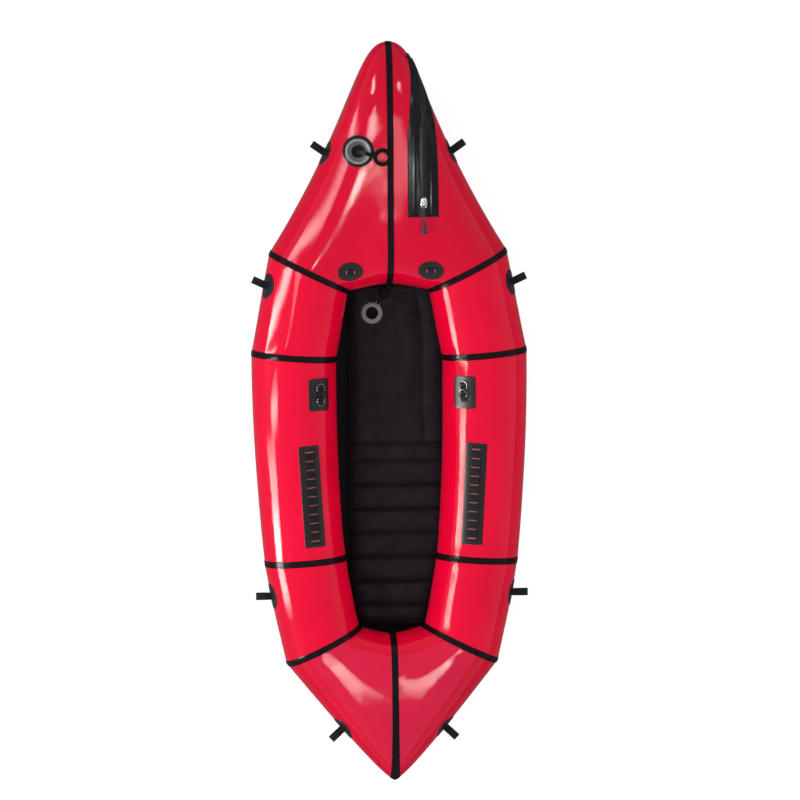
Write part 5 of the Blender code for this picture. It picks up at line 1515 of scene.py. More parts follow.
@dataclass
class BowLashings:
    """Oval patches beside the cockpit, with flat webbing tacked down in two places."""

    skin: Skin
    x: float = 0.136
    y: float = 0.476
    width: float = 0.087
    length: float = 0.070
    strap_width: float = 0.018
    tack_pitch: float = 0.027
    strap_end: float = 0.009
    crown: float = 0.0062

    def make(self) -> None:
        """Build both lashing points."""
        for side in Side:
            frame = self.skin.seat(side.value * self.x, self.y)
            patch = Patch(self.skin, frame, oval_outline(self.width, self.length), self.length / 2)
            node = f"bow_lashing_patch_{side.label}"
            patch.make(node + "_cloth", [node])
            strap = LaidStrap(self.skin, frame, self.strap_width, along_y=False)
            low = strap.over(patch)
            tack = self.tack_pitch / 2
            places = np.linspace(-tack - self.strap_end, tack + self.strap_end, 31)
            stations = []
            for place in places:
                inside = max(1 - (place / tack) ** 2, 0) if abs(place) < tack else 0
                stations.append((place, low + (self.crown - low) * inside**0.8))
            node = f"bow_lashing_webbing_{side.label}"
            strap.make(node + "_weave", stations, [node])
            bars = [strap.tack(place, low) for place in (-tack, tack)]
            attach(grids_object(f"bow_lashing_tacks_{side.label}", bars, RED_THREAD), "hull")
            LOG.info("bow lashing, %s", side.label)


@dataclass
class Ladders:
    """Lashing ladders: a long patch and webbing tacked down into ten loops."""

    skin: Skin
    y: float = -0.280
    angle: float = 15.0
    width: float = 0.072
    length: float = 0.344
    corner: float = 0.006
    webbing_width: float = 0.033
    tack_pitch: float = 0.030
    tacks: int = 11
    crown: float = 0.0061

    def make(self) -> None:
        """Build both ladders."""
        for side in Side:
            frame = self.skin.on_panel(Panel.SIDE, self.angle, self.y, side)
            patch = Patch(self.skin, frame, box_outline(self.width, self.length, self.corner), self.width / 2)
            node = f"ladder_patch_{side.label}"
            patch.make(node + "_cloth", [node])
            strap = LaidStrap(self.skin, frame, self.webbing_width)
            low = strap.over(patch)
            reach = self.tack_pitch * (self.tacks - 1) / 2
            end = reach + self.tack_pitch / 3
            stations = [(-end, low)]
            for k in range(self.tacks - 1):
                start = -reach + self.tack_pitch * k
                for share in (0, 0.08, 0.16, 0.28, 0.42, 0.58, 0.72, 0.84, 0.92):
                    bow = math.sin(math.pi * share) ** 0.75
                    stations.append((start + self.tack_pitch * share, low + (self.crown - low) * bow))
            stations += [(reach, low), (end, low)]
            node = f"ladder_webbing_{side.label}"
            strap.make(node + "_weave", stations, [node])
            bars = [strap.tack(-reach + self.tack_pitch * k, low) for k in range(self.tacks)]
            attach(grids_object(f"ladder_tacks_{side.label}", bars, RED_THREAD), "hull")
            LOG.info("ladder, %s", side.label)


@dataclass
class TieDowns:
    """Eight outer patches, each with a folded webbing loop that stands out level."""

    skin: Skin
    patch_radius: float = 0.043
    webbing_width: float = 0.025
    webbing_thickness: float = 0.0018
    reach: float = 0.054
    eye_height: float = 0.0068
    root_reach: float = 0.012
    tack_height: float = 0.0006
    stitch_height: float = 0.00018
    stitches_across: int = 48
    places: dict = field(
        default_factory=lambda: {
            "bow": (Panel.BOW, 0.875, 10.0, 35.0),
            "fore": (Panel.SHOULDER, 0.427, 20.0, 25.0),
            "aft": (Panel.QUARTER, -0.625, 9.0, 0.0),
            "stern": (Panel.STERN, -1.075, 8.0, -43.0),
        }
    )

    def loop(self) -> list[tuple]:
        """Line of the folded webbing, as places out from the hull and heights."""
        wall = self.webbing_thickness / 2
        open_half = self.eye_height / 2 + wall
        end = self.reach - wall
        upper = [
            (-0.003, wall), (0.004, wall), (self.root_reach, wall * 1.05),
            (self.root_reach + 0.007, open_half * 0.8), (self.root_reach + 0.014, open_half),
            (end - open_half * 1.9, open_half), (end - open_half * 0.8, open_half * 0.86),
            (end - open_half * 0.22, open_half * 0.48), (end, 0),
        ]
        return upper + [(x, -z) for x, z in reversed(upper[:-1])]

    def make(self) -> None:
        """Build all eight."""
        for place, (panel, y, lift, turn) in self.places.items():
            for side in Side:
                seat = self.skin.on_panel(panel, lift - 90, y, side)
                origin = seat.translation.copy()
                normal = seat.to_3x3() @ UP
                angle = math.radians(turn)
                out = Vector((side.value * math.cos(angle), math.sin(angle), 0))
                frame = frame_at(origin, normal, UP)
                node = f"tie_down_{place}_{side.label}"
                patch = Patch(self.skin, frame, round_outline(self.patch_radius), self.patch_radius)
                patch.make(node + "_patch", [node])
                across = UP.cross(out).normalized()
                path = smooth_path([origin + out * x + UP * z for x, z in self.loop()], 4)
                webbing = swept_strap(
                    node + "_webbing", path, across, self.webbing_width, self.webbing_thickness, BLACK_WEBBING
                )
                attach(webbing, "hull")
                self.stitches(node, origin, out, across)
                LOG.info("tie-down, %s %s", place, side.label)

    def stitches(self, node: str, origin: Vector, out: Vector, across: Vector) -> None:
        """Bar of stitches where the folded webbing closes, on both faces."""
        half = self.webbing_width / 2 - 0.002
        grids = []
        for face in (1, -1):
            rows = []
            for share in np.linspace(-1, 1, 7):
                crown = self.webbing_thickness + self.tack_height * (1 - abs(share) ** 2.4)
                row = []
                for j in range(self.stitches_across + 1):
                    aside = -half + 2 * half * j / self.stitches_across
                    height = crown + self.stitch_height * math.sin(math.pi * j)
                    place = origin + out * (self.root_reach - 0.002 + share * 0.0022)
                    row.append(place + across * aside * face + UP * height * face)
                rows.append(row)
            grids.append(np.array(rows))
        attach(grids_object(node + "_tack", grids, BLACK_WEBBING), "hull")


@dataclass
class DRings:
    """Patch on each side tube with a webbing keeper that holds two D-rings."""

    skin: Skin
    y: float = 0.063
    angle: float = 33.0
    patch_width: float = 0.082
    patch_length: float = 0.110
    corner: float = 0.010
    keeper_width: float = 0.022
    keeper_length: float = 0.066
    bar_spacing: float = 0.026
    bar_height: float = 0.0076
    wire: float = 0.0019
    ring_width: float = 0.030
    ring_depth: float = 0.024
    lean: float = 18.0

    def line(self) -> list[Vector]:
        """Wire line of a D-ring: straight bar on X and a bow ahead of it."""
        half, depth = self.ring_width / 2, self.ring_depth
        corner = self.wire * 1.4
        bow = [(half * math.cos(a), depth * 0.35 + depth * 0.65 * math.sin(a)) for a in np.linspace(0, math.pi, 31)]
        turns = np.linspace(-math.pi / 2, 0, 5)
        right = [(half - corner + corner * math.cos(a), corner + corner * math.sin(a)) for a in turns]
        left = [(-x, y) for x, y in reversed(right)]
        bar = [(x, 0) for x in np.linspace(-half + corner, half - corner, 9)[1:-1]]
        return [Vector((x, y, 0)) for x, y in [*right, *bow, *left, *bar]]

    def turn(self, fore: bool, side: Side) -> Matrix:
        """How a ring lies: flat ahead or astern, or leaning ahead over the other's hump."""
        if fore:
            return Matrix.Identity(4)
        if side is Side.STARBOARD:
            return Matrix.Rotation(math.radians(self.lean), 4, "X")
        return Matrix.Rotation(math.pi, 4, "Z")

    def make(self) -> None:
        """Build both patches with their rings."""
        for side in Side:
            frame = self.skin.on_panel(Panel.SIDE, self.angle, self.y, side)
            outline = box_outline(self.patch_width, self.patch_length, self.corner)
            patch = Patch(self.skin, frame, outline, self.patch_width / 2)
            node = f"d_ring_patch_{side.label}"
            patch.make(node + "_cloth", [node])
            under = LaidStrap(self.skin, frame, self.keeper_width)
            low = under.over(patch)
            half = self.keeper_length / 2
            under.make(f"d_ring_keeper_base_{side.label}", [(y, low) for y in np.linspace(-half, half, 15)])
            over = LaidStrap(self.skin, frame, self.keeper_width - 0.0006)
            flat = low + over.thickness + 0.0001
            high = self.bar_height + self.wire + over.thickness + 0.0002
            stations = []
            for y in np.linspace(-half, half, 67):
                near = min(abs(y - self.bar_spacing / 2), abs(y + self.bar_spacing / 2)) / 0.0105
                rise = math.cos(min(near, 1) * math.pi / 2) ** 1.3
                stations.append((y, flat + (high - flat) * rise))
            node = f"d_ring_keeper_{side.label}"
            over.make(node + "_weave", stations, [node])
            bars = [over.tack(place, flat, 0.004) for place in (-half + 0.006, 0, half - 0.006)]
            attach(grids_object(f"d_ring_tacks_{side.label}", bars, BLACK_THREAD), "hull")
            for name, y in (("fore", self.bar_spacing / 2), ("aft", -self.bar_spacing / 2)):
                hinge = frame @ Matrix.Translation((0, y, self.bar_height)) @ self.turn(name == "fore", side)
                node = f"d_ring_{name}_{side.label}"
                ring = wire_object(node + "_wire", self.line(), self.wire, hinge, RING_STEEL, cyclic=True)
                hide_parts(node)
                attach(ring, node)
            LOG.info("D-rings, %s", side.label)


# Floor and mat


@dataclass
class FloorSheet:
    """Heavy floor fabric under the tubes, turned up a little at both ends."""

    skin: Skin
    bow_end: float = 0.600
    stern_end: float = -0.900
    thickness: float = 0.0015
    columns: int = 40
    rows: int = 130
    slack_depth: float = 0.0003
    slack_length: float = 0.12

    def outline(self) -> np.ndarray:
        """Line on which the starboard tube rests, from bow to stern."""
        theta = np.array([-math.pi / 2])
        lines = [self.skin.hull.smooth(p, theta, np.linspace(0, 1, 40, endpoint=False)[:, None])[:, 0] for p in Panel]
        return np.concatenate(lines)

    def make(self) -> None:
        """Build the sheet."""
        hull = self.skin.hull
        line = self.outline()[::-1]
        level = (hull.stern.centre(hull)[1], hull.shoulder.centre(hull)[1])
        rows = []
        for y in np.linspace(self.bow_end, self.stern_end, self.rows):
            half = float(np.interp(y, line[:, 1], line[:, 0]))
            rise = 0.0
            if not level[0] <= y <= level[1]:
                inner = mix(y, min(max(y, level[0]), level[1]), 0.2)
                hits = [self.skin.hit(Vector((half * i / 8, inner, 0)), UP)[0] for i in range(9)]
                rise = max(min(hit.z for hit in hits if hit is not None) - hull.tube_bottom, 0)
            x = np.linspace(-half, half, self.columns)
            slack = self.slack_depth * ripple(x, np.full_like(x, y), self.slack_length, 71) * (1 - (x / half) ** 4)
            rows.append(np.stack([x, np.full_like(x, y), self.thickness - 0.0002 + rise + slack], axis=-1))
        top = np.array(rows)
        under = top.copy()
        under[:, :, 2] = np.maximum(under[:, :, 2] - self.thickness, 0)
        obj = lofted("floor_sheet_cloth", np.concatenate([top, under[:, ::-1]], axis=1), FLOOR_FABRIC)
        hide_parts("floor_sheet")
        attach(obj, "hull")


@dataclass
class FloorMat:
    """Inflatable mat: four long channels ahead, cross chambers aft, in one skin."""

    port_edge: float = -0.128
    width: float = 0.335
    bow_end: float = 0.430
    stern_end: float = -0.742
    bottom: float = 0.0018
    crown: float = 0.052
    seam_height: float = 0.027
    channel_seam_height: float = 0.043
    edge_height: float = 0.016
    cross_seam: float = -0.123
    pitch: float = 0.082
    first_chamber: float = 0.062
    channels: int = 4
    bow_narrowing: float = 0.042
    bow_taper: float = 0.230
    starboard_narrowing: float = 0.087
    starboard_taper: float = 0.362
    port_narrowing: float = 0.033
    port_taper: float = 0.150
    valve: tuple = (-0.050, 0.318)
    valve_flat: float = 0.037
    valve_bore: float = 0.019
    valve_margin: float = 0.012
    valve_slope: float = 0.018
    side_share: float = 0.16
    end_round: float = 0.035
    crease_depth: float = 0.0011
    crease_length: float = 0.020
    welded: float = 0.45
    # Strength of the painted crease shade in the long channels.
    channel_mark: float = 0.4
    step: float = 0.0052
    pressure: float = 4.0
    slack: float = 0.006
    most: float = 0.005

    def edges(self, y: float) -> tuple[float, float]:
        """Port and starboard edge at a place along the boat."""
        bow = max((y - (self.bow_end - self.bow_taper)) / self.bow_taper, 0)
        starboard = max((self.stern_end + self.starboard_taper - y) / self.starboard_taper, 0)
        port = max((self.stern_end + self.port_taper - y) / self.port_taper, 0)
        narrowing = self.bow_narrowing * bow**2 + self.starboard_narrowing * starboard**1.3
        return self.port_edge + self.port_narrowing * port**1.5, self.port_edge + self.width - narrowing

    def seams(self) -> list[float]:
        """Places of the cross seams, from the fore one to the mat's end."""
        seams = [self.cross_seam, self.cross_seam - self.first_chamber]
        while seams[-1] - self.pitch > self.stern_end + self.pitch / 3:
            seams.append(seams[-1] - self.pitch)
        return [*seams, self.stern_end]

    def fullness(self, share: float, y: float) -> float:
        """How full the mat is at a share of its width and a place: 0 in a seam, 1 on a crown."""

        def swell(place: float) -> float:
            """Fullness across one chamber."""
            return math.sqrt(max(1 - abs(2 * place - 1) ** 3, 0))

        if y >= self.cross_seam:
            across = swell((share * self.channels) % 1)
            from_end = min((self.bow_end - y) / 0.05, (y - self.cross_seam) / 0.035, 1)
            return across * swell(max(from_end, 0) / 2)
        seams = self.seams()
        for fore, aft in zip(seams, seams[1:]):
            if aft <= y:
                return swell((fore - y) / (fore - aft))
        return 0.0

    def height(self, share: float, x: float, y: float) -> float:
        """Height of the mat's upper skin over its underside."""
        full = self.fullness(share, y)
        near = min(share, 1 - share)
        side = math.sqrt(max(1 - (1 - min(near / self.side_share, 1)) ** 2, 0))
        seam = self.channel_seam_height if y > self.cross_seam else self.seam_height
        top = seam + (self.crown - seam) * full
        end = min(min(self.bow_end - y, y - self.stern_end) / self.end_round, 1)
        side *= math.sqrt(max(1 - (1 - end) ** 2, 0))
        wave = float(ripple(np.array([x]), np.array([y]), self.crease_length, 31, 1.6)[0])
        crease = self.crease_depth * wave * (1 - full) ** 1.5
        height = mix(self.edge_height, top + crease, side)
        away = math.hypot(x - self.valve[0], y - self.valve[1])
        pad = min(max((self.valve_flat + self.valve_slope - away) / self.valve_slope, 0), 1)
        return mix(height, self.crown, pad * pad * (3 - 2 * pad))

    def make(self) -> None:
        """Build the mat's upper skin, its rounded sides and its underside."""
        count = int(self.width / self.step)
        rows = []
        for y in np.linspace(self.bow_end, self.stern_end, int((self.bow_end - self.stern_end) / self.step)):
            port, starboard = self.edges(y)
            row = []
            shares = 0.5 - 0.5 * np.cos(np.linspace(0, math.pi, count)) * 0.35 - np.linspace(0.325, -0.325, count)
            for share in np.clip(shares, 0, 1):
                x = mix(port, starboard, share)
                row.append((x, y, self.bottom + self.height(share, x, y)))
            rows.append(row)
        points = np.array(rows)
        bore = np.hypot(*(points[:, :, :2].reshape(-1, 2) - self.valve).T) < self.valve_bore
        faces = grid_faces(*points.shape[:2], flip=True)
        keep = ~bore[faces].any(axis=1)
        flat = points[:, :, :2].reshape(-1, 2)
        top_faces = faces[keep].tolist()
        rim = self.rim(points.shape[:2])
        base = points.reshape(-1, 3)[rim].copy()
        base[:, 2] = self.bottom
        middle = base.copy()
        middle[:, 2] = self.bottom + self.edge_height * 0.5
        vertices = np.concatenate([points.reshape(-1, 3), middle, base])
        total, loop = points.shape[0] * points.shape[1], len(rim)
        for j in range(loop):
            k = (j + 1) % loop
            top_faces.append([rim[k], rim[j], total + j, total + k])
            top_faces.append([total + k, total + j, total + loop + j, total + loop + k])
        top_faces.append([total + loop + j for j in range(loop)])
        obj = mesh_object("floor_mat_skin", vertices, top_faces, MAT_NYLON)
        full = self.fullness_of(points)
        self.inflate(obj, self.held(points, full, total + 2 * loop, rim))
        lay_flat(obj, np.concatenate([flat, flat[rim], flat[rim]]), top_faces)
        # Painted crease shade: the mat is marked darker where it is not full, along the welds and in the creases
        # beside them, weaker in the long channels.
        weld = np.zeros(len(vertices), dtype=np.float32)
        weld[:total] = (1 - full) * np.where(points[:, :, 1].reshape(-1) < self.cross_seam, 1.0, self.channel_mark)
        obj.data.attributes.new("weld", "FLOAT", "POINT").data.foreach_set("value", weld)
        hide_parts("floor_mat")
        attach(obj, "hull")
        LOG.info("floor mat")

    def fullness_of(self, points: np.ndarray) -> np.ndarray:
        """How full the mat is at each point of its upper skin."""
        full = []
        for x, y, _ in points.reshape(-1, 3):
            port, starboard = self.edges(y)
            full.append(self.fullness((x - port) / (starboard - port), y))
        return np.array(full)

    def held(self, points: np.ndarray, full: np.ndarray, count: int, rim: list[int]) -> np.ndarray:
        """How firmly each point is held while the mat fills: 1 in welds, rim and valve seat.

        Args:
            points: Grid of the upper skin.
            full: How full the mat is at each of them.
            count: Number of all the mesh's points.
            rim: Indices of the grid's outer points.

        Returns:
            One weight for each point.
        """
        weights = np.ones(count)
        away = np.hypot(*(points[:, :, :2].reshape(-1, 2) - self.valve).T)
        weights[: len(full)] = (full < self.welded) | (away < self.valve_flat + self.valve_margin)
        weights[rim] = 1.0
        return weights

    def inflate(self, obj: bpy.types.Object, held: np.ndarray, frames: int = 12) -> None:
        """Fill the mat by a cloth simulation between its welds, and keep the result in the mesh.

        Args:
            obj: The mat.
            held: How firmly each point is held.
            frames: Steps of the simulation.
        """
        group = obj.vertex_groups.new(name="welds")
        group.add(np.nonzero(held)[0].tolist(), 1.0, "REPLACE")
        cloth = obj.modifiers.new("fill", "CLOTH")
        settings = cloth.settings
        settings.quality = 3
        settings.mass = 0.2
        settings.tension_stiffness = settings.compression_stiffness = 12
        settings.shear_stiffness = 6
        settings.bending_stiffness = 0.15
        settings.vertex_group_mass = group.name
        settings.use_pressure = True
        settings.uniform_pressure_force = self.pressure
        settings.shrink_min = -self.slack
        settings.effector_weights.gravity = 0
        cloth.collision_settings.use_collision = False
        cloth.point_cache.frame_end = frames
        for frame in range(1, frames + 1):
            bpy.context.scene.frame_set(frame)
        still = np.empty(len(held) * 3, dtype=np.float32)
        filled = still.copy()
        obj.data.vertices.foreach_get("co", still)
        obj.evaluated_get(bpy.context.evaluated_depsgraph_get()).data.vertices.foreach_get("co", filled)
        obj.modifiers.remove(cloth)
        bpy.context.scene.frame_set(1)
        still, move = still.reshape(-1, 3), (filled - still).reshape(-1, 3)
        length = np.linalg.norm(move, axis=1, keepdims=True)
        move *= np.minimum(1, self.most / np.maximum(length, 1e-9))
        obj.data.vertices.foreach_set("co", (still + move).reshape(-1))
        obj.data.update()
        LOG.info("floor mat filled: moved up to %.1f mm", 1000 * min(float(length.max()), self.most))

    def rim(self, shape: tuple[int, int]) -> list[int]:
        """Indices of a grid's outer points, in order."""
        rows, columns = shape
        rim = list(range(columns))
        rim += [i * columns + columns - 1 for i in range(1, rows)]
        rim += [(rows - 1) * columns + j for j in range(columns - 2, -1, -1)]
        return rim + [i * columns for i in range(rows - 2, 0, -1)]


# Moulded fittings


def axes_frame(origin: tuple, x_axis: tuple, z_axis: tuple) -> Matrix:
    """Frame from its origin, its X axis and its Z axis."""
    across, normal = Vector(x_axis).normalized(), Vector(z_axis).normalized()
    frame = Matrix((across, normal.cross(across), normal)).transposed().to_4x4()
    frame.translation = origin
    return frame


def placed(frame: Matrix, points: Sequence[tuple]) -> list[Vector]:
    """Points of a frame in the boat's frame."""
    return [frame @ Vector(point) for point in points]


def bar_object(
    name: str, low: tuple, high: tuple, frame: Matrix, finish: Finish, edge: float = 0.0004
) -> bpy.types.Object:
    """Moulded bar between two corners, with rounded edges.

    Args:
        name: Name of the piece.
        low: Low corner in the frame.
        high: High corner in the frame.
        frame: Frame of the corners.
        finish: Its finish.
        edge: Rounding of its edges.

    Returns:
        The linked object.
    """
    bm = bmesh.new()
    bmesh.ops.create_cube(bm, size=1)
    middle, size = (Vector(low) + Vector(high)) / 2, Vector(high) - Vector(low)
    bmesh.ops.transform(bm, matrix=frame @ Matrix.Translation(middle) @ Matrix.Diagonal((*size, 1)), verts=bm.verts)
    bmesh.ops.bevel(bm, geom=bm.edges[:], offset=edge, segments=3, affect="EDGES", profile=0.5)
    mesh = bpy.data.meshes.new(name)
    bm.to_mesh(mesh)
    bm.free()
    obj = object_from(name, mesh, finish)
    obj.data.set_sharp_from_angle(angle=math.radians(MOULDED_EDGE))
    return obj


def rib_ring(name: str, radii: tuple, levels: tuple, count: int, frame: Matrix, finish: Finish) -> bpy.types.Object:
    """Ring of radial ribs on a turned face.

    Args:
        name: Name of the piece.
        radii: Inner and outer radius.
        levels: Height of the face, and height of the ribs over it.
        count: Number of ribs.
        frame: Frame whose Z is the axis.
        finish: Its finish.

    Returns:
        The linked object.
    """
    (inner, outer), (base, rise) = radii, levels
    steps, taken, slope = 9, 0.55, 0.0006
    rows = []
    for k in range(count):
        for i in range(steps):
            place = i / (steps - 1) * 2 - 1
            turn = 2 * math.pi * (k + 0.5 * taken * place) / count
            height = base + rise * (1 - abs(place) ** 3)
            line = [(inner, base), (inner + slope, height), (outer - slope, height), (outer, base)]
            rows.append([(radius, turn, z) for radius, z in line])
    rows.append(rows[0])
    points = np.array([placed(frame, [(r * math.cos(a), r * math.sin(a), z) for r, a, z in row]) for row in rows])
    obj = grid_object(name, points, finish)
    face_outward(obj)
    return obj


@dataclass
class MainValve:
    """Wide inflation valve: flange on the hull, bright body, flap, ribbed plug, finger ring."""

    skin: Skin
    origin: tuple = (-0.108, 0.886, 0.319466)
    ring_place: tuple = (-0.027, 0.865)
    hinge_axis: tuple = (-0.248237, -0.966976, -0.057756)
    plug_axis: tuple = (-0.174128, -0.014109, 0.984622)
    flange_height: float = 0.0022
    base: float = 0.0025
    dish: float = 0.0043
    rim: float = 0.0100
    bar_height: float = 0.0048
    ring_radius: float = 0.031
    ring_hole: float = 0.0165
    ring_thickness: float = 0.0034
    strap_width: float = 0.014
    strap_thickness: float = 0.0022

    def make(self) -> None:
        """Build the valve from the hull upwards."""
        self.frame = axes_frame(self.origin, self.hinge_axis, self.plug_axis)
        self.flange()
        self.body()
        self.flap()
        self.plug()
        self.pull_ring()

    def flange(self) -> None:
        """Dark flange that follows the hull at its edge and is flat inside."""
        steps, high = 96, self.flange_height
        flat = [(0.0293, -0.001), (0.0293, 0.0020), (0.0298, high), (0.0448, high), (0.0462, 0.0021)]
        rows = [round_row(self.frame, radius, height, steps) for radius, height in flat]
        skirt = [(0.0500, 0.0015), (0.0532, 0.0014), (0.0538, 0.0011), (0.0540, 0.0004), (0.0540, -0.0008)]
        draped = [[self.skin.drape(self.frame, x, y, z) for x, y in circle(r, steps)] for r, z in skirt]
        between = [inner.lerp(outer, 0.75) for inner, outer in zip(rows[-1], draped[0])]
        obj = grid_object("valve_flange_moulded", np.array([*rows, between, *draped]), DARK_PLASTIC, wrap=True)
        face_outward(obj)
        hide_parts("valve_flange")
        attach(obj, "hull")
        LOG.info("main valve flange")

    def body(self) -> None:
        """Bright turned body with a bevelled rim, a dish, a neck and a cross bar."""
        profile = [
            (0.0262, self.dish), (0.0280, self.dish), (0.0290, 0.0046), (0.0352, 0.0076), (0.0360, 0.0086),
            (0.0386, self.rim), (0.0402, self.rim), (0.0430, 0.0072), (0.0430, self.base), (0.0290, self.base),
            (0.0290, -0.024), (0.0215, -0.024), (0.0215, -0.015), (0.0150, -0.015), (0.0150, -0.013),
            (0.0215, -0.013), (0.0215, self.dish), (0.0262, self.dish),
        ]
        body = turned_object("valve_body_moulded", profile, self.frame, BRIGHT_PLASTIC, 0.0006, 120)
        low, high = (-0.0025, -0.0170, -0.015), (0.0025, 0.0170, -0.013)
        spider = bar_object("valve_spider", low, high, self.frame, GREY_PLASTIC)
        profile = [(0.0256, 0.0040), (0.0256, 0.0049), (0.0296, 0.0053), (0.0348, 0.0078), (0.0352, 0.0072)]
        dish = turned_object("valve_dish", profile, self.frame, GREY_PLASTIC, 0.0004, 120)
        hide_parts("valve_body")
        for obj in (body, spider, dish):
            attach(obj, "hull")
        LOG.info("main valve body")

    def flap(self) -> None:
        """Rubber check flap under the cross bar, with its stem and button."""
        profile = [
            (0, -0.0071), (0.0030, -0.0072), (0.0038, -0.0078), (0.0038, -0.0087), (0.0017, -0.0087),
            (0.0017, -0.0153), (0.0185, -0.0153), (0.0185, -0.0167), (0, -0.0167),
        ]
        flap = turned_object("valve_flap_rubber", profile, self.frame, BLACK_RUBBER, 0.0003, 64)
        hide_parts("valve_flap")
        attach(flap, "valve_flap")
        LOG.info("main valve flap")

    def plug(self) -> None:
        """Ribbed rubber plug with a cup, and the bar that the strap turns on."""
        profile = [
            (0, 0.0002), (0.0150, 0.0002), (0.0172, 0.0062), (0.0182, 0.0070), (0.0232, 0.0068),
            (0.0242, 0.0060), (0.0242, 0.0046), (0.0208, 0.0046), (0.0205, -0.0039), (0, -0.0039),
        ]
        plug = turned_object("valve_plug_rubber", profile, self.frame, GLOSSY_RUBBER, 0.0005, 96)
        ribs = rib_ring("valve_plug_ribs", (0.0180, 0.0236), (0.0067, 0.0008), 26, self.frame, GLOSSY_RUBBER)
        line = [(x, 0, self.bar_height) for x in (-0.0170, 0.0170)]
        bar = wire_object("valve_plug_bar", line, 0.0018, self.frame, GLOSSY_RUBBER)
        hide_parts("valve_plug")
        for obj in (plug, ribs, bar):
            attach(obj, "valve_plug")
        LOG.info("main valve plug")

    def pull_ring(self) -> None:
        """Finger ring laid on the hull, its strap and the eye round the plug's bar."""
        hinge = self.frame @ Matrix.Translation((0, 0, self.bar_height))
        seat = self.skin.seat(*self.ring_place)
        lift = 0.0003 + 0.0009 + 0.0003 + self.ring_thickness / 2 + 0.001
        centre = seat @ Vector((0, 0, lift))
        ring_frame = frame_at(centre, seat.to_3x3() @ UP, self.frame.to_3x3() @ FORWARD)
        half = self.ring_thickness / 2
        inner, outer = self.ring_hole, self.ring_radius
        profile = [
            (inner, -half * 0.6), (inner, half * 0.6), (inner + 0.0012, half), (inner + 0.0040, half * 0.78),
            (outer - 0.0040, half * 0.78), (outer - 0.0012, half), (outer, half * 0.5), (outer, -half * 0.6),
            (outer - 0.001, -half), (inner + 0.001, -half), (inner, -half * 0.6),
        ]
        ring = turned_object("pull_ring_disc", profile, ring_frame, BLACK_RUBBER, 0.0007, 96)
        crest = self.rim - self.bar_height + 0.0003 + self.strap_thickness
        end = hinge.inverted() @ (ring_frame @ Vector((0, -(inner + outer) / 2, 0)))
        route = [(0.0032, self.strap_thickness), (0.0175, crest * 0.72), (0.0262, crest), (0.0430, crest)]
        route.append((mix(0.0430, end.y, 0.45), mix(crest, end.z, 0.35)))
        path = [*(Vector((0, y, z)) for y, z in route), end]
        across = self.frame.to_3x3() @ Vector((1, 0, 0))
        line = placed(hinge, smooth_path(path, 6))
        strap = swept_strap("pull_ring_strap", line, across, self.strap_width, self.strap_thickness, BLACK_RUBBER)
        eye_line = [(x, 0, 0) for x in (-0.005, 0.005)]
        eye = wire_object("pull_ring_eye", eye_line, 0.0042, hinge, BLACK_RUBBER, sides=20)
        piece = joined("valve_pull_ring_rubber", [ring, strap, eye])
        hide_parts("valve_pull_ring")
        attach(piece, "valve_pull_ring")
        LOG.info("finger ring")


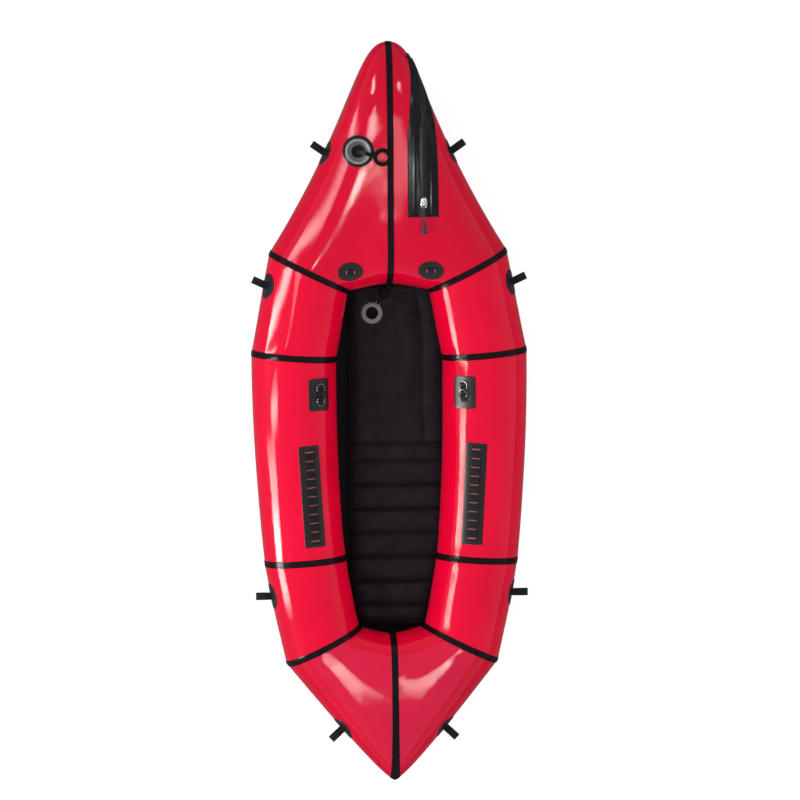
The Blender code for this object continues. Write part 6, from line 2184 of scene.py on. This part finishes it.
@dataclass
class MatValve:
    """Valve of the mat: pale flange with a hinge, a cup, and the plug laid open."""

    origin: tuple = (-0.050012, 0.318, 0.0538)
    yaw: float = 58.0
    hinge_reach: float = 0.039
    hinge_height: float = 0.0052
    height: float = 0.0036
    bore: float = 0.0190
    strap_width: float = 0.010

    def make(self) -> None:
        """Build flange, cup and plug."""
        turn = math.radians(self.yaw)
        frame = frame_at(Vector(self.origin), UP, Vector((math.cos(turn), math.sin(turn), 0)))
        hinge = frame @ Matrix.Translation((0, self.hinge_reach, self.hinge_height))
        inner = self.bore + 0.0003
        profile = [
            (inner, 0.0004), (inner, self.height), (0.0212, self.height), (0.0218, 0.0031), (0.0230, 0.0031),
            (0.0236, self.height), (0.0310, self.height), (0.0350, 0.0018), (0.0360, 0.0012), (0.0360, 0.0002),
            (inner, 0.0002),
        ]
        flange = turned_object("mat_flange_disc", profile, frame, PALE_PLASTIC, 0.0004, 96)
        parts = [flange]
        for side in (-1, 1):
            near, far = sorted((side * 0.0053, side * 0.0079))
            low, high = (near, -0.008, -0.0036), (far, 0.0036, 0.0018)
            parts.append(bar_object(f"mat_ear_{side + 1}", low, high, hinge, PALE_PLASTIC))
        parts.append(wire_object("mat_hinge_bar", [(-0.0066, 0, 0), (0.0066, 0, 0)], 0.0016, hinge, PALE_PLASTIC))
        piece = joined("mat_valve_flange_moulded", parts)
        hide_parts("mat_valve_flange")
        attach(piece, "hull")
        LOG.info("mat valve flange")
        lip = self.height + 0.0003
        wall = self.bore - 0.0014
        depth = self.height - 0.014
        profile = [
            (0, depth + 0.0014), (wall, depth + 0.0014), (wall, lip + 0.0010),
            (self.bore + 0.002, lip + 0.0010), (self.bore + 0.002, lip), (self.bore, lip), (self.bore, depth),
            (0, depth),
        ]
        cup = turned_object("mat_valve_cup_rubber", profile, frame, BLACK_RUBBER, 0.0004, 80)
        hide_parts("mat_valve_cup")
        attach(cup, "hull")
        LOG.info("mat valve cup")
        self.plug(hinge)

    def plug(self, hinge: Matrix) -> None:
        """Plug on its strap, with a pull tab."""
        half = self.strap_width / 2
        low = self.hinge_height - (self.height + 0.0003 + 0.0010 + 0.0003)
        head_low = low - 0.0020
        reach = self.hinge_reach
        centre = hinge @ Matrix.Translation((0, reach, 0))
        profile = [
            (0, low + 0.0062), (0.0125, low + 0.0062), (0.0134, low + 0.0070), (0.0146, low + 0.0068),
            (0.0154, low + 0.0056), (0.0160, low + 0.0040), (0.0155, low + 0.0022), (0.0160, low),
            (0.0182, low), (0.0182, head_low), (0, head_low),
        ]
        head = turned_object("mat_plug_head", profile, centre, BLACK_RUBBER, 0.0005, 72)
        near, far = (-half, 0.0020, head_low), (half, reach - 0.012, head_low + 0.0018)
        strap = bar_object("mat_plug_strap", near, far, hinge, BLACK_RUBBER)
        near, far = (-0.006, reach + 0.015, head_low), (0.006, reach + 0.0342, low)
        tab = bar_object("mat_plug_tab", near, far, hinge, BLACK_RUBBER, 0.0008)
        grips = []
        for i, y in enumerate(reach + 0.0225 + np.arange(4) * 0.0028):
            near, far = (-0.0048, y, low - 0.0004), (0.0048, y + 0.0012, low + 0.0007)
            grips.append(bar_object(f"mat_plug_grip_{i}", near, far, hinge, BLACK_RUBBER))
        eye = wire_object("mat_plug_eye", [(-half, 0, 0), (half, 0, 0)], 0.0034, hinge, BLACK_RUBBER, sides=24)
        piece = joined("mat_valve_plug_rubber", [head, strap, tab, eye, *grips])
        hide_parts("mat_valve_plug")
        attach(piece, "mat_valve_plug")
        LOG.info("mat valve plug")


# Cargo zip


@dataclass
class CargoZip:
    """Watertight zip of the bow: coated band, raised chain, slider, ring and toggle."""

    skin: Skin
    x: float = 0.110
    aft_end: float = 0.660
    straight_fore: float = 0.945
    fore_end: float = 1.190
    overlap: float = 0.016
    width: float = 0.104
    tip_width: float = 0.050
    lift: float = 0.0014
    thickness: float = 0.0015
    bed_width: float = 0.023
    bed_height: float = 0.0008
    bead_width: float = 0.0070
    bead_height: float = 0.0022
    leans: tuple = ((0.43, 52.0), (0.71, 62.0), (1.0, 74.0))
    folds: tuple = ((0.56, 0.055, 0.0007), (0.44, 0.04, -0.0004))
    tooth_pitch: float = 0.0042
    tooth_height: float = 0.00016
    slider_origin: tuple = (0.110665, 0.711632, 0.316495)
    slider_axis: tuple = (0.0, 0.999049, 0.0436)
    slider_x: tuple = (0.996914, 0.003423, -0.078424)
    pull_height: float = 0.0102
    ring_radius: float = 0.0095
    ring_wire: float = 0.0011
    cord_radius: float = 0.0015
    cord_length: float = 0.036
    toggle_length: float = 0.050

    def make(self) -> None:
        """Build band, chain, slider, ring and toggle."""
        across, along = Vector(self.slider_x), Vector(self.slider_axis)
        self.level = across.cross(along).normalized()
        self.slider_frame = axes_frame(self.slider_origin, self.slider_x, self.level)
        self.high = self.skin.seat(self.x, self.straight_fore).translation
        self.start_lean = math.degrees(math.atan2(self.x, self.high.z - self.middle(self.straight_fore).z))
        straight = self.straight(self.straight_fore)
        self.standoff = (straight - self.high).dot(self.level)
        self.band()
        self.chain()
        self.slider()
        self.ring()
        self.toggle()

    def straight(self, y: float) -> Vector:
        """Point of the chain's straight line at a place along the boat."""
        origin, axis = Vector(self.slider_origin), Vector(self.slider_axis)
        return origin + axis * ((y - origin.y) / axis.y)

    def middle(self, y: float) -> Vector:
        """Point in the centre plane half way up the bow."""
        nose = self.skin.hull.bow_nose
        return Vector((0, y, nose.middle((y - nose.inner) / nose.length)))

    def round_share(self, y: float) -> float:
        """Share of the way from the straight stretch to the fore end."""
        return max((y - self.straight_fore) / (self.fore_end - self.straight_fore), 0)

    def lean(self, share: float) -> float:
        """Angle from upright at a share of the way round the bow."""
        leans = ((0.0, self.start_lean), *self.leans)
        shares, angles = zip(*leans)
        return math.radians(float(np.interp(share, shares, angles)))

    def seat(self, y: float) -> Matrix:
        """Frame on the hull under the zip."""
        share = self.round_share(y)
        if share == 0:
            return self.skin.seat(self.x, y)
        lean = self.lean(share)
        return self.skin.seat_toward(self.middle(y), Vector((math.sin(lean), 0, math.cos(lean))))

    def skin_frame(self, y: float) -> Matrix:
        """Frame on the hull with its Y along the zip."""
        seat = self.seat(y)
        ahead = self.seat(y + 0.005).translation - self.seat(y - 0.005).translation
        return frame_at(seat.translation, seat.to_3x3() @ UP, ahead)

    def frame(self, y: float) -> Matrix:
        """Frame on the top of the zip's bed: Y along the zip and Z out of the hull."""
        if y <= self.straight_fore:
            return frame_at(self.straight(y), self.level, Vector(self.slider_axis))
        frame = self.skin_frame(y)
        turn = min(self.round_share(y) * 3, 1)
        normal = mix(self.level, frame.to_3x3() @ UP, turn).normalized()
        top = self.lift + self.thickness + 0.0006
        standoff = mix(self.standoff, top + self.bed_height * 2, turn)
        return frame_at(frame.translation + normal * standoff, normal, frame.to_3x3() @ FORWARD)

    def places(self, pitch: float, end: float) -> np.ndarray:
        """Places along the boat from the aft end, at a pitch."""
        return np.linspace(self.aft_end, end, int((end - self.aft_end) / pitch))

    def band(self) -> None:
        """Coated band, welded down at a lower border, with a few folds along it."""
        border = [(-1.0, -0.0008), (-1.0, 0.0006), (-0.985, 0.0012), (-0.90, 0.0013)]
        border += [(-0.875, 0.0014), (-0.865, 0.0024), (-0.85, 0.0028)]
        face = [(s, 0.0029) for s in np.linspace(-0.80, 0.80, 33)]
        profile = [*border, *face, *((-s, h) for s, h in reversed(border))]
        end = self.fore_end + self.overlap
        places = list(self.places(0.006, end))
        heads = [
            (places[0], 0.0, -0.0008), (places[0], 0.0, 0.0010), (places[0] + 0.0004, 0.0, 0.0013),
            (places[0] + 0.0045, 0.3, 0.0014), (places[0] + 0.0056, 0.6, 0.0022),
            (places[0] + 0.0064, 1.0, 0.0029),
        ]
        stations = heads + [(y, 1.0, 0.0029) for y in places if y > heads[-1][0] + 0.002]
        rows = []
        for y, full, cap in stations:
            frame = self.skin_frame(y)
            width = mix(self.width, self.tip_width, min(self.round_share(y), 1) ** 3)
            row = []
            for share, height in profile:
                x = share * width / 2
                near = max(1 - abs(share) / 0.80, 0)
                fold = sum(depth * math.exp(-(((abs(share) - at) / spread) ** 2)) for at, spread, depth in self.folds)
                fold += 0.00025 * float(ripple(np.array([x]), np.array([y]), 0.030, 57, 3.0)[0]) * min(near * 2, 1)
                row.append(self.skin.drape(frame, x, 0, min(height, cap) + (fold * full if abs(share) < 0.8 else 0)))
            rows.append(row)
        band = grid_object("zip_tape_band", np.array(rows), ZIP_COATING)
        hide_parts("zip_tape")
        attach(band, "hull")
        LOG.info("zip band")

    def chain(self) -> None:
        """Raised bed and bead of the chain, with its parting line and fine teeth."""
        bed, bead, high = self.bed_width / 2, self.bead_width / 2, self.bead_height
        top = self.lift + self.thickness
        half = [(bed * 0.80, 0.0), (bead * 1.25, 0.0001), (bead, 0.0004)]
        half += [(bead * 0.86, high * 0.85), (bead * 0.62, high), (0.00055, high * 0.97)]
        outline = [(-x, z) for x, z in half] + [(0.0, high * 0.58)] + half[::-1]
        rows = []
        for y in self.places(0.00105, self.fore_end):
            frame = self.frame(y)
            under = [self.skin.drape(frame, x, 0, top) for x in (-bed * 1.12, bed * 1.12)]
            edges = [self.skin.drape(frame, x, 0, top + 0.0003) for x in (-bed * 1.06, bed * 1.06)]
            tooth = self.tooth_height * math.cos(2 * math.pi * y / self.tooth_pitch)
            crown = [frame @ Vector((x, 0, z + (tooth if z > high * 0.8 else 0))) for x, z in outline]
            rows.append([under[0], edges[0], *crown, edges[1], under[1]])
        chain = grid_object("zip_chain_bead", np.array(rows), CHAIN_RUBBER)
        face_outward(chain)
        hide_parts("zip_chain")
        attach(chain, "hull")
        LOG.info("zip chain")

    def slider(self) -> None:
        """Cast slider: a waisted plate over two side flanges, with a bridge on top."""
        half = np.array([0.0125, 0.0150])
        base, top = 0.0003, 0.0088
        turns = full_turn(64)

        def outline(scale: float, shrink: float, z: float) -> list[tuple]:
            """Waisted oval at a height."""
            pinch = 1 - 0.10 * np.exp(-((np.sin(turns) / 0.35) ** 2))
            x = squared(np.cos(turns), 0.85) * (half[0] * scale - shrink) * pinch
            y = squared(np.sin(turns), 0.85) * (half[1] * scale - shrink)
            return [(a, b, z) for a, b in zip(x, y)]

        levels = [
            (1.0, 0.0004, base), (1.0, 0.0, base + 0.0006), (1.0, 0.0, 0.0056), (1.0, 0.0004, 0.0068),
            (1.0, 0.0014, 0.0080), (1.0, 0.0028, 0.0086), (1.0, 0.0045, top), (0.5, 0.0, top), (0.05, 0.0, top),
        ]
        rows = [placed(self.slider_frame, outline(scale, shrink, z)) for scale, shrink, z in levels]
        plate = grid_object("slider_plate", np.array(rows), STEEL, wrap=True)
        face_outward(plate)
        span, rise = 0.0085, 0.0055
        arch = [(0, span * math.cos(a), top + rise * math.sin(a) - 0.001) for a in np.linspace(0, math.pi, 19)]
        bridge = wire_object("slider_bridge", arch, 0.0014, self.slider_frame, STEEL)
        piece = joined("zip_slider_cast", [plate, bridge])
        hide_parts("zip_slider")
        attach(piece, "zip_slider")
        LOG.info("zip slider")

    def ring(self) -> None:
        """Wire ring through the slider's bridge."""
        hinge = self.slider_frame @ Matrix.Translation((0, 0, self.pull_height))
        loop = [(self.ring_radius * math.cos(a), self.ring_radius * (math.sin(a) - 1), 0) for a in full_turn(48)]
        ring = wire_object("zip_pull_ring_wire", loop, self.ring_wire, hinge, STEEL, cyclic=True)
        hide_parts("zip_pull_ring")
        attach(ring, "zip_pull_ring")
        LOG.info("zip ring")

    def toggle(self) -> None:
        """Cord with an eye round the ring, and the flared rubber toggle on its end."""
        hinge = self.slider_frame @ Matrix.Translation((0, -2 * self.ring_radius, self.pull_height))
        eye_radius = 0.0046 - self.cord_radius
        eye = [(0, eye_radius * math.cos(a), eye_radius * math.sin(a)) for a in full_turn(32)]
        loop = wire_object("zip_toggle_eye", eye, self.cord_radius, hinge, TOGGLE_CORD, cyclic=True)
        neck = -eye_radius - self.cord_length
        route = [hinge @ Vector((0, y, 0)) for y in np.linspace(-eye_radius, neck - 0.001, 49)]
        turns = full_turn(16)
        strands = []
        for i, point in enumerate(route):
            twist = i * 0.42
            radii = self.cord_radius * (0.90 + 0.10 * np.cos(2 * (turns - twist)))
            offsets = [Vector((r * math.cos(a), 0, r * math.sin(a))) for a, r in zip(turns, radii)]
            strands.append([point + hinge.to_3x3() @ offset for offset in offsets])
        cord = lofted("zip_toggle_cord", np.array(strands), TOGGLE_CORD)
        stations = [
            (0.0, 0.0050, 0.0044), (0.01, 0.0075, 0.0062), (0.05, 0.0100, 0.0068), (0.10, 0.0108, 0.0070),
            (0.25, 0.0112, 0.0064), (0.45, 0.0130, 0.0062), (0.66, 0.0168, 0.0064), (0.82, 0.0225, 0.0068),
            (0.90, 0.0272, 0.0070), (0.95, 0.0282, 0.0070), (0.985, 0.0272, 0.0062), (1.0, 0.0240, 0.0044),
        ]
        rows = []
        for share, width, thickness in stations:
            y = neck - self.toggle_length * share
            row = []
            for a in full_turn(40):
                x = squared(math.cos(a), 0.5) * width / 2
                z = squared(math.sin(a), 0.6) * thickness / 2
                row.append(hinge @ Vector((x, y, z)))
            rows.append(row)
        grip = lofted("zip_toggle_grip", np.array(rows), TOGGLE_RUBBER)
        for piece in (loop, cord, grip):
            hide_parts("zip_toggle")
            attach(piece, "zip_toggle")
        LOG.info("zip toggle")


# Studio


@dataclass(frozen=True)
class Lamp:
    """Soft strip of light between two points, kept to the pieces whose names start as it says.

    A streak shows in the coating only. Any other lamp lights the colours and leaves no streak.
    The level is how bright the strip looks, where 1 is white.
    """

    name: str
    start: tuple
    end: tuple
    width: float
    level: float
    colour: tuple = WHITE
    only: tuple = ()
    streak: bool = True
    aim_height: float = 0.25
    aim_share: float = 0.4

    def make(self) -> None:
        """Build the strip, turned towards a point in the boat's centre plane."""
        run = Vector(self.end) - Vector(self.start)
        middle = (Vector(self.start) + Vector(self.end)) / 2
        data = bpy.data.lights.new(self.name, "AREA")
        data.shape = "RECTANGLE"
        data.size, data.size_y = self.width, run.length
        data.energy = self.level * math.pi * self.width * run.length
        data.color = self.colour
        away = middle - Vector((0, self.aim_share * middle.y, self.aim_height))
        lamp = bpy.data.objects.new(self.name, data)
        lamp.matrix_world = frame_at(middle, away - run * (away.dot(run) / run.length_squared), run)
        lamp.visible_diffuse = not self.streak
        lamp.visible_glossy = self.streak
        bpy.context.scene.collection.objects.link(lamp)
        if self.only:
            lamp.light_linking.receiver_collection = self.pieces()

    def pieces(self) -> bpy.types.Collection:
        """Pieces that the lamp is kept to."""
        group = bpy.data.collections.new(self.name + "_pieces")
        for obj in bpy.data.objects:
            if obj.type == "MESH" and obj.name.startswith(self.only):
                group.objects.link(obj)
        return group


STERN = ("stern_panel",)
BOW = ("bow_panel", "zip_")
RED_PANELS = (*SIDES, *STERN, "bow_panel")
RING_PATCHES = ("d_ring_patch",)
FITTINGS = ("valve_", "mat_valve", "d_ring_fore", "d_ring_aft")
SKY_BLUE = (0.30, 0.42, 1.0)
PALE_GREEN = (0.94, 1.0, 0.90)
LAMPS = (
    Lamp("port_key", (-3.3, -1.4, 2.9), (-3.3, 0.5, 2.9), 1.8, 6.2, streak=False),
    Lamp("port_side_key", (-3.3, -1.4, 2.9), (-3.3, 0.5, 2.9), 1.8, 2.5, only=SIDES, streak=False),
    Lamp("port_wall", (-4.0, -1.3, 1.1), (-4.0, 0.4, 1.1), 0.9, 3.5, WARM, streak=False),
    Lamp("top_key", (0.4, -0.9, 4.0), (0.4, 0.7, 4.0), 1.5, 1.5, streak=False),
    Lamp("middle_key", (0.4, -0.6, 4.0), (0.4, 0.5, 4.0), 1.5, 4.2, only=SIDES, streak=False),
    Lamp("starboard_wall", (4.0, -1.3, 1.8), (4.0, 0.5, 1.8), 1.2, 2.6, streak=False),
    Lamp("side_core", (-4.0, -1.32, 1.0), (-4.0, -0.77, 1.0), 1.5, 22, WARM),
    Lamp("quarter_core", (-4.0, -1.94, 0.85), (-4.0, -1.07, 0.85), 1.5, 33, WARM),
    Lamp("shoulder_core", (-4.0, 0.65, 0.1), (-4.0, 1.02, 3.4), 0.17, 42, WARM, only=RED_PANELS),
    Lamp("flank_core", (-4.0, 0.48, 7.8), (-4.0, 1.97, 1.6), 0.22, 20, only=RED_PANELS),
    Lamp("starboard_core", (-4.0, -0.56, 1.5), (-4.0, -0.56, 3.2), 0.24, 30, WARM),
    Lamp("valve_glint", (-0.38, 0.05, 4.0), (-0.07, -0.055, 4.0), 0.17, 64, only=BOW),
    Lamp("bow_crown", (-0.22, 0.27, 4.0), (-0.95, 0.94, 4.0), 0.15, 42, only=BOW),
    Lamp("tip_port", (-1.85, 1.75, 4.0), (-3.10, 2.85, 4.0), 0.30, 40, only=BOW),
    Lamp("bow_starboard", (0.47, 0.52, 4.0), (0.38, -0.16, 4.0), 0.11, 17, only=BOW),
    Lamp("tip_starboard", (1.15, 1.50, 4.0), (1.55, 2.00, 4.0), 0.25, 34, only=BOW),
    Lamp("stern_port", (-0.22, -1.18, 4.0), (-1.45, -2.21, 4.0), 0.055, 80, only=STERN),
    Lamp("stern_starboard", (0.50, -0.93, 4.0), (1.12, -1.49, 4.0), 0.08, 62, only=STERN),
    Lamp("stern_sky", (0.0, -6.0, 3.6), (0.0, 2.5, 4.6), 9.0, 1.4, SKY_BLUE, only=STERN),
    Lamp("patch_sheen", (-4.0, -0.2, 1.8), (-4.0, 0.6, 1.8), 1.5, 16, PALE_GREEN, only=RING_PATCHES),
    Lamp("valve_sky", (-3.0, 1.6, 4.0), (-4.0, 1.2, 1.2), 0.7, 26, only=FITTINGS),
)


@dataclass
class Studio:
    """White floor, soft lamps and the camera over the boat."""

    distance: float = 60.0
    scale: float = 0.003371
    image: int = 800
    centre: tuple = (389.6, 409.0)
    height: float = 0.1456
    toward: tuple = (-0.070, 0.090, 1.0)
    roll: float = 0.64
    wall: float = 0.90
    ceiling: float = 0.46
    floor_half: float = 12.0
    floor_drop: float = 0.0005

    def camera(self) -> None:
        """Long camera above the boat, a little to port and to the bow."""
        z_axis = Vector(self.toward).normalized()
        y_axis = (FORWARD - z_axis * FORWARD.dot(z_axis)).normalized()
        x_axis = y_axis.cross(z_axis)
        turn = Matrix.Rotation(math.radians(-self.roll), 3, z_axis)
        x_axis, y_axis = turn @ x_axis, turn @ y_axis
        right = (self.image / 2 - self.centre[0]) * self.scale
        raised = (self.centre[1] - self.image / 2) * self.scale
        target = Vector((0, 0, self.height)) + x_axis * right + y_axis * raised
        data = bpy.data.cameras.new("view_camera")
        data.sensor_width = 36
        data.lens = 36 * self.distance / (self.image * self.scale)
        data.clip_end = 200
        camera = bpy.data.objects.new("view_camera", data)
        frame = Matrix((x_axis, y_axis, z_axis)).transposed().to_4x4()
        frame.translation = target + z_axis * self.distance
        camera.matrix_world = frame
        bpy.context.scene.collection.objects.link(camera)
        bpy.context.scene.camera = camera

    def world(self) -> None:
        """Dim room, brighter towards its walls, and white to the camera."""
        world = bpy.data.worlds.new("studio_world")
        world.use_nodes = True
        tree = world.node_tree

        def node(kind: str, **values: object) -> bpy.types.Node:
            """Add a node with values for its inputs."""
            made = tree.nodes.new("ShaderNode" + kind)
            for key, value in values.items():
                made.inputs[key.replace("_", " ")].default_value = value
            return made

        light = tree.nodes["Background"]
        light.inputs["Color"].default_value = (1, 1, 1, 1)
        split = node("SeparateXYZ")
        tree.links.new(node("TexCoord").outputs["Generated"], split.inputs[0])
        room = node("MapRange", From_Min=0.0, From_Max=0.9, To_Min=self.wall, To_Max=self.ceiling)
        tree.links.new(split.outputs[2], room.inputs["Value"])
        seen = node("MapRange", To_Max=1.0)
        tree.links.new(node("LightPath").outputs["Is Camera Ray"], seen.inputs["Value"])
        tree.links.new(room.outputs[0], seen.inputs["To Min"])
        tree.links.new(seen.outputs[0], light.inputs["Strength"])
        bpy.context.scene.world = world
        bpy.context.scene.view_settings.view_transform = "Standard"

    def make(self) -> None:
        """Set up floor, world, lamps and camera."""
        mesh = bpy.data.meshes.new("studio_floor")
        bm = bmesh.new()
        bmesh.ops.create_grid(bm, x_segments=8, y_segments=8, size=self.floor_half)
        bmesh.ops.translate(bm, verts=bm.verts, vec=(0, 0, -self.floor_drop))
        bm.to_mesh(mesh)
        bm.free()
        floor = object_from("studio_floor", mesh, FLOOR_WHITE)
        self.world()
        for lamp in LAMPS:
            lamp.make()
        self.camera()


def main() -> None:
    """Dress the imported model, piece by piece."""
    logging.basicConfig(level=logging.INFO, format="%(name)s: %(message)s")
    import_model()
    hull = HullForm()
    skin = Skin(hull)
    HullPanels(skin).make()
    SeamTapes(skin).make()
    FloorSheet(skin).make()
    FloorMat().make()
    MainValve(skin).make()
    MatValve().make()
    CargoZip(skin).make()
    BowLashings(skin).make()
    TieDowns(skin).make()
    DRings(skin).make()
    Ladders(skin).make()
    Studio().make()


if __name__ == "__main__":
    main()
